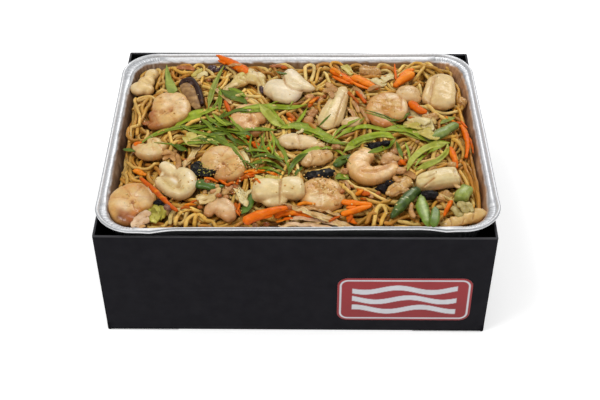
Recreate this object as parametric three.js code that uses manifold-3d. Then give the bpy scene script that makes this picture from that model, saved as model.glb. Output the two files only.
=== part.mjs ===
// Noodle takeaway box: an open black board box, a foil tray that hangs in it by
// its rim, a heap of fried noodles, and prawns, squid, carrot, beans, mushroom
// and cabbage lying in the top of the heap. Millimetres, +Z up, front at -Y.
import * as THREE from 'three';
import { mergeVertices } from 'three/addons/utils/BufferGeometryUtils.js';
import Module from 'manifold-3d';

// ---- driving dimensions ---------------------------------------------------
const BOX_W = 325;            // outer width of the board box at its open top
const BOX_D = 265;            // outer depth at its open top
const BOX_H = 109;            // height
const BOX_TAPER = 2;          // each side is this much further in at the floor
const BOARD = 2;              // board thickness
const BOX_R = 1.4;            // outer corner radius of the folded board

const TRAY_W = 329.6;         // over the rolled edge of the tray's rim
const TRAY_D = 263.6;
const TRAY_R = 33.5;          // corner radius of the rim's outer edge
const TRAY_DEPTH = 65;        // rim to underside
const FOIL = 0.8;             // wall of the foil tray with its crimps
const BEAD = 3.2;             // height of the rolled edge
const FLANGE = 10.4;          // rim width from rolled edge to inner wall
const WALL_LEAN = 15.5;       // how far the wall comes in from rim to base
const RIM_LIFT = 6;           // rim plane above the box's top edge
const TRAY_X = 0.9, TRAY_Y = -4.4;          // the tray sits a little off centre
const TRAY_YAW = 0.69, TRAY_TILT = -1.09;   // and not quite square, degrees

const FOOD_EDGE = -10;        // food level at the tray wall, below the rim
const FOOD_CROWN = 10;        // how much higher the middle of the heap is
const FOOD_BACK = 5;          // the heap is fuller by this much along the back wall
const CLEAR = 0.45;           // gap between neighbouring solids
const SINK = 0.36;            // share of a topping's thickness sunk in noodles

const LABEL_W = 112, LABEL_H = 50, LABEL_T = 0.4, LABEL_R = 9;
const LABEL_X = 91, LABEL_Z = 39;           // centre of the sticker on the front

const COLOURS = {
  board: [0x1d1c20, 0.55, 0], foil: [0xd4d6da, 0.3, 1], noodle: [0xc79a52, 0.5, 0],
  prawn: [0xe2bd8d, 0.4, 0], squid: [0xe6d6b0, 0.4, 0], carrot: [0xe2691e, 0.4, 0],
  bean: [0x4f7436, 0.4, 0], mushroom: [0x3a2a2a, 0.4, 0], cabbage: [0xd8d39a, 0.4, 0],
  sticker: [0x96191e, 0.45, 0],
};

// ---- toppings: x, y, heading, length, width, thickness, bend, pitch, layer --
// Places are in the tray's own frame, headings in degrees from +X.
const PRAWNS = [
  ['prawn_1', -114.4, 39.2, 205, 37, 36, 14, 285, 0, 0],
  ['prawn_2', -136.2, -86.2, 290, 38, 43, 15, -285, 4, 0],
  ['prawn_3', -64.3, -42.4, 250, 35, 34, 14, 285, 4, 0],
  ['prawn_4', -43.3, 21.2, 10, 31, 24, 12, 280, 0, 0],
  ['prawn_5', 80.4, 38.4, 292, 39, 38, 14, -285, 3, 0],
  ['prawn_6', 62.5, -51.3, 5, 38, 34, 13, -235, 0, 0],
  ['prawn_7', 21.5, -82.4, 12, 37, 29, 14, -285, 5, 0],
  ['prawn_8', -125.9, -22.7, 160, 32, 25, 12, 275, 0, 0],
  ['prawn_9', -63.3, -102.9, 30, 27, 22, 11, 280, 0, 0],
];
const SQUID = [
  ['squid_1', -144.9, 95.7, 75, 36, 20, 12, 35, 0, 0],
  ['squid_2', -43.4, 81.8, 75, 26, 28, 9, 40, 8, 0],
  ['squid_3', -8.0, 72.7, 0, 54, 36, 13, 20, 4, 1],
  ['squid_4', 129.6, 70.5, 90, 40, 33, 15, 10, 4, 0],
  ['squid_5', 103.7, 61.0, 20, 23, 22, 10, 10, 0, 0],
  ['squid_6', 32.9, 37.1, 72, 58, 13, 10, 8, 0, 0],
  ['squid_7', 4.6, -11.6, 9, 38, 18, 11, -12, 0, 0],
  ['squid_8', 15.5, -37.6, 7, 24, 16, 11, -10, 0, 0],
  ['squid_10', -16.3, -83.6, 2, 44, 29, 15, 8, 0, 1],
  ['squid_11', 116.8, -61.2, 18, 46, 17, 13, 6, 0, 1],
  ['squid_12', 133.4, -106.3, 19, 38, 13, 11, 18, 0, 0],
  ['squid_13', 84.3, -74.1, 43, 24, 12, 9, 10, 0, 1],
  ['squid_14', 47.2, 16.1, 15, 20, 17, 10, 0, 0, 0],
  ['squid_15', 77.9, -34.5, 20, 14, 13, 9, 0, 0, 0],
];
const RINGS = [['squid_9', -101.3, -61.1, 60, 37, 35, 12, 280, 5, 0]];
const CARROTS = [
  ['carrot_1', -63.0, 110.0, -45, 40, 7, 5, -6, -6, 2],
  ['carrot_2', 40.7, 86.8, -44, 33, 6, 4, 12, 0, 0],
  ['carrot_3', 60.9, 79.8, -37, 33, 7, 5, 10, 0, 0],
  ['carrot_4', 97.9, 78.3, 53, 44, 8, 6, 4, 3, 1],
  ['carrot_5', 90.7, 99.6, -97, 36, 4, 3, 6, 3, 0],
  ['carrot_6', 59.4, 55.3, -69, 26, 6, 4, -8, 0, 0],
  ['carrot_7', 107.4, 34.8, -38, 19, 8, 6, -20, 0, 0],
  ['carrot_8', -58.0, 28.3, -74, 36, 6, 4, -10, 0, 0],
  ['carrot_9', -29.9, -25.2, 8, 18, 8, 6, 10, 0, 0],
  ['carrot_10', 144.5, -1.3, -85, 48, 7, 5, -25, 0, 0],
  ['carrot_11', 132.8, -33.0, -84, 26, 8, 5, -10, 0, 0],
  ['carrot_12', -114.6, -85.0, -51, 55, 6, 5, -4, 0, 1],
  ['carrot_13', -25.0, -113.8, 23, 38, 9, 7, 4, 2, 1],
  ['carrot_14', -3.2, -107.0, 2, 29, 7, 6, 8, 0, 0],
  ['carrot_15', 48.3, -101.5, 12, 25, 9, 6, 0, 0, 0],
  ['carrot_16', 121.1, -98.5, 64, 20, 7, 5, 0, 0, 0],
];
const BEANS = [
  ['bean_1', 87.3, -96.7, 51, 42, 8, 8, -12, 3, 1],
  ['bean_2', 136.5, -80.1, 100, 15, 9, 9, 0, 0, 1],
  ['bean_3', 101.7, -111.3, -89, 31, 10, 6, 6, -2, 2],
  ['bean_4', 110.4, -108.8, -97, 25, 8, 6, -4, 0, 0],
  ['bean_5', 127.6, -0.8, 37, 38, 8, 8, -6, 0, 0],
  ['bean_6', -72.6, -74.8, 15, 21, 8, 6, 6, 0, 0],
  ['bean_7', -41.0, -97.7, 71, 19, 7, 7, 4, 0, 1],
  ['bean_8', 40.0, -41.8, 22, 19, 8, 7, 8, 0, 0],
];
const MUSHROOMS = [
  ['mushroom_1', -97.2, 60.8, -66, 38, 14, 6, -15, 4, 0],
  ['mushroom_2', -78.8, -54.0, -25, 25, 20, 5, 0, 0, 0],
  ['mushroom_3', 18.5, -63.2, 12, 27, 13, 6, 40, 5, 0],
  ['mushroom_4', 109.5, -84.9, 0, 18, 11, 5, 0, 0, 0],
];
const CABBAGE = [
  ['cabbage_1', -116.2, -102.9, 30, 26, 20, 8, 30, 0, 0],
  ['cabbage_2', -45.4, -77.8, 80, 22, 18, 5, 40, 4, 0],
  ['cabbage_3', 107.2, 21.6, -12, 30, 17, 6, 30, 0, 0],
];

// ---- helpers ----------------------------------------------------------------
const rad = THREE.MathUtils.degToRad;
const smooth = (a, b, t) => { const u = Math.min(1, Math.max(0, (t - a) / (b - a))); return u * u * (3 - 2 * u); };

// Keep position only, weld, and make every face point outward.
function solid(geometry) {
  geometry.deleteAttribute('normal');
  geometry.deleteAttribute('uv');
  const g = mergeVertices(geometry, 1e-3);
  const p = g.attributes.position, ix = g.index.array, keep = [];
  let volume = 0;
  const a = new THREE.Vector3(), b = new THREE.Vector3(), c = new THREE.Vector3();
  for (let i = 0; i < ix.length; i += 3) {
    const [i0, i1, i2] = [ix[i], ix[i + 1], ix[i + 2]];
    if (i0 === i1 || i1 === i2 || i0 === i2) continue;
    a.fromBufferAttribute(p, i0); b.fromBufferAttribute(p, i1); c.fromBufferAttribute(p, i2);
    volume += a.dot(b.clone().cross(c)) / 6;
    keep.push(i0, i1, i2);
  }
  if (volume < 0) for (let i = 0; i < keep.length; i += 3) [keep[i], keep[i + 1]] = [keep[i + 1], keep[i]];
  g.setIndex(keep);
  return g;
}

// A point on a rounded rectangle: station k of a ring with `arc` steps in each
// corner and `run` steps along each side.
function station(k, arc, run, halfW, halfD, r) {
  const per = arc + run, side = Math.floor(k / per) % 4, j = k % per;
  const corner = (s, i) => {
    const q = ((s % 4) + 4) % 4, sx = q === 0 || q === 3 ? 1 : -1, sy = q < 2 ? 1 : -1;
    const t = (q * 90 + (90 * i) / arc) * Math.PI / 180;
    return [sx * (halfW - r) + r * Math.cos(t), sy * (halfD - r) + r * Math.sin(t)];
  };
  if (j <= arc) return corner(side, j);
  const [x0, y0] = corner(side, arc), [x1, y1] = corner(side + 1, 0), t = (j - arc) / run;
  return [x0 + (x1 - x0) * t, y0 + (y1 - y0) * t];
}

// A lathe whose every ring is a rounded rectangle. rings: [halfW, halfD, r, z];
// a ring with halfW 0 is the point on the axis. closed: the last ring is the first.
function roundedLathe(rings, arc, run, heightAt) {
  const n = 4 * (arc + run);
  const g = new THREE.LatheGeometry(rings.map((r, i) => new THREE.Vector2(r[0], r[3])), n);
  const p = g.attributes.position;
  for (let i = 0; i <= n; i++) {
    for (let j = 0; j < rings.length; j++) {
      const [hw, hd, r, z, free] = rings[j];
      const [x, y] = hw === 0 ? [0, 0] : station(i % n, arc, run, hw, hd, Math.min(r, hw, hd));
      p.setXYZ(i * rings.length + j, x, y, heightAt && free ? heightAt(x, y, z) : z);
    }
  }
  return solid(g);
}

// A body swept along a path: a sphere's rings are laid along the path, so both
// ends are round. side and up are the half widths at t.
function sweep(path, side, up, steps, sides, even) {
  const g = new THREE.SphereGeometry(1, sides, steps);
  const p = g.attributes.position, v = new THREE.Vector3();
  for (let i = 0; i < p.count; i++) {
    v.fromBufferAttribute(p, i);
    const q = Math.round(Math.acos(THREE.MathUtils.clamp(v.y, -1, 1)) / Math.PI * steps) / steps;
    const t = even ? q : 0.4 * q + 0.3 * (1 - Math.cos(Math.PI * q));
    const c = path(t), e = 0.02;
    const tan = path(Math.min(1, t + e)).sub(path(Math.max(0, t - e))).normalize();
    const s = new THREE.Vector3(0, 0, 1).cross(tan).normalize(), u = tan.clone().cross(s);
    const rr = Math.hypot(v.x, v.z) || 1;
    const pole = q === 0 || q === 1 ? 0 : 1;
    c.addScaledVector(s, pole * v.x / rr * side(t)).addScaledVector(u, pole * v.z / rr * up(t));
    p.setXYZ(i, c.x, c.y, c.z);
  }
  return g;
}
const round = (t, p = 2.2) => Math.pow(Math.max(0, 1 - Math.pow(Math.abs(2 * t - 1), p)), 1 / p);

// Straight run of a given length bent to an arc in the tray's plane.
const arcPath = (L, bend) => (t) => {
  const s = (t - 0.5) * L, k = rad(bend) / L;
  if (Math.abs(k) < 1e-6) return new THREE.Vector3(s, 0, 0);
  return new THREE.Vector3(Math.sin(k * s) / k, (1 - Math.cos(k * s)) / k, 0);
};

// ---- toppings' own shapes ---------------------------------------------------
// A peeled prawn curls from a thin tail round to its thick cut end.
function prawnShape([, , , heading, L, W, T, bend]) {
  const grow = (t) => (0.42 + 0.58 * smooth(0, 0.5, t)) * (1 - 0.1 * smooth(0.85, 1, t));
  const wide = Math.min(T * 0.56, Math.min(L, W) * 0.245);
  const path = (t) => {
    const r = wide * grow(t), a = rad(heading + bend * t), out = 1 + 0.06 * (1 - t);
    return new THREE.Vector3((L / 2 - r) * out * Math.cos(a), (W / 2 - r) * out * Math.sin(a), T / 2 * (grow(t) - 1) + 2.5 * (1 - t) * (1 - t));
  };
  return { g: sweep(path, (t) => wide * grow(t) * round(t, 4), (t) => T / 2 * grow(t) * round(t, 4), 10, 7), turn: 0 };
}
// A ring of squid, cut open and overlapping a little less than all the way round.
function ringShape([, , , heading, L, W, T, bend]) {
  const r = T / 2;
  const path = (t) => new THREE.Vector3((L / 2 - r) * Math.cos(rad(heading + bend * t)), (W / 2 - r) * Math.sin(rad(heading + bend * t)), 3 * t);
  return { g: sweep(path, (t) => r * round(t, 4), (t) => r * round(t, 4), 9, 7), turn: 0 };
}
// Thick, smooth squid and fish pieces: waisted, folded or plain.
function squidShape([name, , , heading, L, W, T, bend]) {
  const waist = { squid_10: [0.62, 0.22], squid_3: [0.66, 0.16], squid_1: [0.55, 0.15], squid_2: [0.4, 0.12] }[name] || [0.5, 0];
  const f = (t) => 1 - waist[1] * Math.exp(-Math.pow((t - waist[0]) / 0.09, 2));
  const boxy = name === 'squid_4' || name === 'squid_11' ? 4 : 2.6;
  return { g: sweep(arcPath(L, bend), (t) => W / 2 * f(t) * round(t, boxy), (t) => T / 2 * f(t) * round(t, boxy), name === 'squid_10' || name === 'squid_3' ? 8 : 6, 7), turn: heading };
}
function beanShape([, , , heading, L, W, T, bend]) {
  return { g: sweep(arcPath(L, bend), (t) => W / 2 * round(t, 5), (t) => T / 2 * round(t, 5), 5, 6), turn: heading };
}
function mushroomShape([, , , heading, L, W, T, bend]) {
  return { g: sweep(arcPath(L, bend), (t) => W / 2 * round(t, 2.4), (t) => T / 2 * round(t, 3), 5, 6), turn: heading };
}
function cabbageShape([, , , heading, L, W, T, bend]) {
  const base = arcPath(L, bend);
  const path = (t) => base(t).add(new THREE.Vector3(0, 0, 1.2 * Math.sin(t * 9)));
  return { g: sweep(path, (t) => W / 2 * round(t, 3) * (1 + 0.12 * Math.sin(t * 13)), (t) => T / 2 * round(t, 3), 6, 6), turn: heading };
}
// Carrot batons have square ends.
function carrotShape([, , , heading, L, W, T, bend]) {
  const g = new THREE.BoxGeometry(L, W, T, 3, 1, 1), p = g.attributes.position, path = arcPath(L, bend);
  for (let i = 0; i < p.count; i++) {
    const t = p.getX(i) / L + 0.5, c = path(t), a = rad(bend) * (t - 0.5), y = p.getY(i) * (1 - 0.12 * t);
    p.setXYZ(i, c.x - Math.sin(a) * y, c.y + Math.cos(a) * y, p.getZ(i) * (1 - 0.15 * t));
  }
  return { g, turn: heading };
}

// ---- height maps: what is already lying where --------------------------------
const CELL = 1, MX = 175, MY = 142, NX = 2 * MX + 1, NY = 2 * MY + 1;
const topMap = new Float32Array(NX * NY).fill(-1e3);
function raster(g, visit) {
  const p = g.attributes.position, ix = g.index ? g.index.array : null;
  const count = ix ? ix.length : p.count, V = [0, 1, 2].map(() => new THREE.Vector3());
  for (let i = 0; i < count; i += 3) {
    V.forEach((v, k) => v.fromBufferAttribute(p, ix ? ix[i + k] : i + k));
    const [A, B, C] = V, den = (B.y - C.y) * (A.x - C.x) + (C.x - B.x) * (A.y - C.y);
    if (Math.abs(den) < 1e-9) continue;
    const x0 = Math.floor(Math.min(A.x, B.x, C.x)), x1 = Math.ceil(Math.max(A.x, B.x, C.x));
    const y0 = Math.floor(Math.min(A.y, B.y, C.y)), y1 = Math.ceil(Math.max(A.y, B.y, C.y));
    for (let x = x0; x <= x1; x++) for (let y = y0; y <= y1; y++) {
      const u = ((B.y - C.y) * (x - C.x) + (C.x - B.x) * (y - C.y)) / den;
      const w = ((C.y - A.y) * (x - C.x) + (A.x - C.x) * (y - C.y)) / den;
      if (u < -0.1 || w < -0.1 || u + w > 1.1) continue;
      visit(x, y, u * A.z + w * B.z + (1 - u - w) * C.z);
    }
  }
}
const cell = (x, y) => (Math.abs(x) > MX || Math.abs(y) > MY ? -1 : (x + MX) * NY + (y + MY));

// Surface of the noodles, before anything lies in them.
function foodLevel(x, y) {
  const a = Math.max(0, 1 - Math.pow(Math.abs(x / 153), 5)), b = Math.max(0, 1 - Math.pow(Math.abs(y / 122), 5));
  const lumps = 1.3 * Math.sin(x / 9.1 + 1.7 * Math.sin(y / 17)) * Math.cos(y / 7.9 + 0.9 * Math.sin(x / 13)) + 0.9 * Math.sin(x / 21 - y / 15);
  const back = Math.pow(Math.max(0, y / 122), 8) * Math.max(0, 1 - Math.pow(Math.abs(x / 153), 8));
  return FOOD_EDGE + FOOD_CROWN * a * b + FOOD_BACK * back + lumps;
}

// ---- tray ---------------------------------------------------------------------
// z = 0 is the top of the rolled edge; the wall leans in to a flat base.
const ringAt = (inset, z, r) => [TRAY_W / 2 - inset, TRAY_D / 2 - inset, r ?? TRAY_R - inset, z];
const wallInset = (z) => FLANGE + (WALL_LEAN * -z) / TRAY_DEPTH;
const wallR = (z) => TRAY_R - FLANGE + 2 * (-z / TRAY_DEPTH);
const inner = (z, gap = 0) => ringAt(wallInset(z) + gap, z, wallR(z) - gap);
const outer = (z) => ringAt(wallInset(z) - FOIL, z, wallR(z) + FOIL);
const D = TRAY_DEPTH;
const trayRings = [
  [0, 0, 0, -D + FOIL], ringAt(wallInset(-D) + 8, -D + FOIL, 16), ringAt(wallInset(-D) + 2.2, -D + 2.4), inner(-D + 7),
  inner(-30), inner(-3.0), ringAt(FLANGE - 0.7, -2.0), ringAt(BEAD + 0.3, -1.7), ringAt(BEAD - 0.7, -0.35), ringAt(BEAD / 2, 0),
  ringAt(0.45, -0.6), ringAt(0, -BEAD / 2), ringAt(0.6, -BEAD), ringAt(BEAD - 0.9, -BEAD + 0.1), ringAt(BEAD + 0.5, -2.6),
  ringAt(FLANGE - 1.2, -2.9), outer(-4.2), outer(-30), outer(-D + 7), ringAt(wallInset(-D) + 1.6, -D + 1.4),
  ringAt(wallInset(-D) + 8, -D, 16), [0, 0, 0, -D],
];
const trayGeometry = roundedLathe(trayRings, 5, 1);
raster(trayGeometry, (x, y, z) => { const c = cell(x, y); if (c >= 0 && z > -6) topMap[c] = Math.max(topMap[c], z); });

// ---- noodle heap -----------------------------------------------------------------
const s = CLEAR;
const heapRings = [[0, 0, 0, -D + FOIL + s], ringAt(wallInset(-D) + 9, -D + FOIL + s, 16), inner(-D + 7, s + 0.6)];
const EDGE = inner(FOOD_EDGE - 3, s + 0.4);
heapRings.push([EDGE[0], EDGE[1], EDGE[2], FOOD_EDGE - 3]);
for (const k of [0.97, 0.91, 0.82, 0.71, 0.58, 0.43, 0.25]) heapRings.push([EDGE[0] * k, EDGE[1] * k, EDGE[2] * (0.5 + 0.5 * k), 0, true]);
heapRings.push([0, 0, 0, foodLevel(0, 0)]);
const heapGeometry = roundedLathe(heapRings, 4, 10, (x, y) => foodLevel(x, y));
const heapMap = new Float32Array(NX * NY).fill(-1e3);
raster(heapGeometry, (x, y, z) => { const c = cell(x, y); if (c >= 0) heapMap[c] = Math.max(heapMap[c], z); });

// ---- drop the toppings on the noodles ------------------------------------------
// Each one settles where it is lifted least, up to SHIFT mm from its place.
const SHIFT = 7;
const kinds = [[PRAWNS, prawnShape, 'prawn'], [RINGS, ringShape, 'squid'], [SQUID, squidShape, 'squid'], [CARROTS, carrotShape, 'carrot'],
  [BEANS, beanShape, 'bean'], [MUSHROOMS, mushroomShape, 'mushroom'], [CABBAGE, cabbageShape, 'cabbage']];
const all = kinds.flatMap(([rows, shape, colour]) => rows.map((row) => ({ row, shape, colour })));
all.sort((p, q) => p.row[9] - q.row[9]);
for (const item of all) {
  const [, x, y, , , , T, , pitch] = item.row;
  const { g, turn } = item.shape(item.row);
  g.applyMatrix4(new THREE.Matrix4().makeRotationY(-rad(pitch)));
  g.applyMatrix4(new THREE.Matrix4().makeRotationZ(rad(turn)));
  g.translate(x, y, 0);
  item.geometry = solid(g);
  const under = new Map(), over = new Map();
  raster(item.geometry, (i, j, z) => {
    const c = cell(i, j);
    if (c < 0) return;
    under.set(c, Math.min(z, under.get(c) ?? 1e3));
    over.set(c, Math.max(z, over.get(c) ?? -1e3));
  });
  const wide = new Float32Array(topMap);
  for (const step of [1, -1, NY, -NY]) {
    const from = new Float32Array(wide);
    for (let n = NY; n < wide.length - NY; n++) if (from[n + step] > wide[n]) wide[n] = from[n + step];
  }
  // Prawns, squid and cabbage sink in a little; the rest lies on top.
  item.sunk = ['prawn', 'squid', 'cabbage'].includes(item.colour);
  const restAt = (step) => {
    let level = 0, touch = -1e3;
    for (const [c, z] of under) {
      const h = heapMap[c + step] ?? -1e3;
      level += Math.max(h, FOOD_EDGE - 4) / under.size;
      touch = Math.max(touch, h - z);
    }
    return item.sunk ? level + T * (0.5 - SINK) : touch + CLEAR + 0.25;
  };
  let best = null;
  for (let di = -SHIFT; di <= SHIFT; di++) for (let dj = -SHIFT; dj <= SHIFT; dj++) {
    if (Math.hypot(di, dj) > SHIFT) continue;
    const rest = restAt(di * NY + dj);
    let blocked = -1e3;
    for (const [c, z] of under) {
      const n = c + di * NY + dj;
      if (n >= 0 && n < wide.length && wide[n] - z > blocked) blocked = wide[n] - z;
    }
    const lift = Math.max(0, blocked + CLEAR - rest), score = lift + 0.45 * Math.hypot(di, dj);
    if (!best || score < best.score) best = { score, lift, rest, di, dj };
  }
  item.settled = best;
  item.z = best.rest + best.lift;
  item.geometry.translate(best.di, best.dj, item.z);
  for (const [c, z] of over) {
    const n = c + best.di * NY + best.dj;
    if (n >= 0 && n < topMap.length) topMap[n] = Math.max(topMap[n], z + item.z);
  }
}

// ---- hollow the heap where the toppings are sunk in it ---------------------------
// Grow a mesh outward so that the hollow it leaves is clear of it all round.
function grown(g, by) {
  const h = g.clone();
  h.computeVertexNormals();
  const p = h.attributes.position, n = h.attributes.normal;
  for (let i = 0; i < p.count; i++) p.setXYZ(i, p.getX(i) + by * n.getX(i), p.getY(i) + by * n.getY(i), p.getZ(i) + by * n.getZ(i));
  h.deleteAttribute('normal');
  return h;
}
const wasm = await Module();
wasm.setup();
const toManifold = (g) => new wasm.Manifold(new wasm.Mesh({
  numProp: 3, vertProperties: new Float32Array(g.attributes.position.array), triVerts: new Uint32Array(g.index.array),
}));
let heap = toManifold(heapGeometry);
for (const item of all.filter((t) => t.sunk)) heap = heap.subtract(toManifold(grown(item.geometry, 0.55)));
const cut = heap.getMesh();
let noodleGeometry = new THREE.BufferGeometry();
noodleGeometry.setAttribute('position', new THREE.BufferAttribute(new Float32Array(cut.vertProperties), 3));
noodleGeometry.setIndex(Array.from(cut.triVerts));

// ---- box and sticker -----------------------------------------------------------
const boxRing = (inset, z, r) => {
  const lean = BOX_TAPER * (1 - z / BOX_H);
  return [BOX_W / 2 - lean - inset, BOX_D / 2 - lean - inset, r, z];
};
const boxGeometry = roundedLathe([
  [0, 0, 0, 0], boxRing(0.5, 0, BOX_R), boxRing(0, 0.5, BOX_R), boxRing(0, BOX_H, BOX_R), boxRing(BOARD, BOX_H, 0.4), boxRing(BOARD, BOARD, 0.4), [0, 0, 0, BOARD],
], 2, 1);

const stickerShape = new THREE.Shape();
const lw = LABEL_W / 2, lh = LABEL_H / 2;
stickerShape.moveTo(-lw + LABEL_R, -lh).lineTo(lw - LABEL_R, -lh).absarc(lw - LABEL_R, -lh + LABEL_R, LABEL_R, -Math.PI / 2, 0)
  .lineTo(lw, lh - LABEL_R).absarc(lw - LABEL_R, lh - LABEL_R, LABEL_R, 0, Math.PI / 2)
  .lineTo(-lw + LABEL_R, lh).absarc(-lw + LABEL_R, lh - LABEL_R, LABEL_R, Math.PI / 2, Math.PI)
  .lineTo(-lw, -lh + LABEL_R).absarc(-lw + LABEL_R, -lh + LABEL_R, LABEL_R, Math.PI, 1.5 * Math.PI);
const stickerGeometry = solid(new THREE.ExtrudeGeometry(stickerShape, { depth: LABEL_T, bevelEnabled: false, curveSegments: 3 }));

// ---- assembly -------------------------------------------------------------------
const piece = (name, geometry, colour) => {
  const [hex, roughness, metalness] = COLOURS[colour];
  const mesh = new THREE.Mesh(geometry, new THREE.MeshStandardMaterial({ color: hex, roughness, metalness }));
  mesh.name = name;
  return mesh;
};
const tray = new THREE.Group();
tray.rotation.set(rad(TRAY_TILT), 0, rad(TRAY_YAW), 'ZYX');
tray.position.set(TRAY_X, TRAY_Y, BOX_H + RIM_LIFT);
tray.add(piece('tray', trayGeometry, 'foil'), piece('noodles', noodleGeometry, 'noodle'));
for (const item of all) tray.add(piece(item.row[0], item.geometry, item.colour));

const sticker = piece('label', stickerGeometry, 'sticker');
const leanAngle = Math.atan2(BOX_TAPER, BOX_H);
sticker.rotation.set(Math.PI / 2 + leanAngle, 0, 0);
sticker.position.set(LABEL_X, -(BOX_D / 2 - BOX_TAPER * (1 - LABEL_Z / BOX_H)) - 0.3, LABEL_Z);

const model = new THREE.Group();
model.add(piece('box', boxGeometry, 'board'), sticker, tray);

// The origin is under the middle of the whole thing, on the surface it stands on.
const group = new THREE.Group();
group.add(model);
group.updateMatrixWorld(true);
const bounds = new THREE.Box3().setFromObject(model, true);
model.position.set(-(bounds.min.x + bounds.max.x) / 2, -(bounds.min.y + bounds.max.y) / 2, 0);
group.updateMatrixWorld(true);

export default group;
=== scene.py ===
import math
import bpy
import numpy as np
from mathutils import Matrix, Vector


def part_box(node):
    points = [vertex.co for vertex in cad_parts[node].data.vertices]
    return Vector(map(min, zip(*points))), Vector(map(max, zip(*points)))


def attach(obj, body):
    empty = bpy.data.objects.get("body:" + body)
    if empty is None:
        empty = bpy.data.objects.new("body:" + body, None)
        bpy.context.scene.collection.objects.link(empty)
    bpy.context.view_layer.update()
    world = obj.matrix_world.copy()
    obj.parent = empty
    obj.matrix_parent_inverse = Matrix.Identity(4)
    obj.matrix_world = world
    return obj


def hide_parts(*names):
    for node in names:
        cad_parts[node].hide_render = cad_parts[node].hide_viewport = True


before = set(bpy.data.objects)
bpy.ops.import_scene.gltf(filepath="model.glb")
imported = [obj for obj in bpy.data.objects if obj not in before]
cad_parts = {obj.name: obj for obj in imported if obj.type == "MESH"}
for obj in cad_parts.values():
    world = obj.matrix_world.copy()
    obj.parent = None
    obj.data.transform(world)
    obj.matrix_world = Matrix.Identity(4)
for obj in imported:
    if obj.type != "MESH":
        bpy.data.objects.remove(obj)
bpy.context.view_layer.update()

MM = 0.001

# =====================================================================
# frames, in millimetres: "row" is the CAD frame, "fit" has its origin under
# the middle of the box, "loc" is the tray's own frame (z = 0 on its rim)
# =====================================================================
lo, hi = [np.array(v) * 1000 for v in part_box("box")]
BOX_C = np.array([(lo[0] + hi[0]) / 2, (lo[1] + hi[1]) / 2, 0.0])
BOX_W, BOX_D, BOX_H, BOX_TAPER = 325.0, 265.0, 109.0, 2.0
TRAY_W, TRAY_D, TRAY_R, TRAY_DEPTH = 329.6, 263.6, 33.5, 65.0
FLANGE, WALL_LEAN = 10.4, 15.5
TRAY_O = BOX_C + np.array([0.9, -4.4, 115.0])


def rot_z(a):
    c, s = math.cos(a), math.sin(a)
    return np.array([[c, -s, 0], [s, c, 0], [0, 0, 1.0]])


def rot_x(a):
    c, s = math.cos(a), math.sin(a)
    return np.array([[1.0, 0, 0], [0, c, -s], [0, s, c]])


def rot_y(a):
    c, s = math.cos(a), math.sin(a)
    return np.array([[c, 0, s], [0, 1.0, 0], [-s, 0, c]])


TRAY_M = rot_z(math.radians(0.69)) @ rot_x(math.radians(-1.09))


def to_row(p):
    return np.asarray(p, float) @ TRAY_M.T + TRAY_O


def to_loc(p):
    return (np.asarray(p, float) - TRAY_O) @ TRAY_M


# camera solved from the box's corners in the 600 x 400 frame
CAM_F, CAM_PITCH, CAM_YAW, CAM_ROLL = 1205.89, math.radians(40.4575), math.radians(-0.6178), math.radians(-0.1038)
CAM_P = np.array([11.81, -844.76, 755.88]) + BOX_C


def cam_axes():
    cp, sp, cy, sy = math.cos(CAM_PITCH), math.sin(CAM_PITCH), math.cos(CAM_YAW), math.sin(CAM_YAW)
    fwd = np.array([sy * cp, cy * cp, -sp])
    right = np.array([cy, -sy, 0.0])
    up = np.cross(right, fwd)
    cr, sr = math.cos(CAM_ROLL), math.sin(CAM_ROLL)
    return cr * right + sr * up, -sr * right + cr * up, fwd


CR, CU, CF = cam_axes()


def at(px, py, z):
    """The point at tray height z that the camera sees at pixel (px, py)."""
    d = CF + (px - 300.0) / CAM_F * CR - (py - 200.0) / CAM_F * CU
    o, v = to_loc(CAM_P), TRAY_M.T @ d
    return o + v * ((z - o[2]) / v[2])


# =====================================================================
# small toolbox
# =====================================================================
RNG = np.random.default_rng(20)


def smooth01(a, b, t):
    u = np.clip((np.asarray(t, float) - a) / (b - a), 0, 1)
    return u * u * (3 - 2 * u)


def _hash(ix, iy, iz, seed):
    h = (ix * 374761393 + iy * 668265263 + iz * 2147483647 + seed * 1274126177) & 0xFFFFFFFF
    h = ((h ^ (h >> 13)) * 1274126177) & 0xFFFFFFFF
    return ((h ^ (h >> 16)) & 0xFFFF) / 32767.5 - 1.0


def vnoise(p, size, seed=0):
    """Smooth value noise in -1..1; p is N x 3 in mm, size the feature size."""
    q = np.asarray(p, float) / size
    i = np.floor(q).astype(np.int64)
    f = q - i
    f = f * f * (3 - 2 * f)
    out = 0.0
    for dx in (0, 1):
        for dy in (0, 1):
            for dz in (0, 1):
                w = (f[:, 0] if dx else 1 - f[:, 0]) * (f[:, 1] if dy else 1 - f[:, 1]) * (f[:, 2] if dz else 1 - f[:, 2])
                out = out + w * _hash(i[:, 0] + dx, i[:, 1] + dy, i[:, 2] + dz, seed)
    return out


def fbm(p, size, seed=0, octaves=3):
    total, amp = 0.0, 1.0
    for k in range(octaves):
        total = total + amp * vnoise(p, size / 2 ** k, seed + 17 * k)
        amp *= 0.5
    return total / 1.75


def srgb(r, g, b):
    c = np.array([r, g, b], float) / 255
    return np.where(c <= 0.04045, c / 12.92, ((c + 0.055) / 1.055) ** 2.4)


def mix(a, b, t):
    t = np.asarray(t, float)[..., None]
    return a * (1 - t) + b * t


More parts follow.
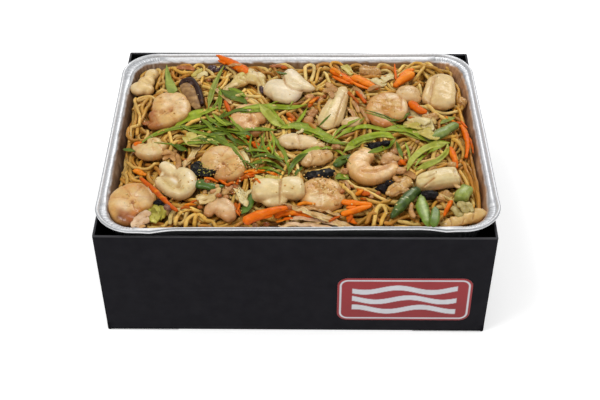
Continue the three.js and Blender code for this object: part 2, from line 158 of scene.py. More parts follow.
def mesh_object(name, verts, faces, loc=True, colour=None, smooth=True, extra=None):
    """verts in mm; faces an (N,3) or (N,4) array or a list of lists."""
    v = (to_row(verts) if loc else np.asarray(verts, float)) * MM
    me = bpy.data.meshes.new(name)
    if isinstance(faces, np.ndarray):
        n, k = faces.shape
        me.vertices.add(len(v))
        me.vertices.foreach_set("co", v.astype(np.float32).ravel())
        me.loops.add(n * k)
        me.loops.foreach_set("vertex_index", faces.astype(np.int32).ravel())
        me.polygons.add(n)
        me.polygons.foreach_set("loop_start", np.arange(0, n * k, k, dtype=np.int32))
        me.update(calc_edges=True)
    else:
        me.from_pydata([tuple(p) for p in v], [], [tuple(int(i) for i in f) for f in faces])
        me.update()
    me.validate()
    if smooth:
        me.polygons.foreach_set("use_smooth", np.ones(len(me.polygons), bool))
    if colour is not None:
        paint(me, colour)
    for key, values in (extra or {}).items():
        a = me.attributes.new(key, "FLOAT", "POINT")
        a.data.foreach_set("value", np.asarray(values, np.float32))
    o = bpy.data.objects.new(name, me)
    bpy.context.scene.collection.objects.link(o)
    return o


def paint(me, rgb):
    a = me.attributes.new("Tint", "FLOAT_COLOR", "POINT")
    c = np.ones((len(rgb), 4), np.float32)
    c[:, :3] = np.clip(rgb, 0, 1)
    a.data.foreach_set("color", c.ravel())


def grid_faces(rows, cols, wrap=True, flip=False):
    r = np.arange(rows - 1)[:, None]
    c = np.arange(cols if wrap else cols - 1)[None, :]
    c2 = (c + 1) % cols
    f = np.stack([r * cols + c, r * cols + c2, (r + 1) * cols + c2, (r + 1) * cols + c], -1).reshape(-1, 4)
    return f[:, ::-1] if flip else f


def spline(points, step=None, count=None):
    """Catmull-Rom through rows of any width; the first three columns are xyz."""
    p = np.asarray(points, float)
    if len(p) == 2:
        t = np.linspace(0, 1, count or 8)[:, None]
        return p[0] * (1 - t) + p[1] * t
    q = np.vstack([2 * p[0] - p[1], p, 2 * p[-1] - p[-2]])
    out = []
    for i in range(1, len(q) - 2):
        n = 10
        t = np.linspace(0, 1, n, endpoint=False)[:, None]
        a, b, c, d = q[i - 1], q[i], q[i + 1], q[i + 2]
        out.append(0.5 * ((2 * b) + (c - a) * t + (2 * a - 5 * b + 4 * c - d) * t ** 2 + (3 * b - a - 3 * c + d) * t ** 3))
    out.append(p[-1][None])
    s = np.vstack(out)
    L = np.concatenate([[0], np.cumsum(np.linalg.norm(np.diff(s[:, :3], axis=0), axis=1))])
    m = count or max(3, int(L[-1] / step) + 1)
    u = np.linspace(0, L[-1], m)
    return np.stack([np.interp(u, L, s[:, k]) for k in range(s.shape[1])], -1)


def frames(p):
    t = np.gradient(p, axis=0)
    t /= np.maximum(np.linalg.norm(t, axis=1, keepdims=True), 1e-9)
    s = np.cross(np.array([0, 0, 1.0]), t)
    n = np.linalg.norm(s, axis=1, keepdims=True)
    s = np.where(n > 0.15, s / np.maximum(n, 1e-9), 0)
    for i in range(1, len(s)):
        if not s[i].any():
            s[i] = s[i - 1]
    if not s[0].any():
        s[0] = np.array([1.0, 0, 0])
    u = np.cross(t, s)
    return t, s, u


def tube(path, side, up, sides=12, square=0.0):
    """A closed tube with round ends. side, up: half widths at each point."""
    p = np.asarray(path, float)
    n = len(p)
    t, s, u = frames(p)
    a = np.linspace(0, 2 * np.pi, sides, endpoint=False)
    ca, sa = np.cos(a), np.sin(a)
    if square:
        k = (np.abs(ca) ** (2 + square) + np.abs(sa) ** (2 + square)) ** (-1 / (2 + square))
        ca, sa = ca * k, sa * k
    ring = p[:, None] + s[:, None] * (ca[None, :, None] * np.asarray(side)[:, None, None]) + u[:, None] * (sa[None, :, None] * np.asarray(up)[:, None, None])
    v = np.vstack([ring.reshape(-1, 3), p[:1], p[-1:]])
    f = [list(q) for q in grid_faces(n, sides)]
    for k in range(sides):
        f.append([(k + 1) % sides, k, n * sides])
        f.append([(n - 1) * sides + k, (n - 1) * sides + (k + 1) % sides, n * sides + 1])
    return v, f


def ended(n, blunt=0.12):
    """Width factor along a body of n rings with round ends."""
    t = np.linspace(0, 1, n)
    e = np.minimum(t, 1 - t) / blunt
    return np.sqrt(np.clip(1 - (1 - np.clip(e, 0, 1)) ** 2, 0.0004, 1))


def stack(parts):
    vs, fs, base = [], [], 0
    for v, f in parts:
        vs.append(v)
        fs += [[i + base for i in q] for q in f]
        base += len(v)
    return np.vstack(vs), fs


def remeshed(name, verts, faces, voxel=0.8, relax=4):
    """Union of overlapping bodies as one skin, in tray coordinates."""
    me = bpy.data.meshes.new(name)
    me.from_pydata([tuple(p) for p in verts], [], [tuple(q) for q in faces])
    o = bpy.data.objects.new(name, me)
    bpy.context.scene.collection.objects.link(o)
    m = o.modifiers.new("r", "REMESH")
    m.mode, m.voxel_size = "VOXEL", voxel
    if relax:
        k = o.modifiers.new("s", "SMOOTH")
        k.factor, k.iterations = 0.5, relax
    bpy.context.view_layer.update()
    e = o.evaluated_get(bpy.context.evaluated_depsgraph_get())
    r = e.to_mesh()
    v = np.empty(len(r.vertices) * 3, np.float32)
    r.vertices.foreach_get("co", v)
    nrm = np.empty(len(r.vertices) * 3, np.float32)
    r.vertices.foreach_get("normal", nrm)
    f = [list(q.vertices) for q in r.polygons]
    e.to_mesh_clear()
    bpy.data.objects.remove(o)
    bpy.data.meshes.remove(me)
    return v.reshape(-1, 3).astype(float), nrm.reshape(-1, 3).astype(float), f


# =====================================================================
# materials
# =====================================================================
def material(name, rough=0.5, metallic=0.0, sss=0.0, sss_radius=(0.004, 0.002, 0.001), coat=0.0, coat_rough=0.1, spec=0.5,
             colour=None, tint="Tint", speckle=None, bump=0.0, bump_scale=400.0, bump_detail=4.0, rough_var=0.0,
             var=0.0, var_scale=300.0, ior=1.45, metal_from=None):
    m = bpy.data.materials.new(name)
    m.use_nodes = True
    nt = m.node_tree
    nt.nodes.clear()
    out = nt.nodes.new("ShaderNodeOutputMaterial")
    b = nt.nodes.new("ShaderNodeBsdfPrincipled")
    nt.links.new(b.outputs[0], out.inputs[0])
    b.inputs["Roughness"].default_value = rough
    b.inputs["Metallic"].default_value = metallic
    b.inputs["IOR"].default_value = ior
    b.inputs["Specular IOR Level"].default_value = spec
    if sss:
        b.inputs["Subsurface Weight"].default_value = sss
        b.inputs["Subsurface Radius"].default_value = sss_radius
        b.inputs["Subsurface Scale"].default_value = 1.0
    if coat:
        b.inputs["Coat Weight"].default_value = coat
        b.inputs["Coat Roughness"].default_value = coat_rough
    if metal_from:
        ma = nt.nodes.new("ShaderNodeAttribute")
        ma.attribute_name = metal_from
        nt.links.new(ma.outputs["Fac"], b.inputs["Metallic"])
    coord = nt.nodes.new("ShaderNodeTexCoord")
    if colour is None:
        c = nt.nodes.new("ShaderNodeAttribute")
        c.attribute_name = tint
        base = c.outputs["Color"]
    else:
        c = nt.nodes.new("ShaderNodeRGB")
        c.outputs[0].default_value = (*colour, 1)
        base = c.outputs[0]

    def noise(scale, detail=3.0, rough_=0.55):
        n = nt.nodes.new("ShaderNodeTexNoise")
        n.inputs["Scale"].default_value = scale
        n.inputs["Detail"].default_value = detail
        n.inputs["Roughness"].default_value = rough_
        nt.links.new(coord.outputs["Object"], n.inputs["Vector"])
        return n

    def blend(kind, a, bb, fac):
        x = nt.nodes.new("ShaderNodeMix")
        x.data_type = "RGBA"
        x.blend_type = kind
        for src, dst in ((a, x.inputs[6]), (bb, x.inputs[7]), (fac, x.inputs[0])):
            if hasattr(src, "is_output"):
                nt.links.new(src, dst)
            else:
                dst.default_value = src
        return x.outputs[2]

    def ramp(src, lo_, hi_, a=0.0, z=1.0):
        r = nt.nodes.new("ShaderNodeMapRange")
        r.inputs["From Min"].default_value = lo_
        r.inputs["From Max"].default_value = hi_
        r.inputs["To Min"].default_value = a
        r.inputs["To Max"].default_value = z
        nt.links.new(src, r.inputs["Value"])
        return r.outputs["Result"]

    if var:
        n = noise(var_scale, 4.0)
        base = blend("MULTIPLY", base, ramp_colour(nt, n.outputs["Fac"], 1 - var, 1 + var), 1.0)
    if speckle:
        for (rgb, scale, amount, strength) in speckle:
            n = noise(scale, 2.0)
            base = blend("MIX", base, (*rgb, 1), ramp(n.outputs["Fac"], 0.5 + amount, 0.5 + amount + 0.05, 0, strength))
    nt.links.new(base, b.inputs["Base Color"])
    if rough_var:
        n = noise(var_scale * 1.7, 3.0)
        nt.links.new(ramp(n.outputs["Fac"], 0.3, 0.7, max(0.02, rough - rough_var), min(1, rough + rough_var)), b.inputs["Roughness"])
    if bump:
        n = noise(bump_scale, bump_detail, 0.6)
        bn = nt.nodes.new("ShaderNodeBump")
        bn.inputs["Strength"].default_value = 1.0
        bn.inputs["Distance"].default_value = bump * MM
        nt.links.new(n.outputs["Fac"], bn.inputs["Height"])
        nt.links.new(bn.outputs[0], b.inputs["Normal"])
    return m


def ramp_colour(nt, src, lo_, hi_):
    r = nt.nodes.new("ShaderNodeMapRange")
    r.inputs["From Min"].default_value = 0.3
    r.inputs["From Max"].default_value = 0.7
    r.inputs["To Min"].default_value = lo_
    r.inputs["To Max"].default_value = hi_
    nt.links.new(src, r.inputs["Value"])
    c = nt.nodes.new("ShaderNodeCombineColor")
    for k in range(3):
        nt.links.new(r.outputs["Result"], c.inputs[k])
    return c.outputs[0]


M_BOARD = material("board", rough=0.7, spec=0.10, bump=0.05, bump_scale=900, var=0.12, var_scale=60, rough_var=0.08)
M_FOIL = material("foil", rough=0.42, metal_from="Metal", bump=0.11, bump_scale=520, bump_detail=5, var=0.12, var_scale=520, rough_var=0.06)
M_STICKER = material("sticker", rough=0.38, spec=0.45, bump=0.02, bump_scale=700, var=0.05, var_scale=90)
M_NOODLE = material("noodle", rough=0.40, sss=0.12, sss_radius=(0.0016, 0.0009, 0.0004), coat=0.10, coat_rough=0.2, spec=0.28,
                    bump=0.12, bump_scale=500, var=0.18, var_scale=160, rough_var=0.10,
                    speckle=[(tuple(srgb(120, 66, 18)), 700, 0.13, 0.5)])
M_CORE = material("noodle_core", rough=0.6, bump=0.6, bump_scale=220, var=0.3, var_scale=200)
M_PRAWN = material("prawn", rough=0.31, sss=0.16, sss_radius=(0.0018, 0.0013, 0.0006), coat=0.22, coat_rough=0.12, spec=0.26,
                   bump=0.36, bump_scale=330, var=0.12, var_scale=200, rough_var=0.14,
                   speckle=[(tuple(srgb(186, 128, 66)), 420, 0.16, 0.16)])
M_SQUID = material("squid", rough=0.31, sss=0.16, sss_radius=(0.0018, 0.0014, 0.0008), coat=0.22, coat_rough=0.12, spec=0.26,
                   bump=0.32, bump_scale=280, var=0.10, var_scale=160, rough_var=0.14,
                   speckle=[(tuple(srgb(190, 140, 78)), 380, 0.16, 0.14)])
M_CARROT = material("carrot", rough=0.40, sss=0.04, sss_radius=(0.0012, 0.0006, 0.0002), coat=0.05, coat_rough=0.2, spec=0.16,
                    bump=0.22, bump_scale=420, var=0.14, var_scale=300, rough_var=0.10)
M_BEAN = material("bean", rough=0.30, coat=0.16, coat_rough=0.14, spec=0.25,
                  bump=0.2, bump_scale=380, var=0.2, var_scale=260, rough_var=0.08)
M_MUSH = material("mushroom", rough=0.40, coat=0.04, coat_rough=0.14, spec=0.14, bump=0.35, bump_scale=420, var=0.25, var_scale=300, rough_var=0.1)
M_CABB = material("cabbage", rough=0.38, sss=0.16, sss_radius=(0.002, 0.002, 0.0008), coat=0.1, coat_rough=0.16, spec=0.25,
                  bump=0.2, bump_scale=300, var=0.12, var_scale=240, rough_var=0.10)
M_LEEK = material("spring_onion", rough=0.42, coat=0.05, coat_rough=0.2, spec=0.16,
                  bump=0.12, bump_scale=420, var=0.16, var_scale=300, rough_var=0.08)
M_CRUMB = material("crumbs", rough=0.45, bump=0.1, bump_scale=900, var=0.25, var_scale=900)


def finish_piece(o, mat, slot_name, *nodes):
    o.data.materials.clear()
    o.data.materials.append(mat)
    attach(o, "root")
    if nodes:
        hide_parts(*nodes)
    return o


# =====================================================================
# rounded rectangles
# =====================================================================
def ring(half_w, half_d, r, arc, run):
    """Stations of a rounded rectangle, anticlockwise from the right-front...
    returns xy (N,2), outward normal (N,2), side tag and arc-length."""
    pts, nrm, tag = [], [], []
    for q, (sx, sy) in enumerate(((1, 1), (-1, 1), (-1, -1), (1, -1))):
        for i in range(arc + 1):
            a = math.radians(q * 90 + 90 * i / arc)
            pts.append((sx * (half_w - r) + r * math.cos(a), sy * (half_d - r) + r * math.sin(a)))
            nrm.append((math.cos(a), math.sin(a)))
            tag.append(q)
        sx2, sy2 = ((-1, 1), (-1, -1), (1, -1), (1, 1))[q]
        a = math.radians((q + 1) * 90)
        p0 = (sx * (half_w - r) + r * math.cos(a), sy * (half_d - r) + r * math.sin(a))
        p1 = (sx2 * (half_w - r) + r * math.cos(a), sy2 * (half_d - r) + r * math.sin(a))
        for i in range(1, run):
            t = i / run
            pts.append((p0[0] + (p1[0] - p0[0]) * t, p0[1] + (p1[1] - p0[1]) * t))
            nrm.append((math.cos(a), math.sin(a)))
            tag.append(4 + q)
    return np.array(pts), np.array(nrm), np.array(tag)


# =====================================================================
# board box
# =====================================================================
def build_box():
    hw, hd = BOX_W / 2, BOX_D / 2
    xy, nrm, tag = ring(hw, hd, 1.8, 5, 46)
    n = len(xy)
    prof = []  # inset, z, shade 0 face, 1 cut edge, 2 inside
    prof += [(60, 0.0, 0), (6, 0.0, 0), (2.2, 0.0, 0), (1.0, 0.12, 0), (0.35, 0.5, 0), (0.06, 1.2, 0), (0, 2.2, 0)]
    prof += [(0, z, 0) for z in np.linspace(6, BOX_H - 3, 24)]
    prof += [(0, BOX_H - 1.2, 0), (0.08, BOX_H - 0.5, 1), (0.35, BOX_H - 0.12, 1), (0.8, BOX_H, 1), (1.3, BOX_H, 1), (1.75, BOX_H - 0.15, 1), (1.95, BOX_H - 0.6, 1), (2.0, BOX_H - 1.4, 2)]
    prof += [(2.0, z, 2) for z in np.linspace(BOX_H - 4, 3, 14)]
    prof += [(3.0, 2.2, 2), (8, 2.0, 2), (60, 2.0, 2)]
    rows, cols = [], []
    for o, z, shade in prof:
        lean = BOX_TAPER * (1 - z / BOX_H)
        bow = 0.0
        p = xy - nrm * (o + lean)
        # the long walls are a touch bowed between the corners
        u = np.where(np.isin(tag, (4, 6)), np.cos(np.pi * xy[:, 0] / (2 * hw)), np.where(np.isin(tag, (5, 7)), np.cos(np.pi * xy[:, 1] / (2 * hd)), 0))
        bow = 0.5 * u * math.sin(math.pi * min(1, z / BOX_H) * 0.8)
        p = p + nrm * np.maximum(bow, 0)[:, None] * (1 if shade != 2 else 1)
        rows.append(np.column_stack([p, np.full(n, z)]))
        cols.append(np.full(n, shade))
    v = np.vstack(rows)
    shade = np.concatenate(cols)
    f = [list(q) for q in grid_faces(len(prof), n)]
    # floor discs
    c0, c1 = len(v), len(v) + 1
    v = np.vstack([v, [[0, 0, 0.0], [0, 0, 2.0]]])
    shade = np.concatenate([shade, [0, 2]])
    for k in range(n):
        f.append([(k + 1) % n, k, c0])
        f.append([(len(prof) - 1) * n + k, (len(prof) - 1) * n + (k + 1) % n, c1])
    face = srgb(22, 21, 26)
    # the cut top edge is lighter: partly wear, partly a painted highlight where the edge catches the light
    edge = srgb(74, 73, 76)
    inside = srgb(13, 13, 14)
    col = np.where((shade == 1)[:, None], edge, np.where((shade == 2)[:, None], inside, face))
    scuff = smooth01(0.35, 0.8, fbm(v, 22, 3)) * 0.5 + 0.5 * smooth01(0.3, 0.9, fbm(v * np.array([1, 1, 0.3]), 6, 9))
    rim = smooth01(BOX_H - 5, BOX_H - 1, v[:, 2]) * (shade == 0)
    foot = (1 - smooth01(0.5, 3.0, v[:, 2])) * (shade == 0)
    col = mix(col, srgb(60, 59, 63), np.clip(0.35 * scuff * (rim + foot), 0, 1))
    v = v + BOX_C
    o = mesh_object("box_board", v, f, loc=False, colour=col)
    o.data.polygons.foreach_set("use_smooth", np.ones(len(o.data.polygons), bool))
    return finish_piece(o, M_BOARD, "board", "box")


# =====================================================================
# sticker: a plain red label with a pale border and three wavy bands
# =====================================================================
def build_label():
    w, h, r = 112.0, 50.0, 9.0
    cx, cz = 91.0, 39.0
    nx, nz = 150, 68
    lean = math.atan2(BOX_TAPER, BOX_H)
    xs, zs = np.linspace(-w / 2, w / 2, nx), np.linspace(-h / 2, h / 2, nz)
    X, Z = np.meshgrid(xs, zs, indexing="ij")
    # squeeze the grid's corners onto the rounded outline
    ax, az = w / 2 - r, h / 2 - r
    over_x, over_z = np.maximum(np.abs(X) - ax, 0), np.maximum(np.abs(Z) - az, 0)
    m = np.maximum(over_x, over_z)
    L = np.hypot(over_x, over_z)
    k = np.where(L > 1e-9, m / np.maximum(L, 1e-9), 1)
    X = np.where(np.abs(X) > ax, np.sign(X) * (ax + over_x * k), X)
    Z = np.where(np.abs(Z) > az, np.sign(Z) * (az + over_z * k), Z)
    d = r - np.hypot(np.maximum(np.abs(X) - ax, 0), np.maximum(np.abs(Z) - az, 0))
    edge = np.minimum(np.minimum(w / 2 - np.abs(X), h / 2 - np.abs(Z)), np.where((np.abs(X) > ax) & (np.abs(Z) > az), d, 1e3))
    red, red2, pale = srgb(150, 24, 30), srgb(128, 18, 25), srgb(205, 205, 209)
    col = np.tile(red, (nx * nz, 1)).reshape(nx, nz, 3)
    col = mix(col, red2, 0.6 * smooth01(-h / 2, h / 2, -Z))
    border = smooth01(1.5, 2.1, edge) * (1 - smooth01(3.2, 3.8, edge))
    col = mix(col, pale, border)
    for zc, ph in ((-11.5, 0.0), (0.0, 1.1), (11.5, 2.2)):
        wave = zc + 2.6 * np.sin(X / w * 4 * math.pi + ph)
        band = (1 - smooth01(2.5, 3.1, np.abs(Z - wave))) * (1 - smooth01(w / 2 - 12.5, w / 2 - 12.0, np.abs(X)))
        col = mix(col, pale, band)
    bx = cx + X
    bz = cz + Z * math.cos(lean)
    lean_in = BOX_TAPER * (1 - bz / BOX_H)
    bow = 0.5 * np.cos(np.pi * bx / BOX_W) * np.sin(np.pi * bz / BOX_H * 0.8)
    y = -(BOX_D / 2 - lean_in) - bow
    front = np.stack([bx, y - 0.42 + 0.14 * smooth01(1.2, 0, edge), bz], -1).reshape(-1, 3)
    back = np.stack([bx, y - 0.12, bz], -1).reshape(-1, 3)
    v = np.vstack([front, back]) + BOX_C
    n = nx * nz
    i, j = np.meshgrid(np.arange(nx - 1), np.arange(nz - 1), indexing="ij")
    a = (i * nz + j).ravel()
    quad = np.stack([a, a + nz, a + nz + 1, a + 1], -1)
    faces = [list(q) for q in quad] + [list(q[::-1] + n) for q in quad]
    loop = [k * nz for k in range(nx)] + [(nx - 1) * nz + k for k in range(1, nz)] + [k * nz + nz - 1 for k in range(nx - 2, -1, -1)] + [k for k in range(nz - 2, 0, -1)]
    for k in range(len(loop)):
        p, q = loop[k], loop[(k + 1) % len(loop)]
        faces.append([q, p, p + n, q + n])
    col = np.vstack([col.reshape(-1, 3), np.tile(pale, (n, 1))])
    o = mesh_object("sticker", v, faces, loc=False, colour=col)
    return finish_piece(o, M_STICKER, "sticker", "label")


# =====================================================================
# foil tray
# =====================================================================
def build_tray():
    arc, run = 44, 76
    xy, nrm, tag = ring(TRAY_W / 2, TRAY_D / 2, TRAY_R, arc, run)
    n = len(xy)
    seg = np.linalg.norm(np.roll(xy, -1, 0) - xy, axis=1)
    s = np.concatenate([[0], np.cumsum(seg)[:-1]])
    corner = np.isin(tag, (0, 1, 2, 3)).astype(float)
    # how strongly a station belongs to a corner, fading along the sides
    dist = np.full(n, 1e3)
    for q, (sx, sy) in enumerate(((1, 1), (-1, 1), (-1, -1), (1, -1))):
        c = np.array([sx * (TRAY_W / 2 - TRAY_R), sy * (TRAY_D / 2 - TRAY_R)])
        dd = np.maximum(0, np.maximum(sx * (c[0] - xy[:, 0]), 0) + np.maximum(sy * (c[1] - xy[:, 1]), 0))
        dist = np.minimum(dist, dd)
    crimp = 1 - smooth01(0, 22, dist)
    wob = np.column_stack([xy, np.zeros(n)])

    def wall(z):
        return FLANGE + WALL_LEAN * -z / TRAY_DEPTH

    prof = [  # inset, z, kind: 0 bead 1 flange 2 inner wall 3 outside
        (60, -TRAY_DEPTH + 0.9, 2), (wall(-65) + 12, -TRAY_DEPTH + 0.9, 2), (wall(-65) + 4, -TRAY_DEPTH + 1.3, 2), (wall(-65) + 1.2, -TRAY_DEPTH + 3.6, 2)]
    prof += [(wall(z), z, 2) for z in (-56, -46, -36, -28, -22, -18, -15, -12.5, -10.5, -8.7, -7.2, -6.0, -5.0, -4.2)]
    prof += [(FLANGE - 0.25, -3.5, 2), (FLANGE - 0.75, -2.9, 1), (FLANGE - 1.5, -2.35, 1), (FLANGE - 2.6, -2.0, 1), (FLANGE - 3.8, -1.8, 1), (FLANGE - 5.0, -1.72, 1),
             (4.6, -1.85, 1), (4.1, -2.05, 1), (3.75, -2.35, 0), (3.45, -2.2, 0), (3.15, -1.5, 0), (2.75, -0.75, 0), (2.2, -0.25, 0), (1.6, -0.05, 0), (1.0, -0.2, 0), (0.5, -0.6, 0), (0.12, -1.2, 0),
             (0, -1.9, 3), (0.2, -2.6, 3), (0.7, -3.2, 3), (1.5, -3.45, 3), (2.4, -3.3, 3), (3.2, -3.0, 3), (4.4, -2.7, 3), (7.5, -2.6, 3), (9.0, -3.1, 3)]
    prof += [(wall(z) - 0.55, z, 3) for z in (-4.6, -6.5, -10, -16, -24, -34, -46, -56)]
    prof += [(wall(-65) + 1.0, -TRAY_DEPTH + 2.6, 3), (wall(-65) + 4, -TRAY_DEPTH + 0.4, 3), (wall(-65) + 12, -TRAY_DEPTH, 3), (60, -TRAY_DEPTH, 3)]
    rows, kinds = [], []
    phase = s / 3.05 * 2 * math.pi
    pleat = s / 6.4 * 2 * math.pi
    for o, z, kind in prof:
        r = max(TRAY_R - o, 6.0)
        p, _, _ = ring(TRAY_W / 2 - o, TRAY_D / 2 - o, r, arc, run)
        q = np.column_stack([p, np.full(n, float(z))])
        shelf = smooth01(3.2, 4.4, o) * (1 - smooth01(9.2, 10.4, o)) if z > -4 else 0
        q[:, 2] += shelf * (0.42 * crimp * np.sin(phase) + 0.12 * vnoise(wob + 7, 5, 1) + 0.06 * vnoise(wob * 1.0 + o * 3, 2.2, 12))
        depth = smooth01(3.0, 9.0, -z) * (1 - 0.45 * smooth01(30, 62, -z))
        if kind in (2, 3) and -z > 3.0 and -z < TRAY_DEPTH - 1:
            w_ = depth * (crimp * 0.75 * (np.sin(pleat) + 0.4 * np.sin(pleat * 2.3 + 1)) + (0.5 + 0.25 * (1 - crimp)) * vnoise(np.column_stack([s, np.full(n, z * 0.7), np.zeros(n)]), 9, 4)
                          + 0.18 * np.sin(s / 3.4 * 2 * math.pi))
            q[:, :2] += nrm * w_[:, None]
        edge_wave = smooth01(8.3, 9.6, o) * (1 - smooth01(10.5, 11.5, o))
        q[:, :2] += nrm * (edge_wave * (0.35 * vnoise(wob, 4, 2) + 0.25 * vnoise(wob, 9, 6)))[:, None]
        # hand-bent rim: slow waves, the front edge turned up between its corners
        lift = 0.35 * vnoise(wob, 55, 8) + 0.2 * vnoise(wob, 24, 5)
        q[:, 2] += lift * (1 - smooth01(6, 16, -z))
        if z > -12:
            front = smooth01(TRAY_D / 2 - 22, TRAY_D / 2 - 4, -q[:, 1]) * (1 - smooth01(96, 138, np.abs(q[:, 0])))
            bend = smooth01(TRAY_D / 2 - 52, TRAY_D / 2 - 16, -q[:, 1]) * smooth01(90, 130, np.abs(q[:, 0]))
            ang = np.maximum(math.radians(25) * front, math.radians(15) * bend)
            do = FLANGE + 0.4 - o
            if do > 0:
                q[:, :2] -= nrm * (do * (1 - np.cos(ang)))[:, None]
                q[:, 2] += do * np.sin(ang) * np.ones(n)
        # the short walls bulge, so the rim is narrower along them
        bulge = smooth01(TRAY_W / 2 - 30, TRAY_W / 2 - 16, np.abs(q[:, 0])) * (1 - smooth01(72, 106, np.abs(q[:, 1])))
        q[:, 0] += np.sign(q[:, 0]) * 2.3 * bulge * (smooth01(3.6, FLANGE - 0.5, o) if z > -4 else 1 - smooth01(16, 44, -z))
        rows.append(q)
        kinds.append(np.full(n, kind))
    v = np.vstack(rows)
    kind = np.concatenate(kinds)
    f = [list(q) for q in grid_faces(len(prof), n)]
    c0, c1 = len(v), len(v) + 1
    v = np.vstack([v, [[0, 0, -TRAY_DEPTH + 0.9], [0, 0, -TRAY_DEPTH]]])
    kind = np.concatenate([kind, [2, 3]])
    for k in range(n):
        f.append([(k + 1) % n, k, c0])
        f.append([(len(prof) - 1) * n + k, (len(prof) - 1) * n + (k + 1) % n, c1])
    bright = srgb(220, 221, 223)
    col = np.tile(bright, (len(v), 1))
    metal = np.full(len(v), 0.42)
    # the long sides of the rim get a painted highlight: lighter colour and less metal where they catch more light
    long_side_sheen = smooth01(TRAY_D / 2 - 26, TRAY_D / 2 - 10, np.abs(v[:, 1])) * (1 - smooth01(118, 146, np.abs(v[:, 0])))
    col = mix(col, srgb(240, 240, 241), 0.8 * long_side_sheen)
    metal = metal - 0.28 * long_side_sheen
    inset = np.concatenate([np.repeat([p[0] for p in prof], n), [60, 60]])
    top = np.concatenate([np.repeat([float(p[1] > -4) for p in prof], n), [0, 0]])
    # creases rolled into the rim: a thin line of painted shade each side of the bead
    for at_, wide in ((3.75, 0.45), (0.35, 0.5), (9.5, 0.5)):
        line = np.exp(-((inset - at_) / wide) ** 2) * top * (kind != 3)
        col = mix(col, srgb(120, 122, 126), 0.62 * line)
    # the turned-up front rim: a painted highlight (near white, less metal) across it, and a line of painted shade along
    # its outer edge
    front = smooth01(TRAY_D / 2 - 16, TRAY_D / 2 - 11, -v[:, 1]) * (1 - smooth01(112, 138, np.abs(v[:, 0]))) * (kind != 3) * top
    col = mix(col, srgb(252, 252, 252), front * smooth01(0.9, 2.0, inset))
    col = mix(col, srgb(112, 114, 118), 0.85 * front * (1 - smooth01(0.3, 1.3, inset)))
    metal = metal * (1 - 0.8 * front)
    # along the back, a brownish line of painted shade in the bead groove
    back = smooth01(TRAY_D / 2 - 14, TRAY_D / 2 - 8, v[:, 1]) * (1 - smooth01(128, 150, np.abs(v[:, 0])))
    col = mix(col, srgb(120, 104, 92), 0.85 * np.exp(-((inset - 3.7) / 0.55) ** 2) * top * (kind != 3) * back)
    crimped = np.concatenate([np.tile(crimp, len(prof)), [0, 0]])
    ph = np.concatenate([np.tile(phase, len(prof)), [0, 0]])
    shelf_ = smooth01(3.6, 4.4, inset) * (1 - smooth01(9.4, 10.2, inset)) * top
    # painted shade on one side of each crimp fold in the corners
    col = mix(col, srgb(134, 136, 141), 0.55 * shelf_ * crimped * smooth01(0.1, 0.9, np.sin(ph)))
    col = mix(col, srgb(150, 152, 156), 0.35 * shelf_ * smooth01(0.2, 0.8, fbm(v, 2.6, 51)))
    # oil and soy film on the inner wall, starting just under the rim, with painted shade (the left wall darker than the
    # right) and a painted reflection of the food (brown along the back)
    grease_and_shade = (kind == 2) * smooth01(2.9, 4.3, -v[:, 2] + 0.9 * vnoise(v, 5, 11))
    side_ = smooth01(-0.3, 0.5, v[:, 0] / (TRAY_W / 2))
    film_and_shade = mix(np.tile(srgb(142, 113, 88), (len(v), 1)), srgb(198, 151, 106), side_)
    film_and_shade = mix(film_and_shade, srgb(132, 92, 36), smooth01(TRAY_D / 2 - 34, TRAY_D / 2 - 16, v[:, 1]) * (1 - smooth01(110, 140, np.abs(v[:, 0]))))
    film_and_shade = mix(film_and_shade, srgb(92, 62, 38), 0.8 * smooth01(-0.25, 0.85, fbm(v * np.array([1, 1, 0.5]), 6, 21)))
    film_and_shade = mix(film_and_shade, srgb(206, 190, 170), 0.5 * smooth01(0.45, 0.8, vnoise(v * np.array([1, 1, 0.4]), 3.2, 23)))
    col = mix(col, film_and_shade, grease_and_shade * 0.95)
    metal = np.clip(metal - 0.34 * grease_and_shade, 0.04, 1)
    # below the rim the outside is painted dark: painted shade and the painted reflection of the dark board
    under = (kind == 3) * smooth01(3.4, 6.5, -v[:, 2])
    col = mix(col, srgb(58, 59, 62), 0.92 * under)
    stain = smooth01(0.45, 0.75, fbm(v, 10, 31)) * (kind == 1) * 0.2
    col = mix(col, srgb(196, 176, 150), stain)
    o = mesh_object("foil_tray", v, f, colour=col, extra={"Metal": metal})
    return finish_piece(o, M_FOIL, "foil", "tray")


# =====================================================================
# toppings: helpers
# =====================================================================
def project(v):
    """Where a point of the tray frame shows in the 600 x 400 frame."""
    d = to_row(v) - CAM_P
    z = d @ CF
    return np.stack([300 + CAM_F * (d @ CR) / z, 200 - CAM_F * (d @ CU) / z], -1)


def line_dist(q, pts):
    """Distance, in frame units, from q to a polyline, and how far along it."""
    best, along = np.full(len(q), 1e9), np.zeros(len(q))
    pts = np.asarray(pts, float)
    total = 0.0
    for a, b in zip(pts[:-1], pts[1:]):
        ab = b - a
        L = np.hypot(*ab)
        t = np.clip(((q - a) @ ab) / (L * L), 0, 1)
        d = np.hypot(*(q - a - t[:, None] * ab).T)
        along = np.where(d < best, total + t * L, along)
        best = np.minimum(best, d)
        total += L
    return best, along


def node_mesh(name):
    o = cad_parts[name]
    me = o.data
    v = np.empty(len(me.vertices) * 3, np.float64)
    me.vertices.foreach_get("co", v)
    v = v.reshape(-1, 3)
    m = np.array(o.matrix_world)
    v = v @ m[:3, :3].T + m[:3, 3]
    return to_loc(v * 1000), [list(p.vertices) for p in me.polygons]


def node_z(name):
    v, _ = node_mesh(name)
    return (v[:, 2].min() + v[:, 2].max()) / 2, v[:, 2].min(), v[:, 2].max()


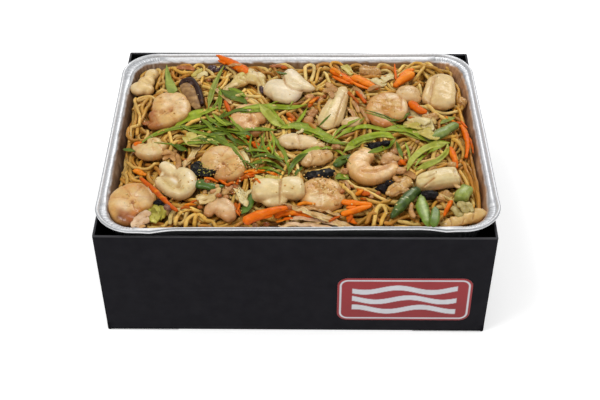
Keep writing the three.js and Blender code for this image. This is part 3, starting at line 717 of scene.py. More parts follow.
LIFT = 0.6
DULL = np.array([0.955, 0.91, 0.77])
CARROT_HUE = np.array([1.0, 1.14, 0.85])
TOPPED = []          # (vertices, object) of everything that lies on the heap


def lobe(zc, pts, sides=14, blunt=0.2, step=1.6, square=0.0):
    p = np.array(pts, float)
    path = np.array([at(x, y, zc + dz) for x, y, dz in p[:, :3]])
    rows_ = spline(np.column_stack([path, p[:, 3:5]]), step=step)
    e = ended(len(rows_), blunt)
    return tube(rows_[:, :3], rows_[:, 3] * e, rows_[:, 4] * e, sides, square)


def blob(zc, x, y, dz, rx, ry, rz, deg=0.0, rings=15, sides=18):
    """A plump rounded body centred where the camera sees (x, y)."""
    m = at(x, y, zc + dz)
    t = np.cos(np.linspace(math.pi, 0, rings))[:, None]
    w_ = np.sqrt(np.clip(1 - t ** 2, 0.0, 1))
    a = np.linspace(0, 2 * np.pi, sides, endpoint=False)
    v = np.stack([np.broadcast_to(t * rx, (rings, sides)), w_ * ry * np.cos(a), w_ * rz * np.sin(a)], -1)[1:-1].reshape(-1, 3)
    f = [list(q) for q in grid_faces(rings - 2, sides)]
    n = (rings - 2) * sides
    v = np.vstack([v, [[-rx, 0, 0], [rx, 0, 0]]])
    for k in range(sides):
        f.append([(k + 1) % sides, k, n])
        f.append([(rings - 3) * sides + k, (rings - 3) * sides + (k + 1) % sides, n + 1])
    return v @ rot_z(math.radians(deg)).T + m, f


def hollows(v, n, f, passes=5):
    """Above 0 in creases and below 0 on ridges, in mm."""
    q = np.array(f)
    k = q.shape[1]
    a = np.concatenate([q[:, i] for i in range(k)])
    b = np.concatenate([q[:, (i + 1) % k] for i in range(k)])
    deg = np.bincount(a, minlength=len(v)) + np.bincount(b, minlength=len(v))
    w_ = v.copy()
    for _ in range(passes):
        acc = np.stack([np.bincount(a, w_[b, i], minlength=len(v)) + np.bincount(b, w_[a, i], minlength=len(v)) for i in range(3)], -1)
        w_ = 0.2 * w_ + 0.8 * acc / np.maximum(deg, 1)[:, None]
    h = ((w_ - v) * n).sum(1)
    return h - np.median(h)


def shade_food(v, n, base, low, brown, zc, half, seed, brown_amount=0.35, hollow=None):
    """Cream on the crown, darker and warmer below as painted shade, with toasted patches."""
    t = smooth01(-0.2, 1.0, (zc - v[:, 2]) / half)
    base = base * DULL
    c = mix(np.tile(base, (len(v), 1)), low, 0.85 * t)
    # sauce clings to the sloping sides, and they get painted shade: darker where the surface faces sideways
    sauce_and_side_shade = 1 - smooth01(0.30, 0.92, n[:, 2])
    c = mix(c, mix(base, brown, 0.62), 0.62 * sauce_and_side_shade * (0.75 + 0.5 * smooth01(-0.5, 0.5, fbm(v, 7, seed + 41))))
    c = c * (1 + 0.06 * vnoise(v, 11, seed + 43))[:, None]
    patch = smooth01(0.15, 0.75, fbm(v, 6.5, seed))
    c = mix(c, brown, brown_amount * patch)
    fine = fbm(v, 1.8, seed + 5)
    c = c * (1 + 0.07 * fine)[:, None]
    if hollow is not None:
        # painted shade in the creases and a painted highlight on the ridges
        c = mix(c, brown * 0.8, 0.85 * smooth01(0.02, 0.42, hollow + 0.05 * fine))
        c = mix(c, base * 1.10, 0.5 * smooth01(0.05, 0.4, -hollow))
    return c


def strokes_on(c, q, v, strokes, seed=0):
    """Soft strokes of colour: (points, width, colour, amount) in frame units; among them painted highlights and painted
    shade.
    """
    for k, (pts, width, rgb, amount) in enumerate(strokes):
        if len(pts) == 1:
            d = np.hypot(q[:, 0] - pts[0][0], q[:, 1] - pts[0][1])
        else:
            d, _ = line_dist(q, pts)
        g = np.exp(-(d / width) ** 2) * (0.8 + 0.3 * vnoise(v, 2.6, seed + 7 * k))
        c = mix(c, srgb(*rgb), np.clip(amount * g, 0, 1))
    return c


def add_top(o, v):
    TOPPED.append((v, o))
    return o


# the second colour is the painted shade on the lower sides of the pale pieces
CREAM, CREAM_SHADED, TOAST = srgb(222, 202, 154), srgb(158, 112, 54), srgb(184, 126, 56)


def squid(node, lobes, creases=(), voxel=0.75, relax=8, lumps=0.8, seed=0, zshift=LIFT, brown=0.3, base=CREAM, square=0.0, browned=(), blunt=0.2, strokes=(), ridges=0.55, flat=0.8):
    zc, z0, z1 = node_z(node)
    zc += zshift
    half = (z1 - z0) / 2
    sq = square if isinstance(square, (list, tuple)) else [square] * len(lobes)
    lobes = [L[:6] + (L[6] * flat,) + L[7:] if L[0] == "blob" else [tuple(q_[:4]) + (q_[4] * flat,) for q_ in L] for L in lobes]
    v, f = stack([blob(zc, *L[1:]) if L[0] == "blob" else lobe(zc, L, square=k, blunt=blunt) for L, k in zip(lobes, sq)])
    v, n, f = remeshed(node + "_skin", v, f, voxel, relax)
    q = project(v)
    up = smooth01(-0.1, 0.5, n[:, 2])
    d = lumps * (fbm(v, 9, seed + 3) + 0.35 * fbm(v, 3.2, seed + 8, 2))
    dark = np.zeros(len(v))
    for pts, depth, width in creases:
        dist, _ = line_dist(q, pts)
        g = np.exp(-(dist / width) ** 2)
        d -= depth * g * up
        dark = np.maximum(dark, g * up)
    rid = 1 - np.abs(vnoise(v * np.array([1, 1, 1.6]), 6.5, seed + 61))
    d -= ridges * np.clip(rid - 0.86, 0, 1) / 0.14 * smooth01(-0.2, 0.5, vnoise(v, 14, seed + 71))
    v = v + n * d[:, None]
    c = shade_food(v, n, base, CREAM_SHADED, TOAST, zc, half, seed, brown, hollows(v, n, f))
    # painted shade in the creases
    c = mix(c, srgb(170, 118, 58), 0.34 * dark * smooth01(-0.6, 0.4, fbm(v, 4, seed + 81)))
    for (x, y, r, k) in browned:
        g = np.exp(-(((q[:, 0] - x) ** 2 + (q[:, 1] - y) ** 2) / r ** 2)) * smooth01(-0.3, 0.6, fbm(v, 3, seed + 31) + 0.4)
        c = mix(c, srgb(190, 124, 56), k * g)
    c = strokes_on(c, q, v, strokes, seed)
    return add_top(finish_piece(mesh_object(node + "_piece", v, f, colour=c), M_SQUID, "squid", node), v)


def prawn(node, pts, dimple=None, segments=6, tail=0.22, seed=0, voxel=0.7, relax=5, zshift=LIFT, extra=(), creases=(), pale=0.0, orange_at=(), fan=True, fill=(8, 5.6), square=0.7, strokes=(), flat=0.84, tone=None):
    """A peeled prawn lying on its side. pts run tail to head."""
    zc, z0, z1 = node_z(node)
    zc += zshift
    half = (z1 - z0) / 2
    p = np.array(pts, float)
    p[:, 4] *= flat
    path = np.array([at(x, y, zc + dz) for x, y, dz in p[:, :3]])
    rows_ = spline(np.column_stack([path, p[:, 3:5]]), step=1.2)
    n_ = len(rows_)
    e = ended(n_, 0.1)
    a = tube(rows_[:, :3], rows_[:, 3] * e, rows_[:, 4] * e, 20, square)
    parts = [a]
    if fan:
        # two thin tail blades
        d = rows_[0, :3] - rows_[min(5, n_ - 1), :3]
        d /= max(np.linalg.norm(d), 1e-6)
        side_ = np.array([-d[1], d[0], 0])
        for k in (-1, 1):
            tip = rows_[0, :3] + d * 5.5 + side_ * k * 2.6 + np.array([0, 0, 0.4 * k])
            pp = np.linspace(rows_[1, :3], tip, 7)
            w_ = np.array([1.4, 1.9, 2.5, 2.8, 2.7, 2.0, 0.7])
            parts.append(tube(pp, w_, np.full(7, 0.85), 8))
    parts += [lobe(zc, L) for L in extra]
    if dimple is not None and fill:
        m = at(dimple[0], dimple[1], zc - 0.6)
        tt = np.linspace(-1, 1, 13)
        parts.append(tube(m + np.outer(tt * fill[0], [1, 0, 0]), fill[0] * np.sqrt(np.clip(1 - tt ** 2, 0.002, 1)), fill[1] * np.sqrt(np.clip(1 - tt ** 2, 0.002, 1)), 14))
    v, f = stack(parts)
    v, n, f = remeshed(node + "_skin", v, f, voxel, relax)
    # place along the body
    P = rows_[:, :3]
    idx = np.zeros(len(v), int)
    dist = np.full(len(v), 1e9)
    for s0 in range(0, len(v), 4000):
        dd = ((v[s0:s0 + 4000, None] - P[None]) ** 2).sum(-1)
        idx[s0:s0 + 4000] = dd.argmin(1)
        dist[s0:s0 + 4000] = np.sqrt(dd.min(1))
    u = idx / (n_ - 1)
    seg = (u - tail * 0.6) / (1 - tail * 0.6) * segments
    fr = seg - np.floor(seg)
    groove = np.exp(-(np.minimum(fr, 1 - fr) / 0.10) ** 2) * (u > tail * 0.6) * (u < 0.97)
    q = project(v)
    up = smooth01(-0.2, 0.5, n[:, 2])
    d = 0.35 * fbm(v, 8, seed + 3) + 0.22 * fbm(v, 2.6, seed + 8, 2) - 0.40 * groove
    dark = np.zeros(len(v))
    for pts_, depth, width in creases:
        dl, _ = line_dist(q, pts_)
        g = np.exp(-(dl / width) ** 2) * up
        d -= depth * g
        dark = np.maximum(dark, g)
    if dimple is not None:
        r2 = (q[:, 0] - dimple[0]) ** 2 + ((q[:, 1] - dimple[1]) * 1.3) ** 2
        g = np.exp(-r2 / 6.0) * up
        d -= 1.6 * g
        dark = np.maximum(dark, 0.9 * g)
    v = v + n * d[:, None]
    base = mix(srgb(220, 182, 124)[None], srgb(222, 198, 148), pale)[0] if tone is None else srgb(*tone)
    c = shade_food(v, n, base, srgb(168, 106, 48), srgb(192, 120, 52), zc, half, seed, 0.42, hollows(v, n, f))
    band = 0.5 + 0.5 * np.cos(seg * 2 * np.pi)
    c = mix(c, srgb(204, 136, 70), 0.42 * band * (u > tail * 0.5) * smooth01(-0.5, 0.5, vnoise(v, 4, seed + 9) + 0.2))
    tailm = 1 - smooth01(tail * 0.5, tail, u + 0.03 * vnoise(v, 3, seed))
    c = mix(c, srgb(176, 112, 54), 0.5 * tailm)
    # painted shade in the segment grooves, the creases and the dimple
    c = mix(c, srgb(182, 126, 72), 0.22 * groove * up)
    c = mix(c, srgb(174, 112, 54), 0.54 * dark)
    for (x, y, r, k) in orange_at:
        g = np.exp(-(((q[:, 0] - x) ** 2 + (q[:, 1] - y) ** 2) / r ** 2)) * smooth01(-0.5, 0.5, fbm(v, 3, seed + 31) + 0.35)
        c = mix(c, srgb(200, 116, 52), k * g)
    c = strokes_on(c, q, v, strokes, seed)
    return add_top(finish_piece(mesh_object(node + "_piece", v, f, colour=c), M_PRAWN, "prawn", node), v)


# stroke colours: the first is a pale painted highlight, the third is painted shade for the prawns' centre dimples
PALE_HIGHLIGHT, TANNED, DIMPLE_SHADE, RUST, GOLD = (238, 214, 174), (190, 140, 76), (146, 86, 36), (196, 124, 58), (208, 150, 62)


def build_prawns():
    # the strokes paint toasted marks, painted highlights on the upper rims and painted shade along the lower edges and
    # creases
    prawn("prawn_1", [(148, 124, -3.4, 3.0, 2.2), (153, 126, -2.2, 4.4, 3.6), (161, 123.5, -0.8, 7.4, 5.6), (170, 119.5, 0, 8.8, 6.6), (178.5, 115, 0.2, 9.2, 7), (181, 108.5, 0.4, 9.4, 7.2), (178, 102, 0.6, 9.4, 7.2), (170, 100, 0.6, 9.4, 7), (163.5, 103.5, 0.4, 9.2, 6.8), (162, 110, 0, 8.8, 6.4), (165, 115, -0.4, 8, 6)],
          dimple=(171, 110), seed=1, fill=(11, 6.0), extra=[[(153, 113, -1.6, 4.6, 3.6), (156, 118, -1.2, 6.2, 4.8), (161, 121, -0.6, 7, 5.4)], [(158, 110, -0.8, 6, 5), (164, 114, -0.4, 7.4, 5.8)]], creases=[([(171, 110), (166, 113)], 0.4, 1.0)],
          strokes=[([(144, 124), (149, 119), (152, 113)], 5.4, (166, 92, 42), 0.95), ([(152, 125), (158, 127)], 3.4, (170, 98, 46), 0.7), ([(146, 126), (154, 128), (162, 128)], 3.4, (150, 88, 38), 0.6), ([(150, 124), (157, 125)], 3, (176, 106, 52), 0.6), ([(166, 103), (172, 101)], 3, (238, 206, 160), 0.4), ([(171, 108)], 3.4, (206, 134, 62), 0.55), ([(165, 97), (175, 97), (183, 103), (185, 110)], 3.4, PALE_HIGHLIGHT, 0.7), ([(176, 106), (179, 112)], 3.2, PALE_HIGHLIGHT, 0.5), ([(164, 107), (170, 104)], 3, PALE_HIGHLIGHT, 0.5), ([(171, 110)], 1.6, DIMPLE_SHADE, 0.75), ([(183, 117), (175, 124), (166, 127)], 2.6, TANNED, 0.45)])
    prawn("prawn_2", [(140, 222, -4.5, 4, 3.2), (133, 220.5, -3.2, 7, 5), (124, 217, -2.0, 8.6, 6.2), (119.5, 208.5, -0.8, 9.2, 6.8), (121, 199.5, 0.6, 9.4, 7), (128, 194, 1.4, 9.4, 7), (137.5, 192.5, 1.8, 9.4, 7), (145, 197, 1.2, 9.2, 6.8), (143.5, 204.5, 0.2, 8.8, 6.4), (136.5, 208.5, -0.8, 8, 6)],
          dimple=(132.5, 202), seed=2, fill=(13, 6.2), extra=[[(128, 210, -1.4, 8, 6), (133, 215, -2.6, 8, 5.4), (137, 219, -3.6, 6, 4.6)]], fan=False,
          strokes=[([(121, 211), (129, 216), (138, 216)], 4.6, (150, 82, 32), 0.9), ([(120, 216), (127, 222), (137, 225)], 5.4, (124, 60, 22), 0.95), ([(124, 214), (131, 220)], 3.0, (166, 84, 36), 0.7), ([(134, 212), (146, 208)], 2.6, (186, 118, 52), 0.6), ([(133, 213), (141, 211)], 2.4, (206, 120, 50), 0.6), ([(127, 186), (136, 185), (144, 187)], 1.8, (216, 140, 74), 0.5), ([(119, 203), (126, 206)], 5, PALE_HIGHLIGHT, 0.65), ([(137, 194), (146, 199)], 5, PALE_HIGHLIGHT, 0.5), ([(113, 207), (114, 215)], 2.6, GOLD, 0.5), ([(132.5, 202)], 1.6, (150, 92, 44), 0.8), ([(123, 197)], 1.5, TANNED, 0.6), ([(148, 206), (141, 212)], 2.0, GOLD, 0.5)], creases=[([(132.5, 202), (134, 207), (137, 211)], 0.4, 1.0)])
    prawn("prawn_3", [(214, 175, -3.0, 5, 4), (221, 175.5, -1.6, 7, 5.4), (229, 174.5, -0.6, 8.4, 6), (236, 170, 0, 9, 6.6), (234.5, 161.5, 0.4, 9.2, 6.8), (227, 155.5, 0.6, 9.2, 6.8), (217.5, 155, 0.6, 9.2, 6.8), (211.5, 160.5, 0.2, 9, 6.6), (212, 168, -0.4, 8.4, 6.2), (218, 172, -0.8, 7.4, 5.6)],
          dimple=(223.5, 163), seed=3, fill=(12, 6.0), creases=[([(223, 163), (228, 167), (232, 173)], 0.4, 1.0)], fan=False,
          strokes=[([(213, 177), (221, 180), (230, 178)], 2.4, (204, 142, 74), 0.4), ([(206, 158), (208, 167)], 3, TANNED, 0.5), ([(214, 152), (222, 150), (230, 153)], 2.6, PALE_HIGHLIGHT, 0.55), ([(217, 160), (218, 167)], 3, PALE_HIGHLIGHT, 0.45), ([(223.5, 163)], 1.8, DIMPLE_SHADE, 0.6), ([(229, 159), (233, 166)], 2.4, TANNED, 0.5)])
    prawn("prawn_4", [(262, 131, -3.0, 4, 3.2), (254, 131.5, -1.8, 6.4, 4.8), (246, 129, -1.0, 8, 5.6), (240.5, 123.5, 0, 8.4, 6), (240, 116.5, 0.4, 8.4, 6.2), (245.5, 112, 0.6, 8.4, 6.2), (254, 111.5, 0.5, 8.2, 6), (259, 116.5, 0, 7.8, 5.8), (257, 122.5, -0.6, 7, 5.2)],
          dimple=(250.5, 119.5), seed=4, fill=(10, 5.2), extra=[[(253, 126, -1.4, 6, 4.8), (258, 128, -2, 5.4, 4.4)]], creases=[([(250.5, 112), (251, 119)], 0.7, 1.0)], fan=False, tone=(226, 186, 136),
          strokes=[([(240, 129), (248, 133), (258, 133)], 3.8, (146, 92, 44), 0.65), ([(245, 110), (253, 109)], 3, PALE_HIGHLIGHT, 0.55), ([(238, 117), (240, 123)], 3, (226, 182, 140), 0.5), ([(250.5, 119.5)], 1.8, (170, 104, 56), 0.7), ([(259, 114), (262, 121)], 2.6, RUST, 0.35)])
    prawn("prawn_5", [(397, 125.5, -2.8, 3.0, 2.6), (391, 124.5, -1.9, 4.6, 4.0), (383, 122.5, -1.3, 6.2, 4.8), (376.5, 117.5, -0.4, 7.6, 5.8), (375.5, 110, 0.3, 8.6, 6.6), (379.5, 103.5, 0.8, 9.0, 7.0), (387.5, 101, 1.0, 9.2, 7.2), (395.5, 103, 0.8, 9.0, 7.0), (398.5, 109, 0.4, 8.8, 6.8), (396, 115, -0.2, 9, 6.4), (389, 117.5, -0.6, 8, 6)],
          dimple=(386.5, 108.5), seed=5, fill=(12, 6.2), creases=[([(401, 94), (402.5, 102), (401, 110)], 0.5, 0.9)], fan=False,
          strokes=[([(392, 126), (384, 124), (376, 121), (369, 117)], 4.2, (196, 108, 44), 0.85), ([(378, 119), (386, 121)], 1.6, (228, 160, 104), 0.5), ([(368, 106), (371, 99), (378, 93)], 3, (200, 136, 62), 0.6), ([(367, 109), (369, 117)], 3, (204, 132, 74), 0.6), ([(385, 92), (395, 92)], 2.2, (204, 140, 70), 0.45), ([(376, 99), (381, 104), (384, 109)], 1.5, (190, 130, 40), 0.85), ([(380, 97), (386, 103)], 1.2, (190, 126, 36), 0.75), ([(383, 108), (388, 109), (392, 107)], 2.6, (196, 132, 50), 0.8), ([(399, 96), (401, 104)], 1.4, (188, 126, 40), 0.7), ([(374, 104), (380, 110)], 1.2, TANNED, 0.6), ([(388, 95), (395, 96)], 2.6, PALE_HIGHLIGHT, 0.7), ([(404, 103), (406, 110)], 2.4, PALE_HIGHLIGHT, 0.7), ([(377, 114), (384, 118)], 3.2, (232, 196, 160), 0.6), ([(392, 112), (396, 117)], 2.4, (206, 140, 60), 0.45)])
    prawn("prawn_6", [(397, 163.5, -2, 3.2, 2.8), (391.5, 169, -1.0, 6.2, 5), (383, 173.5, -0.2, 8.6, 6.4), (372.5, 176, 0.2, 9.6, 7.2), (362.5, 173.5, 0.5, 10.2, 7.6), (358, 166.5, 0.6, 10, 7.6), (361, 159.5, 0.5, 9.2, 7.2), (367, 155, 0.1, 7.6, 6.2), (372.5, 152, -0.6, 5, 4.4)],
          seed=6, tail=0.1, tone=(234, 194, 140), creases=[([(362, 170.5), (371, 171.5), (381, 169), (390, 164.5)], 0.8, 1.5)], fan=False, fill=None,
          strokes=[([(363, 171), (372, 172), (382, 169), (390, 165)], 2.8, (206, 146, 78), 0.55), ([(351, 172), (355, 179), (363, 185)], 3, GOLD, 0.55), ([(368, 184), (378, 186)], 3, (214, 158, 84), 0.5), ([(357, 160), (363, 155), (369, 152)], 2.8, PALE_HIGHLIGHT, 0.7), ([(376, 176), (385, 173), (392, 168)], 2.8, PALE_HIGHLIGHT, 0.55), ([(366, 165), (372, 160)], 2.4, (206, 156, 92), 0.6), ([(354, 166), (356, 172)], 3, (228, 196, 146), 0.5)])
    prawn("prawn_7", [(342, 194, -1.8, 3.6, 3.2), (339, 198, -1, 6.0, 5), (333, 201.5, -0.2, 8.6, 6.4), (322, 204, 0, 9.2, 6.8), (312.5, 200.5, 0.2, 9.4, 7), (310, 193.5, 0.5, 9.4, 7.2), (315, 188.5, 0.8, 9.4, 7.2), (325, 187.5, 0.8, 9.2, 7.2), (331.5, 191.5, 0.4, 9, 7), (326.5, 196, 0.2, 9, 6.8), (318, 195.5, 0, 9, 6.8)],
          seed=7, pale=0.2, tail=0.1, creases=[([(311, 196), (322, 193), (334, 196)], 0.4, 1.0), ([(321, 199), (321, 207)], 0.3, 0.8)], segments=7, fan=False, fill=(12, 6),
          strokes=[([(341, 193), (337, 200)], 3, (190, 132, 70), 0.5), ([(302, 193), (306, 202), (315, 208), (326, 208)], 3.4, (182, 118, 52), 0.65), ([(303, 192), (309, 187), (316, 184)], 2.6, (170, 104, 44), 0.6), ([(312, 187), (322, 183), (332, 186)], 4, (206, 150, 78), 0.6), ([(313, 197), (324, 200)], 5, (236, 212, 164), 0.45), ([(310, 199), (318, 202)], 3, PALE_HIGHLIGHT, 0.6), ([(322, 195), (323, 204)], 1.2, PALE_HIGHLIGHT, 0.7), ([(327, 203), (336, 199)], 2.6, (214, 158, 92), 0.5), ([(318, 208), (328, 206)], 2.2, TANNED, 0.5)])
    prawn("prawn_8", [(136.5, 144.5, -1.4, 4.4, 3.6), (141, 149.5, -0.4, 7.4, 5.4), (147.5, 152, 0, 9.4, 6.4), (155, 151.5, 0.2, 9.8, 6.6), (162, 149.5, 0, 8.4, 6), (166.5, 151, -1, 5, 4)],
          seed=8, pale=0.8, segments=5, fan=False, fill=None, extra=[[(146, 145, -0.6, 6, 5), (155, 144, -0.2, 7, 5), (162, 144.5, -0.6, 5, 4)]],
          strokes=[([(136, 144), (138, 148)], 2, (206, 130, 66), 0.6), ([(140, 155), (148, 160)], 2.6, (196, 156, 96), 0.5), ([(146, 150), (154, 153)], 3.2, PALE_HIGHLIGHT, 0.6), ([(158, 157), (165, 154)], 2.6, (190, 144, 84), 0.45), ([(150, 144), (160, 142)], 3, (222, 204, 140), 0.5)])
    prawn("prawn_9", [(208, 217, -2, 3.6, 3.0), (209.5, 211, -0.8, 5, 3.8), (214, 206.5, 0, 6.6, 4.6), (220.5, 205, 0.3, 7.6, 5.2), (226.5, 209, 0.2, 7.8, 5.2), (228.5, 216, -0.4, 6.8, 4.6), (228, 222, -2, 5, 4)],
          seed=9, pale=0.3, segments=1, fan=False, fill=None, tail=0.12, tone=(214, 178, 138), extra=[[(219, 211, -1.4, 5, 3.6), (224, 215, -1.2, 5, 3.6)]],
          strokes=[([(215, 219)], 2.4, (110, 66, 36), 0.7), ([(219, 205), (227, 208)], 2.4, (236, 210, 176), 0.6), ([(208, 213), (211, 209)], 2, TANNED, 0.4), ([(231, 214), (231, 221)], 1.8, (186, 138, 92), 0.5)])


def build_squid():
    # the strokes paint toasted marks, painted highlights on the tops and painted shade along the lower edges and
    # creases
    squid("squid_1", [("blob", 151.8, 75.5, 1.6, 6.6, 8.2, 6.6, -20), ("blob", 140, 88.6, 0.2, 9.4, 8.8, 6.8, 10), ("blob", 146.5, 82.5, 0.8, 8.0, 8.6, 6.5, 0), ("blob", 148.5, 90.5, -1, 5.4, 6.6, 5.4, 0)],
          creases=[([(142, 76), (146, 79), (150, 82)], 0.5, 1.6)], seed=11, brown=0.1, relax=10, lumps=0.5, ridges=0.12, base=srgb(228, 202, 152),
          strokes=[([(158, 70), (160, 77), (157, 85), (152, 92)], 2.6, (178, 128, 70), 0.6), ([(148, 68), (154, 68)], 3, PALE_HIGHLIGHT, 0.5), ([(143, 76), (139, 84), (136, 92)], 1.6, (196, 150, 92), 0.4), ([(134, 88), (140, 92)], 4, PALE_HIGHLIGHT, 0.5), ([(129, 91), (131, 97)], 2.4, (160, 108, 56), 0.65), ([(139, 100), (150, 99)], 2.2, (120, 76, 36), 0.7), ([(149, 88), (151, 95)], 2.4, (206, 166, 108), 0.4)])
    squid("squid_2", [("blob", 255, 78, 1, 10.5, 9, 6, 0), [(248, 80, 0.5, 7, 5), (238, 83, 0, 6, 4.5), (229, 88, -0.5, 4.6, 3.6), (221, 92, -1, 3.2, 2.6)],
                      [(260, 80, 0, 5.5, 5), (262, 87, -1, 4, 4), (259, 96, -2, 3, 3)], ("blob", 247, 73, 1, 7, 5.5, 4.4, 0), ("blob", 238, 78, 0.4, 5, 4, 3.4, 0), [(232, 84, 0.6, 3, 2.4), (240, 76, 1.6, 3.4, 2.6), (246, 72, 2, 3, 2.4)]],
          creases=[([(240, 78), (247, 82), (250, 88)], 0.8, 1.2), ([(257, 70), (258, 78), (262, 86)], 0.6, 1.2), ([(230, 84), (240, 84)], 0.5, 1.1)], seed=12, brown=0.3, lumps=1.2, base=srgb(218, 196, 136), relax=6,
          strokes=[([(242, 74), (246, 68)], 3, (206, 204, 110), 0.6), ([(232, 87), (240, 90)], 3, (190, 136, 66), 0.5), ([(252, 72), (260, 75)], 3, PALE_HIGHLIGHT, 0.6), ([(244, 84), (252, 87)], 3, (200, 152, 84), 0.5), ([(259, 92), (260, 98)], 2, (214, 180, 120), 0.5)])
    squid("squid_3", [[(263, 93.5, -1, 6, 4.6), (267, 92, -0.2, 10.5, 6), (273, 90.5, 0.8, 14.5, 7.4), (282, 91, 1.4, 17, 8.2), (292, 94, 1.0, 15.5, 8), (301, 97.5, -0.4, 11.6, 6.4)], [(289.5, 69.5, 3.4, 4.6, 4.2), (290.5, 74.5, 3.8, 7.6, 5), (293.5, 80, 3.4, 9.6, 5.2), (301, 85, 2.0, 8.2, 4.8), (309, 88, 0.8, 6, 4.2), (316, 89, 0, 4, 3.2)], ("blob", 276, 86, 1.4, 10, 9, 6.4, 0)],
          creases=[([(283, 76), (285.5, 83), (291.5, 88), (300, 90.5), (308, 93)], 1.1, 1.3)], seed=13, brown=0.03, base=srgb(232, 214, 180), lumps=0.5, relax=10, ridges=0.05,
          strokes=[([(284, 78), (286.5, 85), (293, 89), (302, 91.5)], 1.4, (200, 160, 110), 0.5), ([(266, 98), (280, 103), (298, 105)], 2.2, (208, 174, 120), 0.55), ([(276, 84), (284, 92), (296, 97)], 6, (242, 226, 204), 0.55), ([(289, 69), (294, 75)], 3.4, (242, 228, 206), 0.6), ([(263, 93), (266, 97)], 2, (190, 148, 92), 0.5), ([(311, 86), (317, 90)], 2, (214, 182, 132), 0.5), ([(302, 100), (307, 104)], 2, (206, 168, 110), 0.5)])
    squid("squid_4", [[(440.5, 75.5, 0.8, 9.4, 5), (442, 83, 1.6, 12, 6.4), (441.5, 92.5, 1.8, 12.8, 7), (440, 102, 1.0, 13.4, 6.6), (440, 109.5, -0.8, 11, 5)],
                      [(434, 78, 1.6, 3.8, 4.2), (430, 86, 2.6, 4.6, 5.2), (427.5, 95, 2.2, 5, 5.2), (424.5, 103.5, 0.2, 5, 4.6)]],
          creases=[([(434.5, 77), (432.5, 86), (431, 94), (428.5, 103)], 1.2, 1.9), ([(426, 103), (434, 108), (444, 111)], 0.5, 1.4)],
          seed=14, brown=0.06, square=[1.0, 0.3], blunt=0.16, relax=8, lumps=0.9, ridges=0.15, base=srgb(228, 200, 150), flat=0.9,
          strokes=[([(423, 100), (429, 106), (437, 110), (446, 111)], 1.6, (176, 124, 66), 0.55), ([(434, 79), (431.5, 89), (429, 100)], 2.6, (198, 152, 92), 0.5), ([(423.5, 88), (421.5, 98)], 2.8, (192, 146, 86), 0.55), ([(434, 108), (446, 113)], 2.4, (182, 120, 64), 0.6), ([(442, 80), (450, 92), (448, 104)], 5, (236, 212, 166), 0.35), ([(428, 90), (426, 100)], 2.2, (234, 210, 162), 0.4), ([(456, 84), (458, 95), (457, 104)], 2, (196, 152, 96), 0.5), ([(440, 77), (440, 90), (438, 104)], 0.9, (206, 168, 114), 0.4), ([(430, 76), (440, 73.5)], 2, (206, 166, 110), 0.5)])
    squid("squid_5", [("blob", 408, 94.5, 0.6, 11.6, 12, 7.4, 0), ("blob", 402.5, 98, 0, 7, 6, 5, 0), ("blob", 414, 99, -0.4, 7, 7, 5, 0)], seed=15, brown=0.25, creases=[([(400, 90), (408, 88), (416, 91)], 0.5, 1.2)], base=srgb(216, 180, 130), ridges=0.3,
          strokes=[([(400, 92), (410, 90)], 3, (230, 206, 164), 0.5), ([(412, 102), (420, 99)], 3, (186, 132, 76), 0.55), ([(404, 97), (414, 96)], 3, (226, 196, 150), 0.4)])
    squid("squid_6", [[(344.5, 87, -0.5, 5.4, 4.2), (340.5, 95, 1, 7.6, 5.4), (335, 106.5, 1.6, 9.6, 6), (329, 119, 1, 10.4, 6), (325, 130, -.5, 9, 4.8)],
                      [(346, 96, -0.8, 2.8, 3.4), (342.5, 106, 0, 4.0, 4), (338.5, 117.5, -0.3, 5.0, 4), (335, 127, -1, 5.0, 3.6)]],
          creases=[([(346, 92), (342, 102), (338.5, 113), (334.5, 125)], 0.7, 1.1), ([(336, 93), (331, 104), (325, 117)], 0.3, 1.0)], seed=16, brown=0.12, relax=9, ridges=0.2, base=srgb(228, 204, 156), lumps=0.9,
          strokes=[([(343, 92), (336, 104), (329, 118)], 2.6, (238, 218, 180), 0.6), ([(346, 93), (342, 103), (338, 114), (334, 125)], 2.6, (196, 150, 90), 0.55), ([(320, 122), (321, 130), (327, 134)], 2.4, (186, 136, 74), 0.55), ([(331, 126), (335, 131)], 2.2, (206, 168, 112), 0.5), ([(336, 96), (329, 108), (324, 118)], 1.2, (214, 206, 140), 0.5)])
    squid("squid_7", [("blob", 291, 141, 0.5, 11, 10, 6.4, 0), ("blob", 303, 142.5, 0.6, 13, 9.4, 6, -4), ("blob", 314, 146, -0.4, 10, 6.6, 4.8, 0)],
          creases=[([(298, 133), (299, 141), (301, 149)], 0.6, 1.4), ([(305, 149), (314, 151)], 0.4, 1)], seed=17, brown=0.1, relax=10, ridges=0.15, base=srgb(228, 202, 160),
          strokes=[([(292.5, 143.5)], 1.2, (120, 74, 40), 0.75), ([(322, 148), (316, 152)], 3, (196, 140, 66), 0.6), ([(300, 137), (312, 142)], 2.8, (238, 216, 176), 0.5), ([(284, 136), (290, 133)], 2.6, (240, 220, 190), 0.5), ([(298, 134), (299, 148)], 1.8, (204, 160, 104), 0.38), ([(308, 147), (318, 146)], 2, (210, 158, 92), 0.5), ([(284, 148), (294, 152)], 2.2, (190, 144, 96), 0.5)])
    squid("squid_8", [("blob", 315.5, 158, 0.4, 12.6, 10, 6.8, 6), ("blob", 307, 161, -1, 6.6, 7.6, 5.4, 0), ("blob", 326, 156.5, 0, 6.4, 7.4, 5.6, 0)], seed=18, brown=0.3, lumps=1.0, ridges=0.35, base=srgb(216, 180, 130),
          creases=[([(311, 152), (313, 159), (310, 166)], 0.7, 1.1), ([(320, 152), (322, 160)], 0.5, 1.0)],
          strokes=[([(324, 152), (328, 160)], 3, (196, 134, 60), 0.65), ([(304, 158), (308, 154)], 2.6, (226, 196, 150), 0.55), ([(305, 166), (316, 168)], 2.4, (186, 124, 66), 0.5), ([(313, 155), (319, 160)], 2.2, (214, 166, 110), 0.5)])
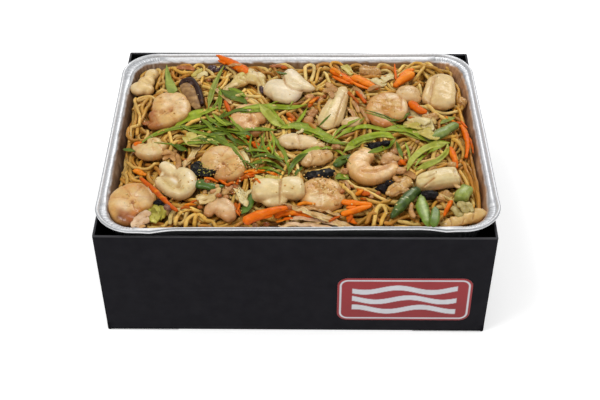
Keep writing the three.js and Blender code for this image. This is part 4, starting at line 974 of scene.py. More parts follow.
    squid("squid_9", [[(159.5, 176.5, 0.6, 4.2, 4.6), (158.8, 181.5, 0.4, 4.6, 5), (164, 187.5, 0.4, 4.8, 5), (172, 192.5, 0.6, 5, 5.2), (181, 194, 0.8, 5.8, 5.6), (187, 189.5, 1.2, 6.6, 6.2), (188.5, 181.5, 1.6, 7.6, 6.6), (184.5, 175, 1.8, 7.2, 6.4), (176.5, 173.5, 1.2, 5.6, 5.2), (167, 173, 0.8, 4.6, 4.8), (159.5, 176.5, 0.6, 4.2, 4.6)],
                      [(161.5, 164, 2.6, 4.4, 4.0), (166, 167, 3.4, 5.6, 4.2), (171.5, 171, 3.0, 6.0, 4.0), (177, 175.5, 2.0, 5, 3.4)],
                      ("blob", 172.5, 183.5, -0.6, 14, 9, 3.9, -40), ("blob", 166, 181.5, -0.6, 7, 6.4, 3.6, 0)],
          creases=[([(165, 179.5), (173, 184), (180, 188.5)], 0.6, 3.0)], seed=19, brown=0.06, base=srgb(230, 210, 168), relax=6, lumps=0.5, ridges=0.1, flat=0.92,
          strokes=[([(167, 181), (175, 185.5), (183, 189)], 3.2, (206, 184, 120), 0.6), ([(165, 182), (173, 189)], 1.5, (196, 164, 84), 0.6), ([(177, 186), (181, 188.5)], 1.6, (190, 140, 76), 0.5), ([(172, 179), (176, 182)], 1.7, (236, 226, 212), 0.7), ([(188, 174), (195, 183)], 3.4, (240, 228, 200), 0.6), ([(168, 196), (180, 200)], 1.8, (196, 150, 88), 0.5), ([(162, 162), (169, 167)], 3, (238, 218, 184), 0.5), ([(157, 187), (164, 194)], 1.6, (200, 160, 100), 0.45), ([(168, 175.5), (178, 180)], 1.2, (196, 150, 92), 0.55)])
    squid("squid_10", [[(268.5, 181, 1.2, 9.8, 6), (268, 187, 1.8, 12.4, 8), (267.5, 195, 1.2, 12.8, 8), (268, 202, -0.6, 11, 6)], [(290.5, 179, 1.4, 9.4, 6.4), (291.5, 185, 1.8, 10.6, 7.4), (292, 192.5, 1.4, 10.8, 7.4), (291.5, 199.5, -0.2, 9.8, 6.2)], ("blob", 274, 200, -1.2, 11, 8, 5.6, 0), ("blob", 281, 188, 0.5, 6.5, 12, 6.6, 0)],
          creases=[([(281, 174), (280.5, 183), (280, 193), (280, 203)], 0.8, 1.3)], seed=20, brown=0.06, relax=9, lumps=0.5, ridges=0.08, base=srgb(228, 206, 158), square=[0.9, 1.3, 0, 0],
          strokes=[([(281, 175), (280.5, 186), (280, 198)], 1.6, (196, 156, 100), 0.38), ([(262, 184), (270, 181)], 4, (236, 220, 178), 0.6), ([(254, 192), (258, 201), (266, 207)], 1.8, (176, 126, 66), 0.6), ([(266, 209), (279, 207)], 2.6, (180, 130, 70), 0.6), ([(291, 188), (296, 191)], 2.2, (200, 156, 90), 0.45), ([(288, 178), (297, 181)], 3, (236, 218, 178), 0.6), ([(303, 188), (301, 198)], 1.8, (196, 154, 94), 0.5), ([(264, 193), (272, 199)], 5, (222, 196, 146), 0.4), ([(280, 178), (274, 176)], 2, (214, 208, 142), 0.4)])
    squid("squid_11", [[(415.5, 184, -0.8, 6.4, 4.6), (425, 182, 0.4, 9, 6.4), (439, 179, 1.1, 10.2, 7.4), (450, 177.5, 1.3, 10.4, 7.6), (459, 177, 0.9, 10, 7.2)]],
          creases=[([(418, 178), (426, 177), (434, 174)], 0.5, 1.0), ([(424, 187), (429, 182), (434, 178)], 0.7, 1.0), ([(454, 169), (456, 178), (459, 186)], 0.35, 1.0)], seed=21, brown=0.1, square=1.8, blunt=0.06, relax=6, lumps=0.6, ridges=0.25,
          strokes=[([(423, 188), (428, 183), (434, 178)], 1.6, (190, 130, 62), 0.65), ([(428, 187), (434, 183)], 1.4, (196, 140, 76), 0.5), ([(417, 182), (424, 178)], 3, (226, 206, 140), 0.5), ([(436, 172), (450, 169.5)], 3, (230, 208, 160), 0.5), ([(455, 171.5)], 1.2, (120, 84, 50), 0.6), ([(432, 188), (448, 188), (459, 186)], 2.2, (206, 164, 136), 0.6), ([(444, 178), (456, 179)], 3, (214, 200, 152), 0.5)])
    squid("squid_12", [[(439, 227, -1.2, 4.4, 3.6), (447, 224.5, -0.4, 5.6, 4.6), (456, 222, 0, 5.8, 4.8), (466, 219, .3, 6.2, 5), (475, 215.5, .6, 6.6, 5.4), (481.5, 212, 0.4, 6.4, 5.2)], ("blob", 478, 213.5, 0.8, 7, 6.2, 5.4, 20), ("blob", 466, 218, 0.4, 5, 5.6, 5.2, 0), ("blob", 453, 222, 0, 5, 5, 4.8, 0)],
          creases=[([(449, 217), (452, 223), (451, 229)], 0.7, 1.0), ([(462, 213), (464, 219), (463, 225)], 0.6, 1.0), ([(473, 208), (474, 213), (473, 219)], 0.6, 1.0)], seed=22, brown=0.35, base=srgb(214, 178, 116), lumps=1.4, relax=5, ridges=0.5,
          strokes=[([(456, 219), (464, 216), (472, 212)], 2.2, (228, 200, 140), 0.6), ([(479, 209), (484, 214)], 2.2, (226, 196, 140), 0.6), ([(446, 227), (460, 226)], 2.4, (176, 124, 56), 0.6), ([(470, 222), (480, 219)], 2.2, (178, 128, 62), 0.5)])
    squid("squid_13", [[(388, 196, -1, 4.4, 3.2), (393.5, 191.5, .2, 6.6, 4), (400, 186.5, .8, 7, 4.2), (406.5, 181, .4, 5.6, 3.6), (410, 178, 0, 3.6, 2.6)]],
          creases=[([(390, 189), (398, 184), (406, 178)], 0.8, 1.0), ([(394, 196), (402, 190)], 0.7, 1.0)], seed=23, brown=0.6, base=srgb(206, 164, 104), lumps=1.4, relax=4,
          strokes=[([(398, 184), (404, 180)], 2, (224, 194, 144), 0.6), ([(390, 192), (396, 188)], 1.8, (170, 110, 56), 0.6), ([(392, 197), (400, 192)], 2, (150, 92, 46), 0.6)])
    squid("squid_14", [("blob", 351.5, 122.5, 0.4, 10, 7, 5.2, 20)], seed=24, brown=0.2, ridges=0.3, creases=[([(344, 121), (352, 117), (360, 114)], 0.5, 1)], base=srgb(220, 190, 142),
          strokes=[([(353, 120)], 1.2, (176, 100, 50), 0.7), ([(346, 119), (355, 116)], 2.2, (232, 208, 164), 0.6), ([(345, 127), (356, 127)], 2, (196, 148, 88), 0.5)])
    squid("squid_15", [("blob", 389, 157.5, 0.4, 7, 6.4, 4.8, 0), ("blob", 393, 164, -1, 4.4, 4.4, 3.6, 0), ("blob", 384.5, 162, -1, 4, 4, 3.4, 0)], seed=25, brown=0.6, base=srgb(206, 164, 118), lumps=1.4, relax=4,
          strokes=[([(386, 155), (391, 154)], 2, (224, 190, 150), 0.5), ([(391, 162), (395, 167)], 2, (160, 100, 54), 0.5)])


def ico_body(sub=2):
    import bmesh
    bm = bmesh.new()
    bmesh.ops.create_icosphere(bm, subdivisions=sub, radius=1.0)
    v = np.array([x.co[:] for x in bm.verts])
    f = [[x.index for x in q.verts] for q in bm.faces]
    bm.free()
    return v, f


def refine(node, voxel=0.6, relax=2, lumps=0.25, size=4.0, seed=0):
    v, f = node_mesh(node)
    v, n, f = remeshed(node + "_skin", v, f, voxel, relax)
    v = v + n * (lumps * fbm(v, size, seed))[:, None]
    return v, n, f


def axis_of(v):
    c = v.mean(0)
    w, e = np.linalg.eigh(np.cov((v - c).T))
    return c, e[:, 2], e[:, 1]


def ribbon(path, width, thick=0.5, cup=0.15, twist=0.0, tips=(1.0, 1.0), blunt=0.18, seed=0):
    """A thin leaf-like strip along a path; returns vertices, faces, u, s."""
    p = np.asarray(path, float)
    n = len(p)
    t, s, u = frames(p)
    k = np.arange(n)
    ang = (np.zeros(n) + twist) if np.isscalar(twist) else np.interp(np.linspace(0, 1, n), np.linspace(0, 1, len(twist)), twist)
    ang = np.radians(ang) + 0.16 * vnoise(np.column_stack([k * 0.12, np.full(n, seed * 3.1), np.zeros(n)]), 1.0, seed)
    s2 = s * np.cos(ang)[:, None] + u * np.sin(ang)[:, None]
    u2 = u * np.cos(ang)[:, None] - s * np.sin(ang)[:, None]
    w_ = np.interp(np.linspace(0, 1, n), np.linspace(0, 1, len(width)), width) if not np.isscalar(width) else np.full(n, float(width))
    tt = np.linspace(0, 1, n)
    e = np.clip(np.minimum(tt / max(blunt * tips[0], 1e-3), (1 - tt) / max(blunt * tips[1], 1e-3)), 0.06, 1) ** 0.8
    w_ = w_ * e * (1 + 0.10 * vnoise(np.column_stack([k * 0.3, np.full(n, seed * 1.7), np.zeros(n)]), 1.0, seed + 3))
    cross = np.linspace(-1, 1, 6)
    rows_top = p[:, None] + s2[:, None] * (cross[None, :, None] * w_[:, None, None] / 2) + u2[:, None] * ((cup * (cross ** 2 - 0.4))[None, :, None] * w_[:, None, None] + thick / 2)
    rows_bot = p[:, None] + s2[:, None] * (cross[None, ::-1, None] * w_[:, None, None] / 2 * 0.96) + u2[:, None] * ((cup * (cross[::-1] ** 2 - 0.4))[None, :, None] * w_[:, None, None] - thick / 2)
    ring_ = np.concatenate([rows_top, rows_bot], 1)
    m = ring_.shape[1]
    v = ring_.reshape(-1, 3)
    f = [list(q) for q in grid_faces(n, m, flip=True)]
    v = np.vstack([v, p[:1], p[-1:]])
    for j in range(m):
        f.append([j, (j + 1) % m, n * m])
        f.append([(n - 1) * m + (j + 1) % m, (n - 1) * m + j, n * m + 1])
    su = np.concatenate([np.tile(np.concatenate([cross, cross[::-1]]), n), [0, 0]])
    uu = np.concatenate([np.repeat(tt, m), [0, 1]])
    return v, f, uu, su


def screen_width(path, side_, px):
    """Width in mm across a path that shows as px frame units."""
    a, b = project(path), project(path + side_)
    t = np.gradient(a, axis=0)
    t /= np.maximum(np.linalg.norm(t, axis=1, keepdims=True), 1e-6)
    perp = np.abs((b - a)[:, 0] * -t[:, 1] + (b - a)[:, 1] * t[:, 0])
    return np.asarray(px) / np.clip(perp, 0.66, 1.3)


def baton(zc, pts, k, high=0.62, sides=10, square=3.0, rough=0.35, step=0.9, tip=(0.5, 0.8), slim=1.0):
    """A cut stick: pts are x, y, lift, width in frame units."""
    p = np.array(pts, float)
    path = np.array([at(x, y, zc + dz) for x, y, dz in p[:, :3]])
    rows_ = spline(np.column_stack([path, p[:, 3:4]]), step=step)
    n = len(rows_)
    t, s_, u = frames(rows_[:, :3])
    w_ = screen_width(rows_[:, :3], s_, rows_[:, 3] * slim) / 2
    i = np.arange(n) * step
    line = np.column_stack([i, np.full(n, k * 7.3), np.zeros(n)])
    w_ = w_ * (1 + 0.16 * vnoise(line, 5, 3))
    mm = rows_[:, 3] * 0.93 / 2 * high * 1.25 * (1 + 0.15 * vnoise(line, 6, 8))
    e = np.ones(n)
    e[0], e[-1] = tip
    e[1], e[-2] = (tip[0] + 1) / 2, (tip[1] + 1) / 2
    v, f = tube(rows_[:, :3], w_ * e, mm * e, sides, square)
    # the cross-section leans over along the stick
    v = v + rough * np.column_stack([vnoise(v, 2.6, k), vnoise(v, 2.6, k + 40), 0.6 * vnoise(v, 2.6, k + 80)])
    uu = np.concatenate([np.repeat(np.linspace(0, 1, n), sides), [0, 1]])
    return v, f, uu


CARROTS = {  # sticks of each piece: x, y, lift, width
    "carrot_1": [[(219, 57, 1.5, 3.6), (226, 60, 1, 6), (234, 64.5, 0.4, 8), (242, 69, 0, 8.6), (249, 73, -0.6, 7)], [(216.5, 55, 1.8, 2.2), (222, 57.5, 1.4, 3.6), (229, 60.5, 1, 3.4)], [(218, 60.5, 0.6, 2), (226, 63.5, 0.4, 3)]],
    "carrot_2": [[(330, 70, 0.4, 3.6), (337, 73.5, 0.2, 6), (345, 78, 0, 6.4), (354, 83.5, -0.4, 4.6)], [(332, 76, 0, 2.4), (340, 80, 0, 3.6), (350, 84, -0.4, 2.4)]],
    "carrot_3": [[(352, 77, 0.6, 5.4), (360, 80, 0.6, 8), (369, 84.5, 0.2, 7), (378, 89, -0.4, 3)], [(351, 81, 0, 2.6), (360, 86, 0, 3.4), (370, 89, -0.4, 2)]],
    "carrot_4": [[(413.5, 73, 1.2, 7), (408, 76, 1.2, 9.6), (401, 80.5, 0.8, 8.6), (394.5, 86.5, 0, 6)], [(414, 69.5, 1.2, 3.4), (407, 71, 1.4, 4), (400, 76, 1, 3.4)]],
    "carrot_5": [[(394.5, 64, 1.2, 1.8), (395, 71, 0.6, 3.4), (396, 80, 0, 3.4)]],
    "carrot_6": [[(356, 91, 0.4, 3.4), (360.5, 96, 0, 4.4), (365.5, 103, -0.4, 3.6)]],
    "carrot_7": [[(409.5, 102, 0.4, 5), (414, 106, 0.6, 8.6), (420, 110.5, 0.2, 7.4), (427, 112, -0.6, 4)]],
    "carrot_8": [[(224.5, 101, 0, 4.4), (227.5, 107, 0, 5), (230.5, 114, 0, 4.4), (233, 123.5, -0.4, 3)]],
    "carrot_9": [[(253, 144, 0, 4), (260, 147.5, 0, 7), (267, 149, 0, 7), (275, 147, -0.4, 4)], [(254, 150.5, -0.4, 3), (264, 152.5, -0.4, 3.6)]],
    "carrot_10": [[(457.5, 123, 0, 4), (463.5, 130, 0.4, 6.4), (467, 140, 0.6, 7), (467.5, 149, 0.2, 6), (466, 158, -0.6, 4)], [(461, 121, 0, 2.4), (467, 128, 0, 2.6)]],
    "carrot_11": [[(450, 147.5, 0, 5.4), (452.5, 154, 0.4, 8.4), (455, 161, 0.4, 8), (456.5, 168, -0.4, 5)]],
    "carrot_12": [[(140, 178, 0, 4), (148, 184.5, 0, 5.4), (157, 193, 0.3, 6), (166, 201.5, 0.3, 5.6), (174, 208.5, 0, 4.4), (177.5, 211, -0.4, 3)]],
    "carrot_13": [[(244, 222, 0, 9), (253, 217.5, 0.4, 9.4), (264, 213.5, 0.8, 8), (276, 210, 0.6, 6.4), (287, 207.5, 0, 4.6)], [(262, 218.5, -0.6, 2.6), (272, 215.5, -0.6, 2.6)]],
    "carrot_14": [[(275, 217.5, 0, 4), (283, 213.5, 0.4, 6.4), (293, 212.5, 0.6, 7.4), (304, 214, 0.4, 6.6), (316, 215.5, -0.4, 3.4)], [(283, 219.5, -0.4, 2.6), (293, 218.5, -0.4, 3)]],
    "carrot_15": [[(341, 201.5, 0.4, 4.6), (350, 203, 0.6, 6), (361, 204, 0.4, 5.6), (372, 204.5, 0, 4)], [(341, 214.5, 0.2, 5), (350, 212, 0.4, 6.4), (361, 208.5, 0.4, 6), (371, 206, 0, 4)], [(346, 207.5, 0, 3), (356, 207.5, 0, 4)]],
    "carrot_16": [[(452, 200.5, 0.4, 4), (449.5, 205, 0.4, 6), (446.5, 210.5, 0, 5.4), (443.5, 216.5, -0.6, 2.8)]],
}


def build_carrots():
    for k in range(1, 17):
        node = "carrot_%d" % k
        zc, z0, z1 = node_z(node)
        parts, us = [], []
        for j, pts in enumerate(CARROTS[node]):
            v, f, uu = baton(zc, pts, 10 * k + j, high=0.56 if j == 0 else 0.5, slim={13: 0.84, 1: 0.74, 14: 0.76, 12: 0.62}.get(k, 0.70))
            parts.append((v, f)); us.append(uu)
        v, f = stack(parts)
        u = np.concatenate(us)
        base, pale, deep = srgb(228, 98, 0), srgb(246, 142, 28), srgb(176, 66, 0)
        if k in (8, 9, 6, 12):
            base = srgb(204, 82, 2)
        if k in (3, 4, 15):
            base, pale = srgb(242, 116, 14), srgb(250, 154, 48)
        lo_, hi_ = v[:, 2].min(), v[:, 2].max()
        h = (v[:, 2] - lo_) / max(hi_ - lo_, 0.1)
        # painted shade: darker towards the bottom of each stick
        c = mix(np.tile(base, (len(v), 1)), deep, 0.75 * (1 - smooth01(0.15, 0.6, h)))
        c = mix(c, deep, 0.6 * smooth01(0.05, 0.8, fbm(v, 5, 60 + k)))
        # painted highlight: lighter streaks along the top
        c = mix(c, pale, 0.65 * smooth01(0.1, 0.8, vnoise(v * np.array([0.5, 1, 1]), 2.4, k)) * smooth01(0.5, 0.9, h))
        if k in (3, 4):
            c = mix(c, srgb(244, 140, 50), 0.4 * smooth01(0.5, 0.9, h))
        add_top(finish_piece(mesh_object(node + "_piece", v, f, colour=c * CARROT_HUE), M_CARROT, "carrot", node), v)


PODS = {  # green pieces: outline x, y, lift, width; height share, ends, tones
    "bean_1": ([(391, 218, -1.2, 3.4), (394.5, 213.5, -0.4, 7), (400, 207, 0.4, 9.6), (407, 199, 0.8, 10), (414, 192.5, 0.4, 9), (418.5, 189.5, -0.6, 6)], 0.75, (0.4, 0.6), (56, 76, 26), (96, 120, 50)),
    "bean_2": ([(459.5, 200.5, 0, 12.5), (461.5, 197, 0.2, 13), (464.5, 192.5, 0.4, 13), (467, 189, 0.2, 12.5)], 0.62, (0.93, 0.93), (138, 150, 62), (176, 180, 98)),
    "bean_3": ([(422, 193, 0, 2), (421.5, 199, 0.8, 8), (422, 206, 1.4, 12.4), (424.5, 214, 1.4, 11), (427, 222, 0.8, 7.4), (429, 229, -0.4, 4)], 0.3, (0.3, 0.5), (106, 128, 34), (148, 162, 70)),
    "bean_4": ([(435, 206.5, 0, 5), (435.5, 213, 0.2, 9), (434.5, 220, 0.2, 9.4), (433, 227.5, -0.6, 6)], 0.34, (0.5, 0.6), (88, 112, 30), (120, 142, 48)),
    "bean_5": ([(431, 139, -0.2, 6), (437, 135.5, 0.2, 8), (445, 131, 0.4, 8.2), (452, 127, 0.4, 7.6), (456.5, 124.5, 0, 6.4)], 0.7, (0.6, 0.7), (96, 120, 50), (146, 156, 84)),
    "bean_6": ([(196, 183, 0, 7.6), (203, 184.5, 0.2, 8.2), (212, 186.5, 0.2, 6.0), (224, 186, -0.4, 2.2)], 0.5, (0.7, 0.3), (58, 84, 26), (92, 120, 44)),
    "bean_7": ([(251.5, 194, 0.4, 4), (251, 200, 0.4, 7.6), (247, 207, 0.2, 8.4), (241.5, 214, -0.4, 5)], 0.4, (0.4, 0.5), (78, 108, 34), (122, 146, 58)),
    "bean_8": ([(334, 166, 0, 5), (340, 162.5, 0.2, 7.6), (347, 158.5, 0.2, 6.6), (353, 155, -0.4, 3.4)], 0.5, (0.5, 0.4), (60, 82, 30), (92, 114, 46)),
}


def build_beans():
    for k in range(1, 9):
        node = "bean_%d" % k
        zc, z0, z1 = node_z(node)
        pts, high, tip, dark, light = PODS[node]
        if k in (3, 4, 7):
            p = np.array(pts, float)
            path = spline(np.column_stack([np.array([at(x, y, zc + dz) for x, y, dz in p[:, :3]]), p[:, 3:4]]), step=0.9)
            v, f, uu, su = ribbon(path[:, :3], list(screen_width(path[:, :3], frames(path[:, :3])[1], path[:, 3])), 0.8, -0.05, 0, (0.6, 0.8), seed=400 + k, blunt=0.16)
        else:
            v, f, uu = baton(zc, pts, 100 + k, high=high, sides=14, square=2.6 if k == 2 else 0.4, rough=0.22, tip=tip)
        dark, light = srgb(*dark), srgb(*light)
        c = mix(np.tile(dark, (len(v), 1)), light, smooth01(-0.3, 0.7, fbm(v, 4.5, 80 + k)) * 0.75)
        h = (v[:, 2] - v[:, 2].min()) / (v[:, 2].max() - v[:, 2].min())
        # painted shade: darker towards the bottom
        c = mix(c, dark * 0.6, (0.7 if k not in (3, 4, 7) else 0.3) * (1 - smooth01(0.1, 0.6, h)))
        if k == 3:
            q = project(v)
            # a painted highlight streak along the leaf, and a darker green line beside it
            c = strokes_on(c, q, v, [([(421, 199), (423.5, 208), (427, 219)], 1.6, (206, 218, 150), 0.75), ([(416, 205), (419, 213), (424, 223)], 1.4, (96, 132, 36), 0.6)], 3)
        if k == 2:
            q = project(v)
            c = strokes_on(c, q, v, [([(459, 199), (462, 203)], 2.6, (84, 110, 36), 0.7), ([(467, 190), (470, 194)], 2, (186, 200, 120), 0.6)], 5)
        if k == 1:
            q = project(v)
            c = strokes_on(c, q, v, [([(396, 208), (405, 197), (414, 190)], 1.1, (132, 150, 84), 0.5)], 5)
            # painted glints: pale flecks on the upper side
            painted_glint = (vnoise(v, 1.3, 5) > 0.74) & (h > 0.6)
            c = np.where(painted_glint[:, None], srgb(226, 224, 170), c)
        if k in (5, 6, 8):
            # painted highlight: lighter on top
            c = mix(c, light * 1.15, 0.4 * smooth01(0.6, 0.95, h))
        add_top(finish_piece(mesh_object(node + "_piece", v, f, colour=c), M_BEAN, "bean", node), v)


def build_mushrooms():
    for k in range(1, 5):
        node = "mushroom_%d" % k
        black, purple = srgb(15, 12, 10), srgb(40, 29, 30)
        zc, z0, z1 = node_z(node)
        if k == 1:
            # shiitake slice: dark cap round the outside, tan gills in the middle
            parts = [baton(zc, [(183.5, 84, 0.8, 8), (187, 88.5, 1.0, 14), (191, 95.5, 0.8, 14), (195.5, 104, 0.2, 10), (198, 109, -0.6, 5)], 130, high=0.34, sides=12, square=1.0, rough=0.3),
                     baton(zc, [(179.8, 86.5, 0.6, 3), (183.5, 81.6, 1.2, 4.4), (190.5, 80.6, 1.4, 5.4), (196, 86, 1.3, 6.4), (199.5, 95, 0.8, 6.6), (202, 105, -0.2, 4.8)], 131, high=0.7, sides=12, square=0.4, rough=0.3)]
            v, f = stack([(a, b) for a, b, _ in parts])
            cap = np.arange(len(v)) >= len(parts[0][0])
            c = mix(np.tile(srgb(134, 98, 60), (len(v), 1)), srgb(176, 138, 88), smooth01(-0.4, 0.6, fbm(v * np.array([1, 0.5, 1]), 2.4, 4)))
            c = np.where(cap[:, None], mix(np.tile(srgb(48, 27, 20), (len(v), 1)), srgb(92, 58, 30), smooth01(0.0, 0.8, fbm(v, 3, 8))), c)
            q = project(v)
            c = strokes_on(c, q, v, [([(190.5, 84)], 1.4, (170, 146, 140), 0.7), ([(183, 92), (189, 101)], 1.6, (112, 76, 44), 0.6)], 9)
        else:
            v, n, f = refine(node, 0.6, 2, 0.3, 5, 90 + k)
            v = v + n * (1.1 * fbm(v, 4.5, 95 + k) + 0.8 * np.abs(vnoise(v, 2.2, 5 + k)))[:, None]
            c = mix(np.tile(black, (len(v), 1)), purple, 0.8 * smooth01(0.1, 0.8, fbm(v, 3.5, 97 + k)))
            c = mix(c, srgb(84, 70, 50), 0.3 * smooth01(0.6, 0.9, vnoise(v, 1.8, 99 + k)))
        add_top(finish_piece(mesh_object(node + "_piece", v, f, colour=c), M_MUSH, "mushroom", node), v)


CABBAGES = {  # each head of leaf: ribbons of x, y, lift with width, and a tone
    "cabbage_1": [([(150, 204, 0), (154, 209, 1), (157, 216, 1.2), (155, 223, 0.2)], 9, 0), ([(155, 200, 0), (160, 205, 1), (163, 212, 1.2), (161, 220, 0)], 8, 1), ([(162, 204, 0), (167, 209, 0.6), (168, 216, 0)], 5, 5), ([(149, 211, 0), (151, 217, 1), (156, 224, 0.4)], 6, 0)],
    "cabbage_2": [([(233, 184, 0), (238, 190, 1), (243, 197, 1), (247, 204, 0)], 6, 3), ([(247, 192, 0.6), (243, 197, 1.4), (240, 203, 0.6)], 6, 3), ([(252, 190, 0.4), (247, 195, 1), (245, 202, 0.4)], 4, 3), ([(236, 196, 0), (242, 200, 0.8), (250, 203, 0)], 5, 4)],
    "cabbage_3": [([(405, 117, 0), (412, 115, 1), (420, 116, 1.2), (429, 120, 0.4)], 9, 3), ([(404, 124, 0), (412, 122, 1.2), (422, 124, 1.4)], 9, 4), ([(414, 130, 0), (423, 127, 1.4), (434, 129, 0.6)], 10, 3), ([(408, 119, 0.4), (416, 119.5, 1.4), (424, 119, 1)], 2.6, 0), ([(409, 129, 0), (417, 131, 0.8), (426, 134, 0)], 6, 4), ([(424, 114, 0), (431, 119, 0.8), (436, 124, 0)], 6, 4)],
}
LEAF = [(srgb(170, 160, 58), srgb(206, 196, 100)), (srgb(146, 134, 40), srgb(186, 174, 70)), (srgb(186, 142, 104), srgb(218, 182, 146)), (srgb(206, 182, 118), srgb(228, 210, 156)), (srgb(196, 160, 88), srgb(222, 194, 128)), (srgb(128, 92, 48), srgb(164, 124, 70))]


def build_cabbage():
    for k in range(1, 4):
        node = "cabbage_%d" % k
        zc, z0, z1 = node_z(node)
        parts, cols = [], []
        for j, (pts, w_, tone) in enumerate(CABBAGES[node]):
            path = np.array([at(x, y, zc + dz + 0.4 * j) for x, y, dz in pts])
            path = spline(path, step=0.9)
            wide = screen_width(path, frames(path)[1], w_)
            v, f, uu, su = ribbon(path, list(wide), 1.5, 0.16 * (-1) ** j, 12 * (-1) ** j, (1, 1), seed=300 + 10 * k + j, blunt=0.2)
            v = v + np.column_stack([0.5 * vnoise(v, 2.6, j + 20), 0.5 * vnoise(v, 2.6, j + 40), (0.4 + 1.0 * su ** 2) * vnoise(v, 2.8, j + 60)])
            a, b = LEAF[tone]
            c = mix(np.tile(a, (len(v), 1)), b, smooth01(-0.5, 0.6, fbm(v, 3.4, j + 5)))
            c = mix(c, a * 0.6, 0.6 * smooth01(0.2, 0.8, fbm(v, 2.4, j + 15)))
            parts.append((v, f)); cols.append(c)
        # a lump inside keeps the leaves together
        m = at(*{1: (157, 213), 2: (243, 197), 3: (418, 125)}[k], zc - 1.0)
        lv, lf = ico_body(3)
        size = {1: (9, 8, 3.2), 2: (6.5, 7, 2.6), 3: (11, 8, 3)}[k]
        lv = lv * np.array(size) * (1 + 0.25 * fbm(lv * 8, 5, k))[:, None] + m
        parts.append((lv, lf))
        a, b = LEAF[{1: 1, 2: 3, 3: 4}[k]]
        cols.append(mix(np.tile(a * 0.8, (len(lv), 1)), b * 0.9, smooth01(-0.3, 0.6, fbm(lv, 3, 7))))
        v, f = stack(parts)
        add_top(finish_piece(mesh_object(node + "_piece", v, f, colour=np.vstack(cols)), M_CABB, "cabbage", node), v)


# =====================================================================
# height maps over the tray, 1 mm cells
# =====================================================================
GX, GY, X0, Y0 = 320, 256, -160.0, -128.0


def cell(x, y):
    return np.clip((np.asarray(x) - X0).astype(int), 0, GX - 1), np.clip((np.asarray(y) - Y0).astype(int), 0, GY - 1)


def spread(a, k, fn):
    for _ in range(k):
        b = a.copy()
        b[1:] = fn(b[1:], a[:-1]); b[:-1] = fn(b[:-1], a[1:])
        b[:, 1:] = fn(b[:, 1:], a[:, :-1]); b[:, :-1] = fn(b[:, :-1], a[:, 1:])
        a = b
    return a


def food_level(x, y):
    e = np.abs(x / 153) ** 5
    g = np.abs(y / 122) ** 5
    back = np.clip(y / 122, 0, 1.1) ** 8 * np.clip(1 - np.abs(x / 153) ** 8, 0, 1)
    return (-10 + 10 * (1 - e) * (1 - g) + 5 * back + 1.3 * np.sin(x / 9.1 + 1.7 * np.sin(y / 17)) * np.cos(y / 7.9 + 0.9 * np.sin(x / 13)) + 0.9 * np.sin(x / 21 - y / 15))


def wall_at(z):
    return FLANGE + WALL_LEAN * np.clip(-z, 0, TRAY_DEPTH) / TRAY_DEPTH


def inside(x, y, inset):
    """Signed room (mm) inside the tray's rounded wall, and the way in."""
    hw, hd, r = TRAY_W / 2 - inset, TRAY_D / 2 - inset, np.maximum(TRAY_R - inset, 4)
    ax, ay = np.abs(x) - (hw - r), np.abs(y) - (hd - r)
    ox, oy = np.maximum(ax, 0), np.maximum(ay, 0)
    d = r - np.hypot(ox, oy) + np.minimum(0, 0)
    d = np.where((ax <= 0) & (ay <= 0), np.minimum(-ax, -ay) + r, d)
    gx = -np.sign(x) * np.where(ax > ay, 1, 0) * (oy == 0) - np.sign(x) * ox / np.maximum(np.hypot(ox, oy), 1e-6) * (oy > 0)
    gy = -np.sign(y) * np.where(ay >= ax, 1, 0) * (ox == 0) - np.sign(y) * oy / np.maximum(np.hypot(ox, oy), 1e-6) * (ox > 0)
    return d, gx, gy


def build_core(under):
    """The dark middle of the heap, below the strands."""
    nx, ny = 121, 97
    u, w_ = np.meshgrid(np.linspace(-1, 1, nx), np.linspace(-1, 1, ny), indexing="ij")
    inset = wall_at(-24) + 0.8
    hw, hd, r = TRAY_W / 2 - inset, TRAY_D / 2 - inset, TRAY_R - inset
    X, Y = u * hw, w_ * hd
    ox, oy = np.maximum(np.abs(X) - (hw - r), 0), np.maximum(np.abs(Y) - (hd - r), 0)
    m, L = np.maximum(ox, oy), np.hypot(ox, oy)
    k = np.where(L > 1e-9, m / np.maximum(L, 1e-9), 1)
    X = np.where(np.abs(X) > hw - r, np.sign(X) * (hw - r + ox * k), X)
    Y = np.where(np.abs(Y) > hd - r, np.sign(Y) * (hd - r + oy * k), Y)
    x, y = X.ravel(), Y.ravel()
    z = food_level(x, y) - 10.5 + 1.6 * fbm(np.column_stack([x, y, np.zeros(len(x))]), 9, 77)
    i, j = cell(x, y)
    z = np.minimum(z, under[i, j] - 1.2)
    z = np.maximum(z, -27)
    top = np.column_stack([x, y, z])
    deep = np.column_stack([x * 0.93, y * 0.93, np.full(len(x), -TRAY_DEPTH + 2.0)])
    n = nx * ny
    i, j = np.meshgrid(np.arange(nx - 1), np.arange(ny - 1), indexing="ij")
    a = (i * ny + j).ravel()
    quad = np.stack([a, a + ny, a + ny + 1, a + 1], -1)
    faces = [list(q) for q in quad] + [list(q[::-1] + n) for q in quad]
    loop = [k_ * ny for k_ in range(nx)] + [(nx - 1) * ny + k_ for k_ in range(1, ny)] + [k_ * ny + ny - 1 for k_ in range(nx - 2, -1, -1)] + [k_ for k_ in range(ny - 2, 0, -1)]
    for q in range(len(loop)):
        p, s_ = loop[q], loop[(q + 1) % len(loop)]
        faces.append([s_, p, p + n, s_ + n])
    v = np.vstack([top, deep])
    c = mix(np.tile(srgb(150, 100, 44), (len(v), 1)), srgb(190, 138, 72), smooth01(-0.5, 0.7, fbm(v, 3.0, 5)))
    o = mesh_object("noodle_core", v, faces, colour=c)
    finish_piece(o, M_CORE, "noodle", "noodles")
    return top


def disc_offsets(r):
    k = int(math.ceil(r))
    out = []
    for i in range(-k, k + 1):
        for j in range(-k, k + 1):
            d = math.hypot(i, j)
            if d <= r + 0.3:
                out.append((i, j, math.sqrt(max(r * r - d * d, 0.05))))
    return out


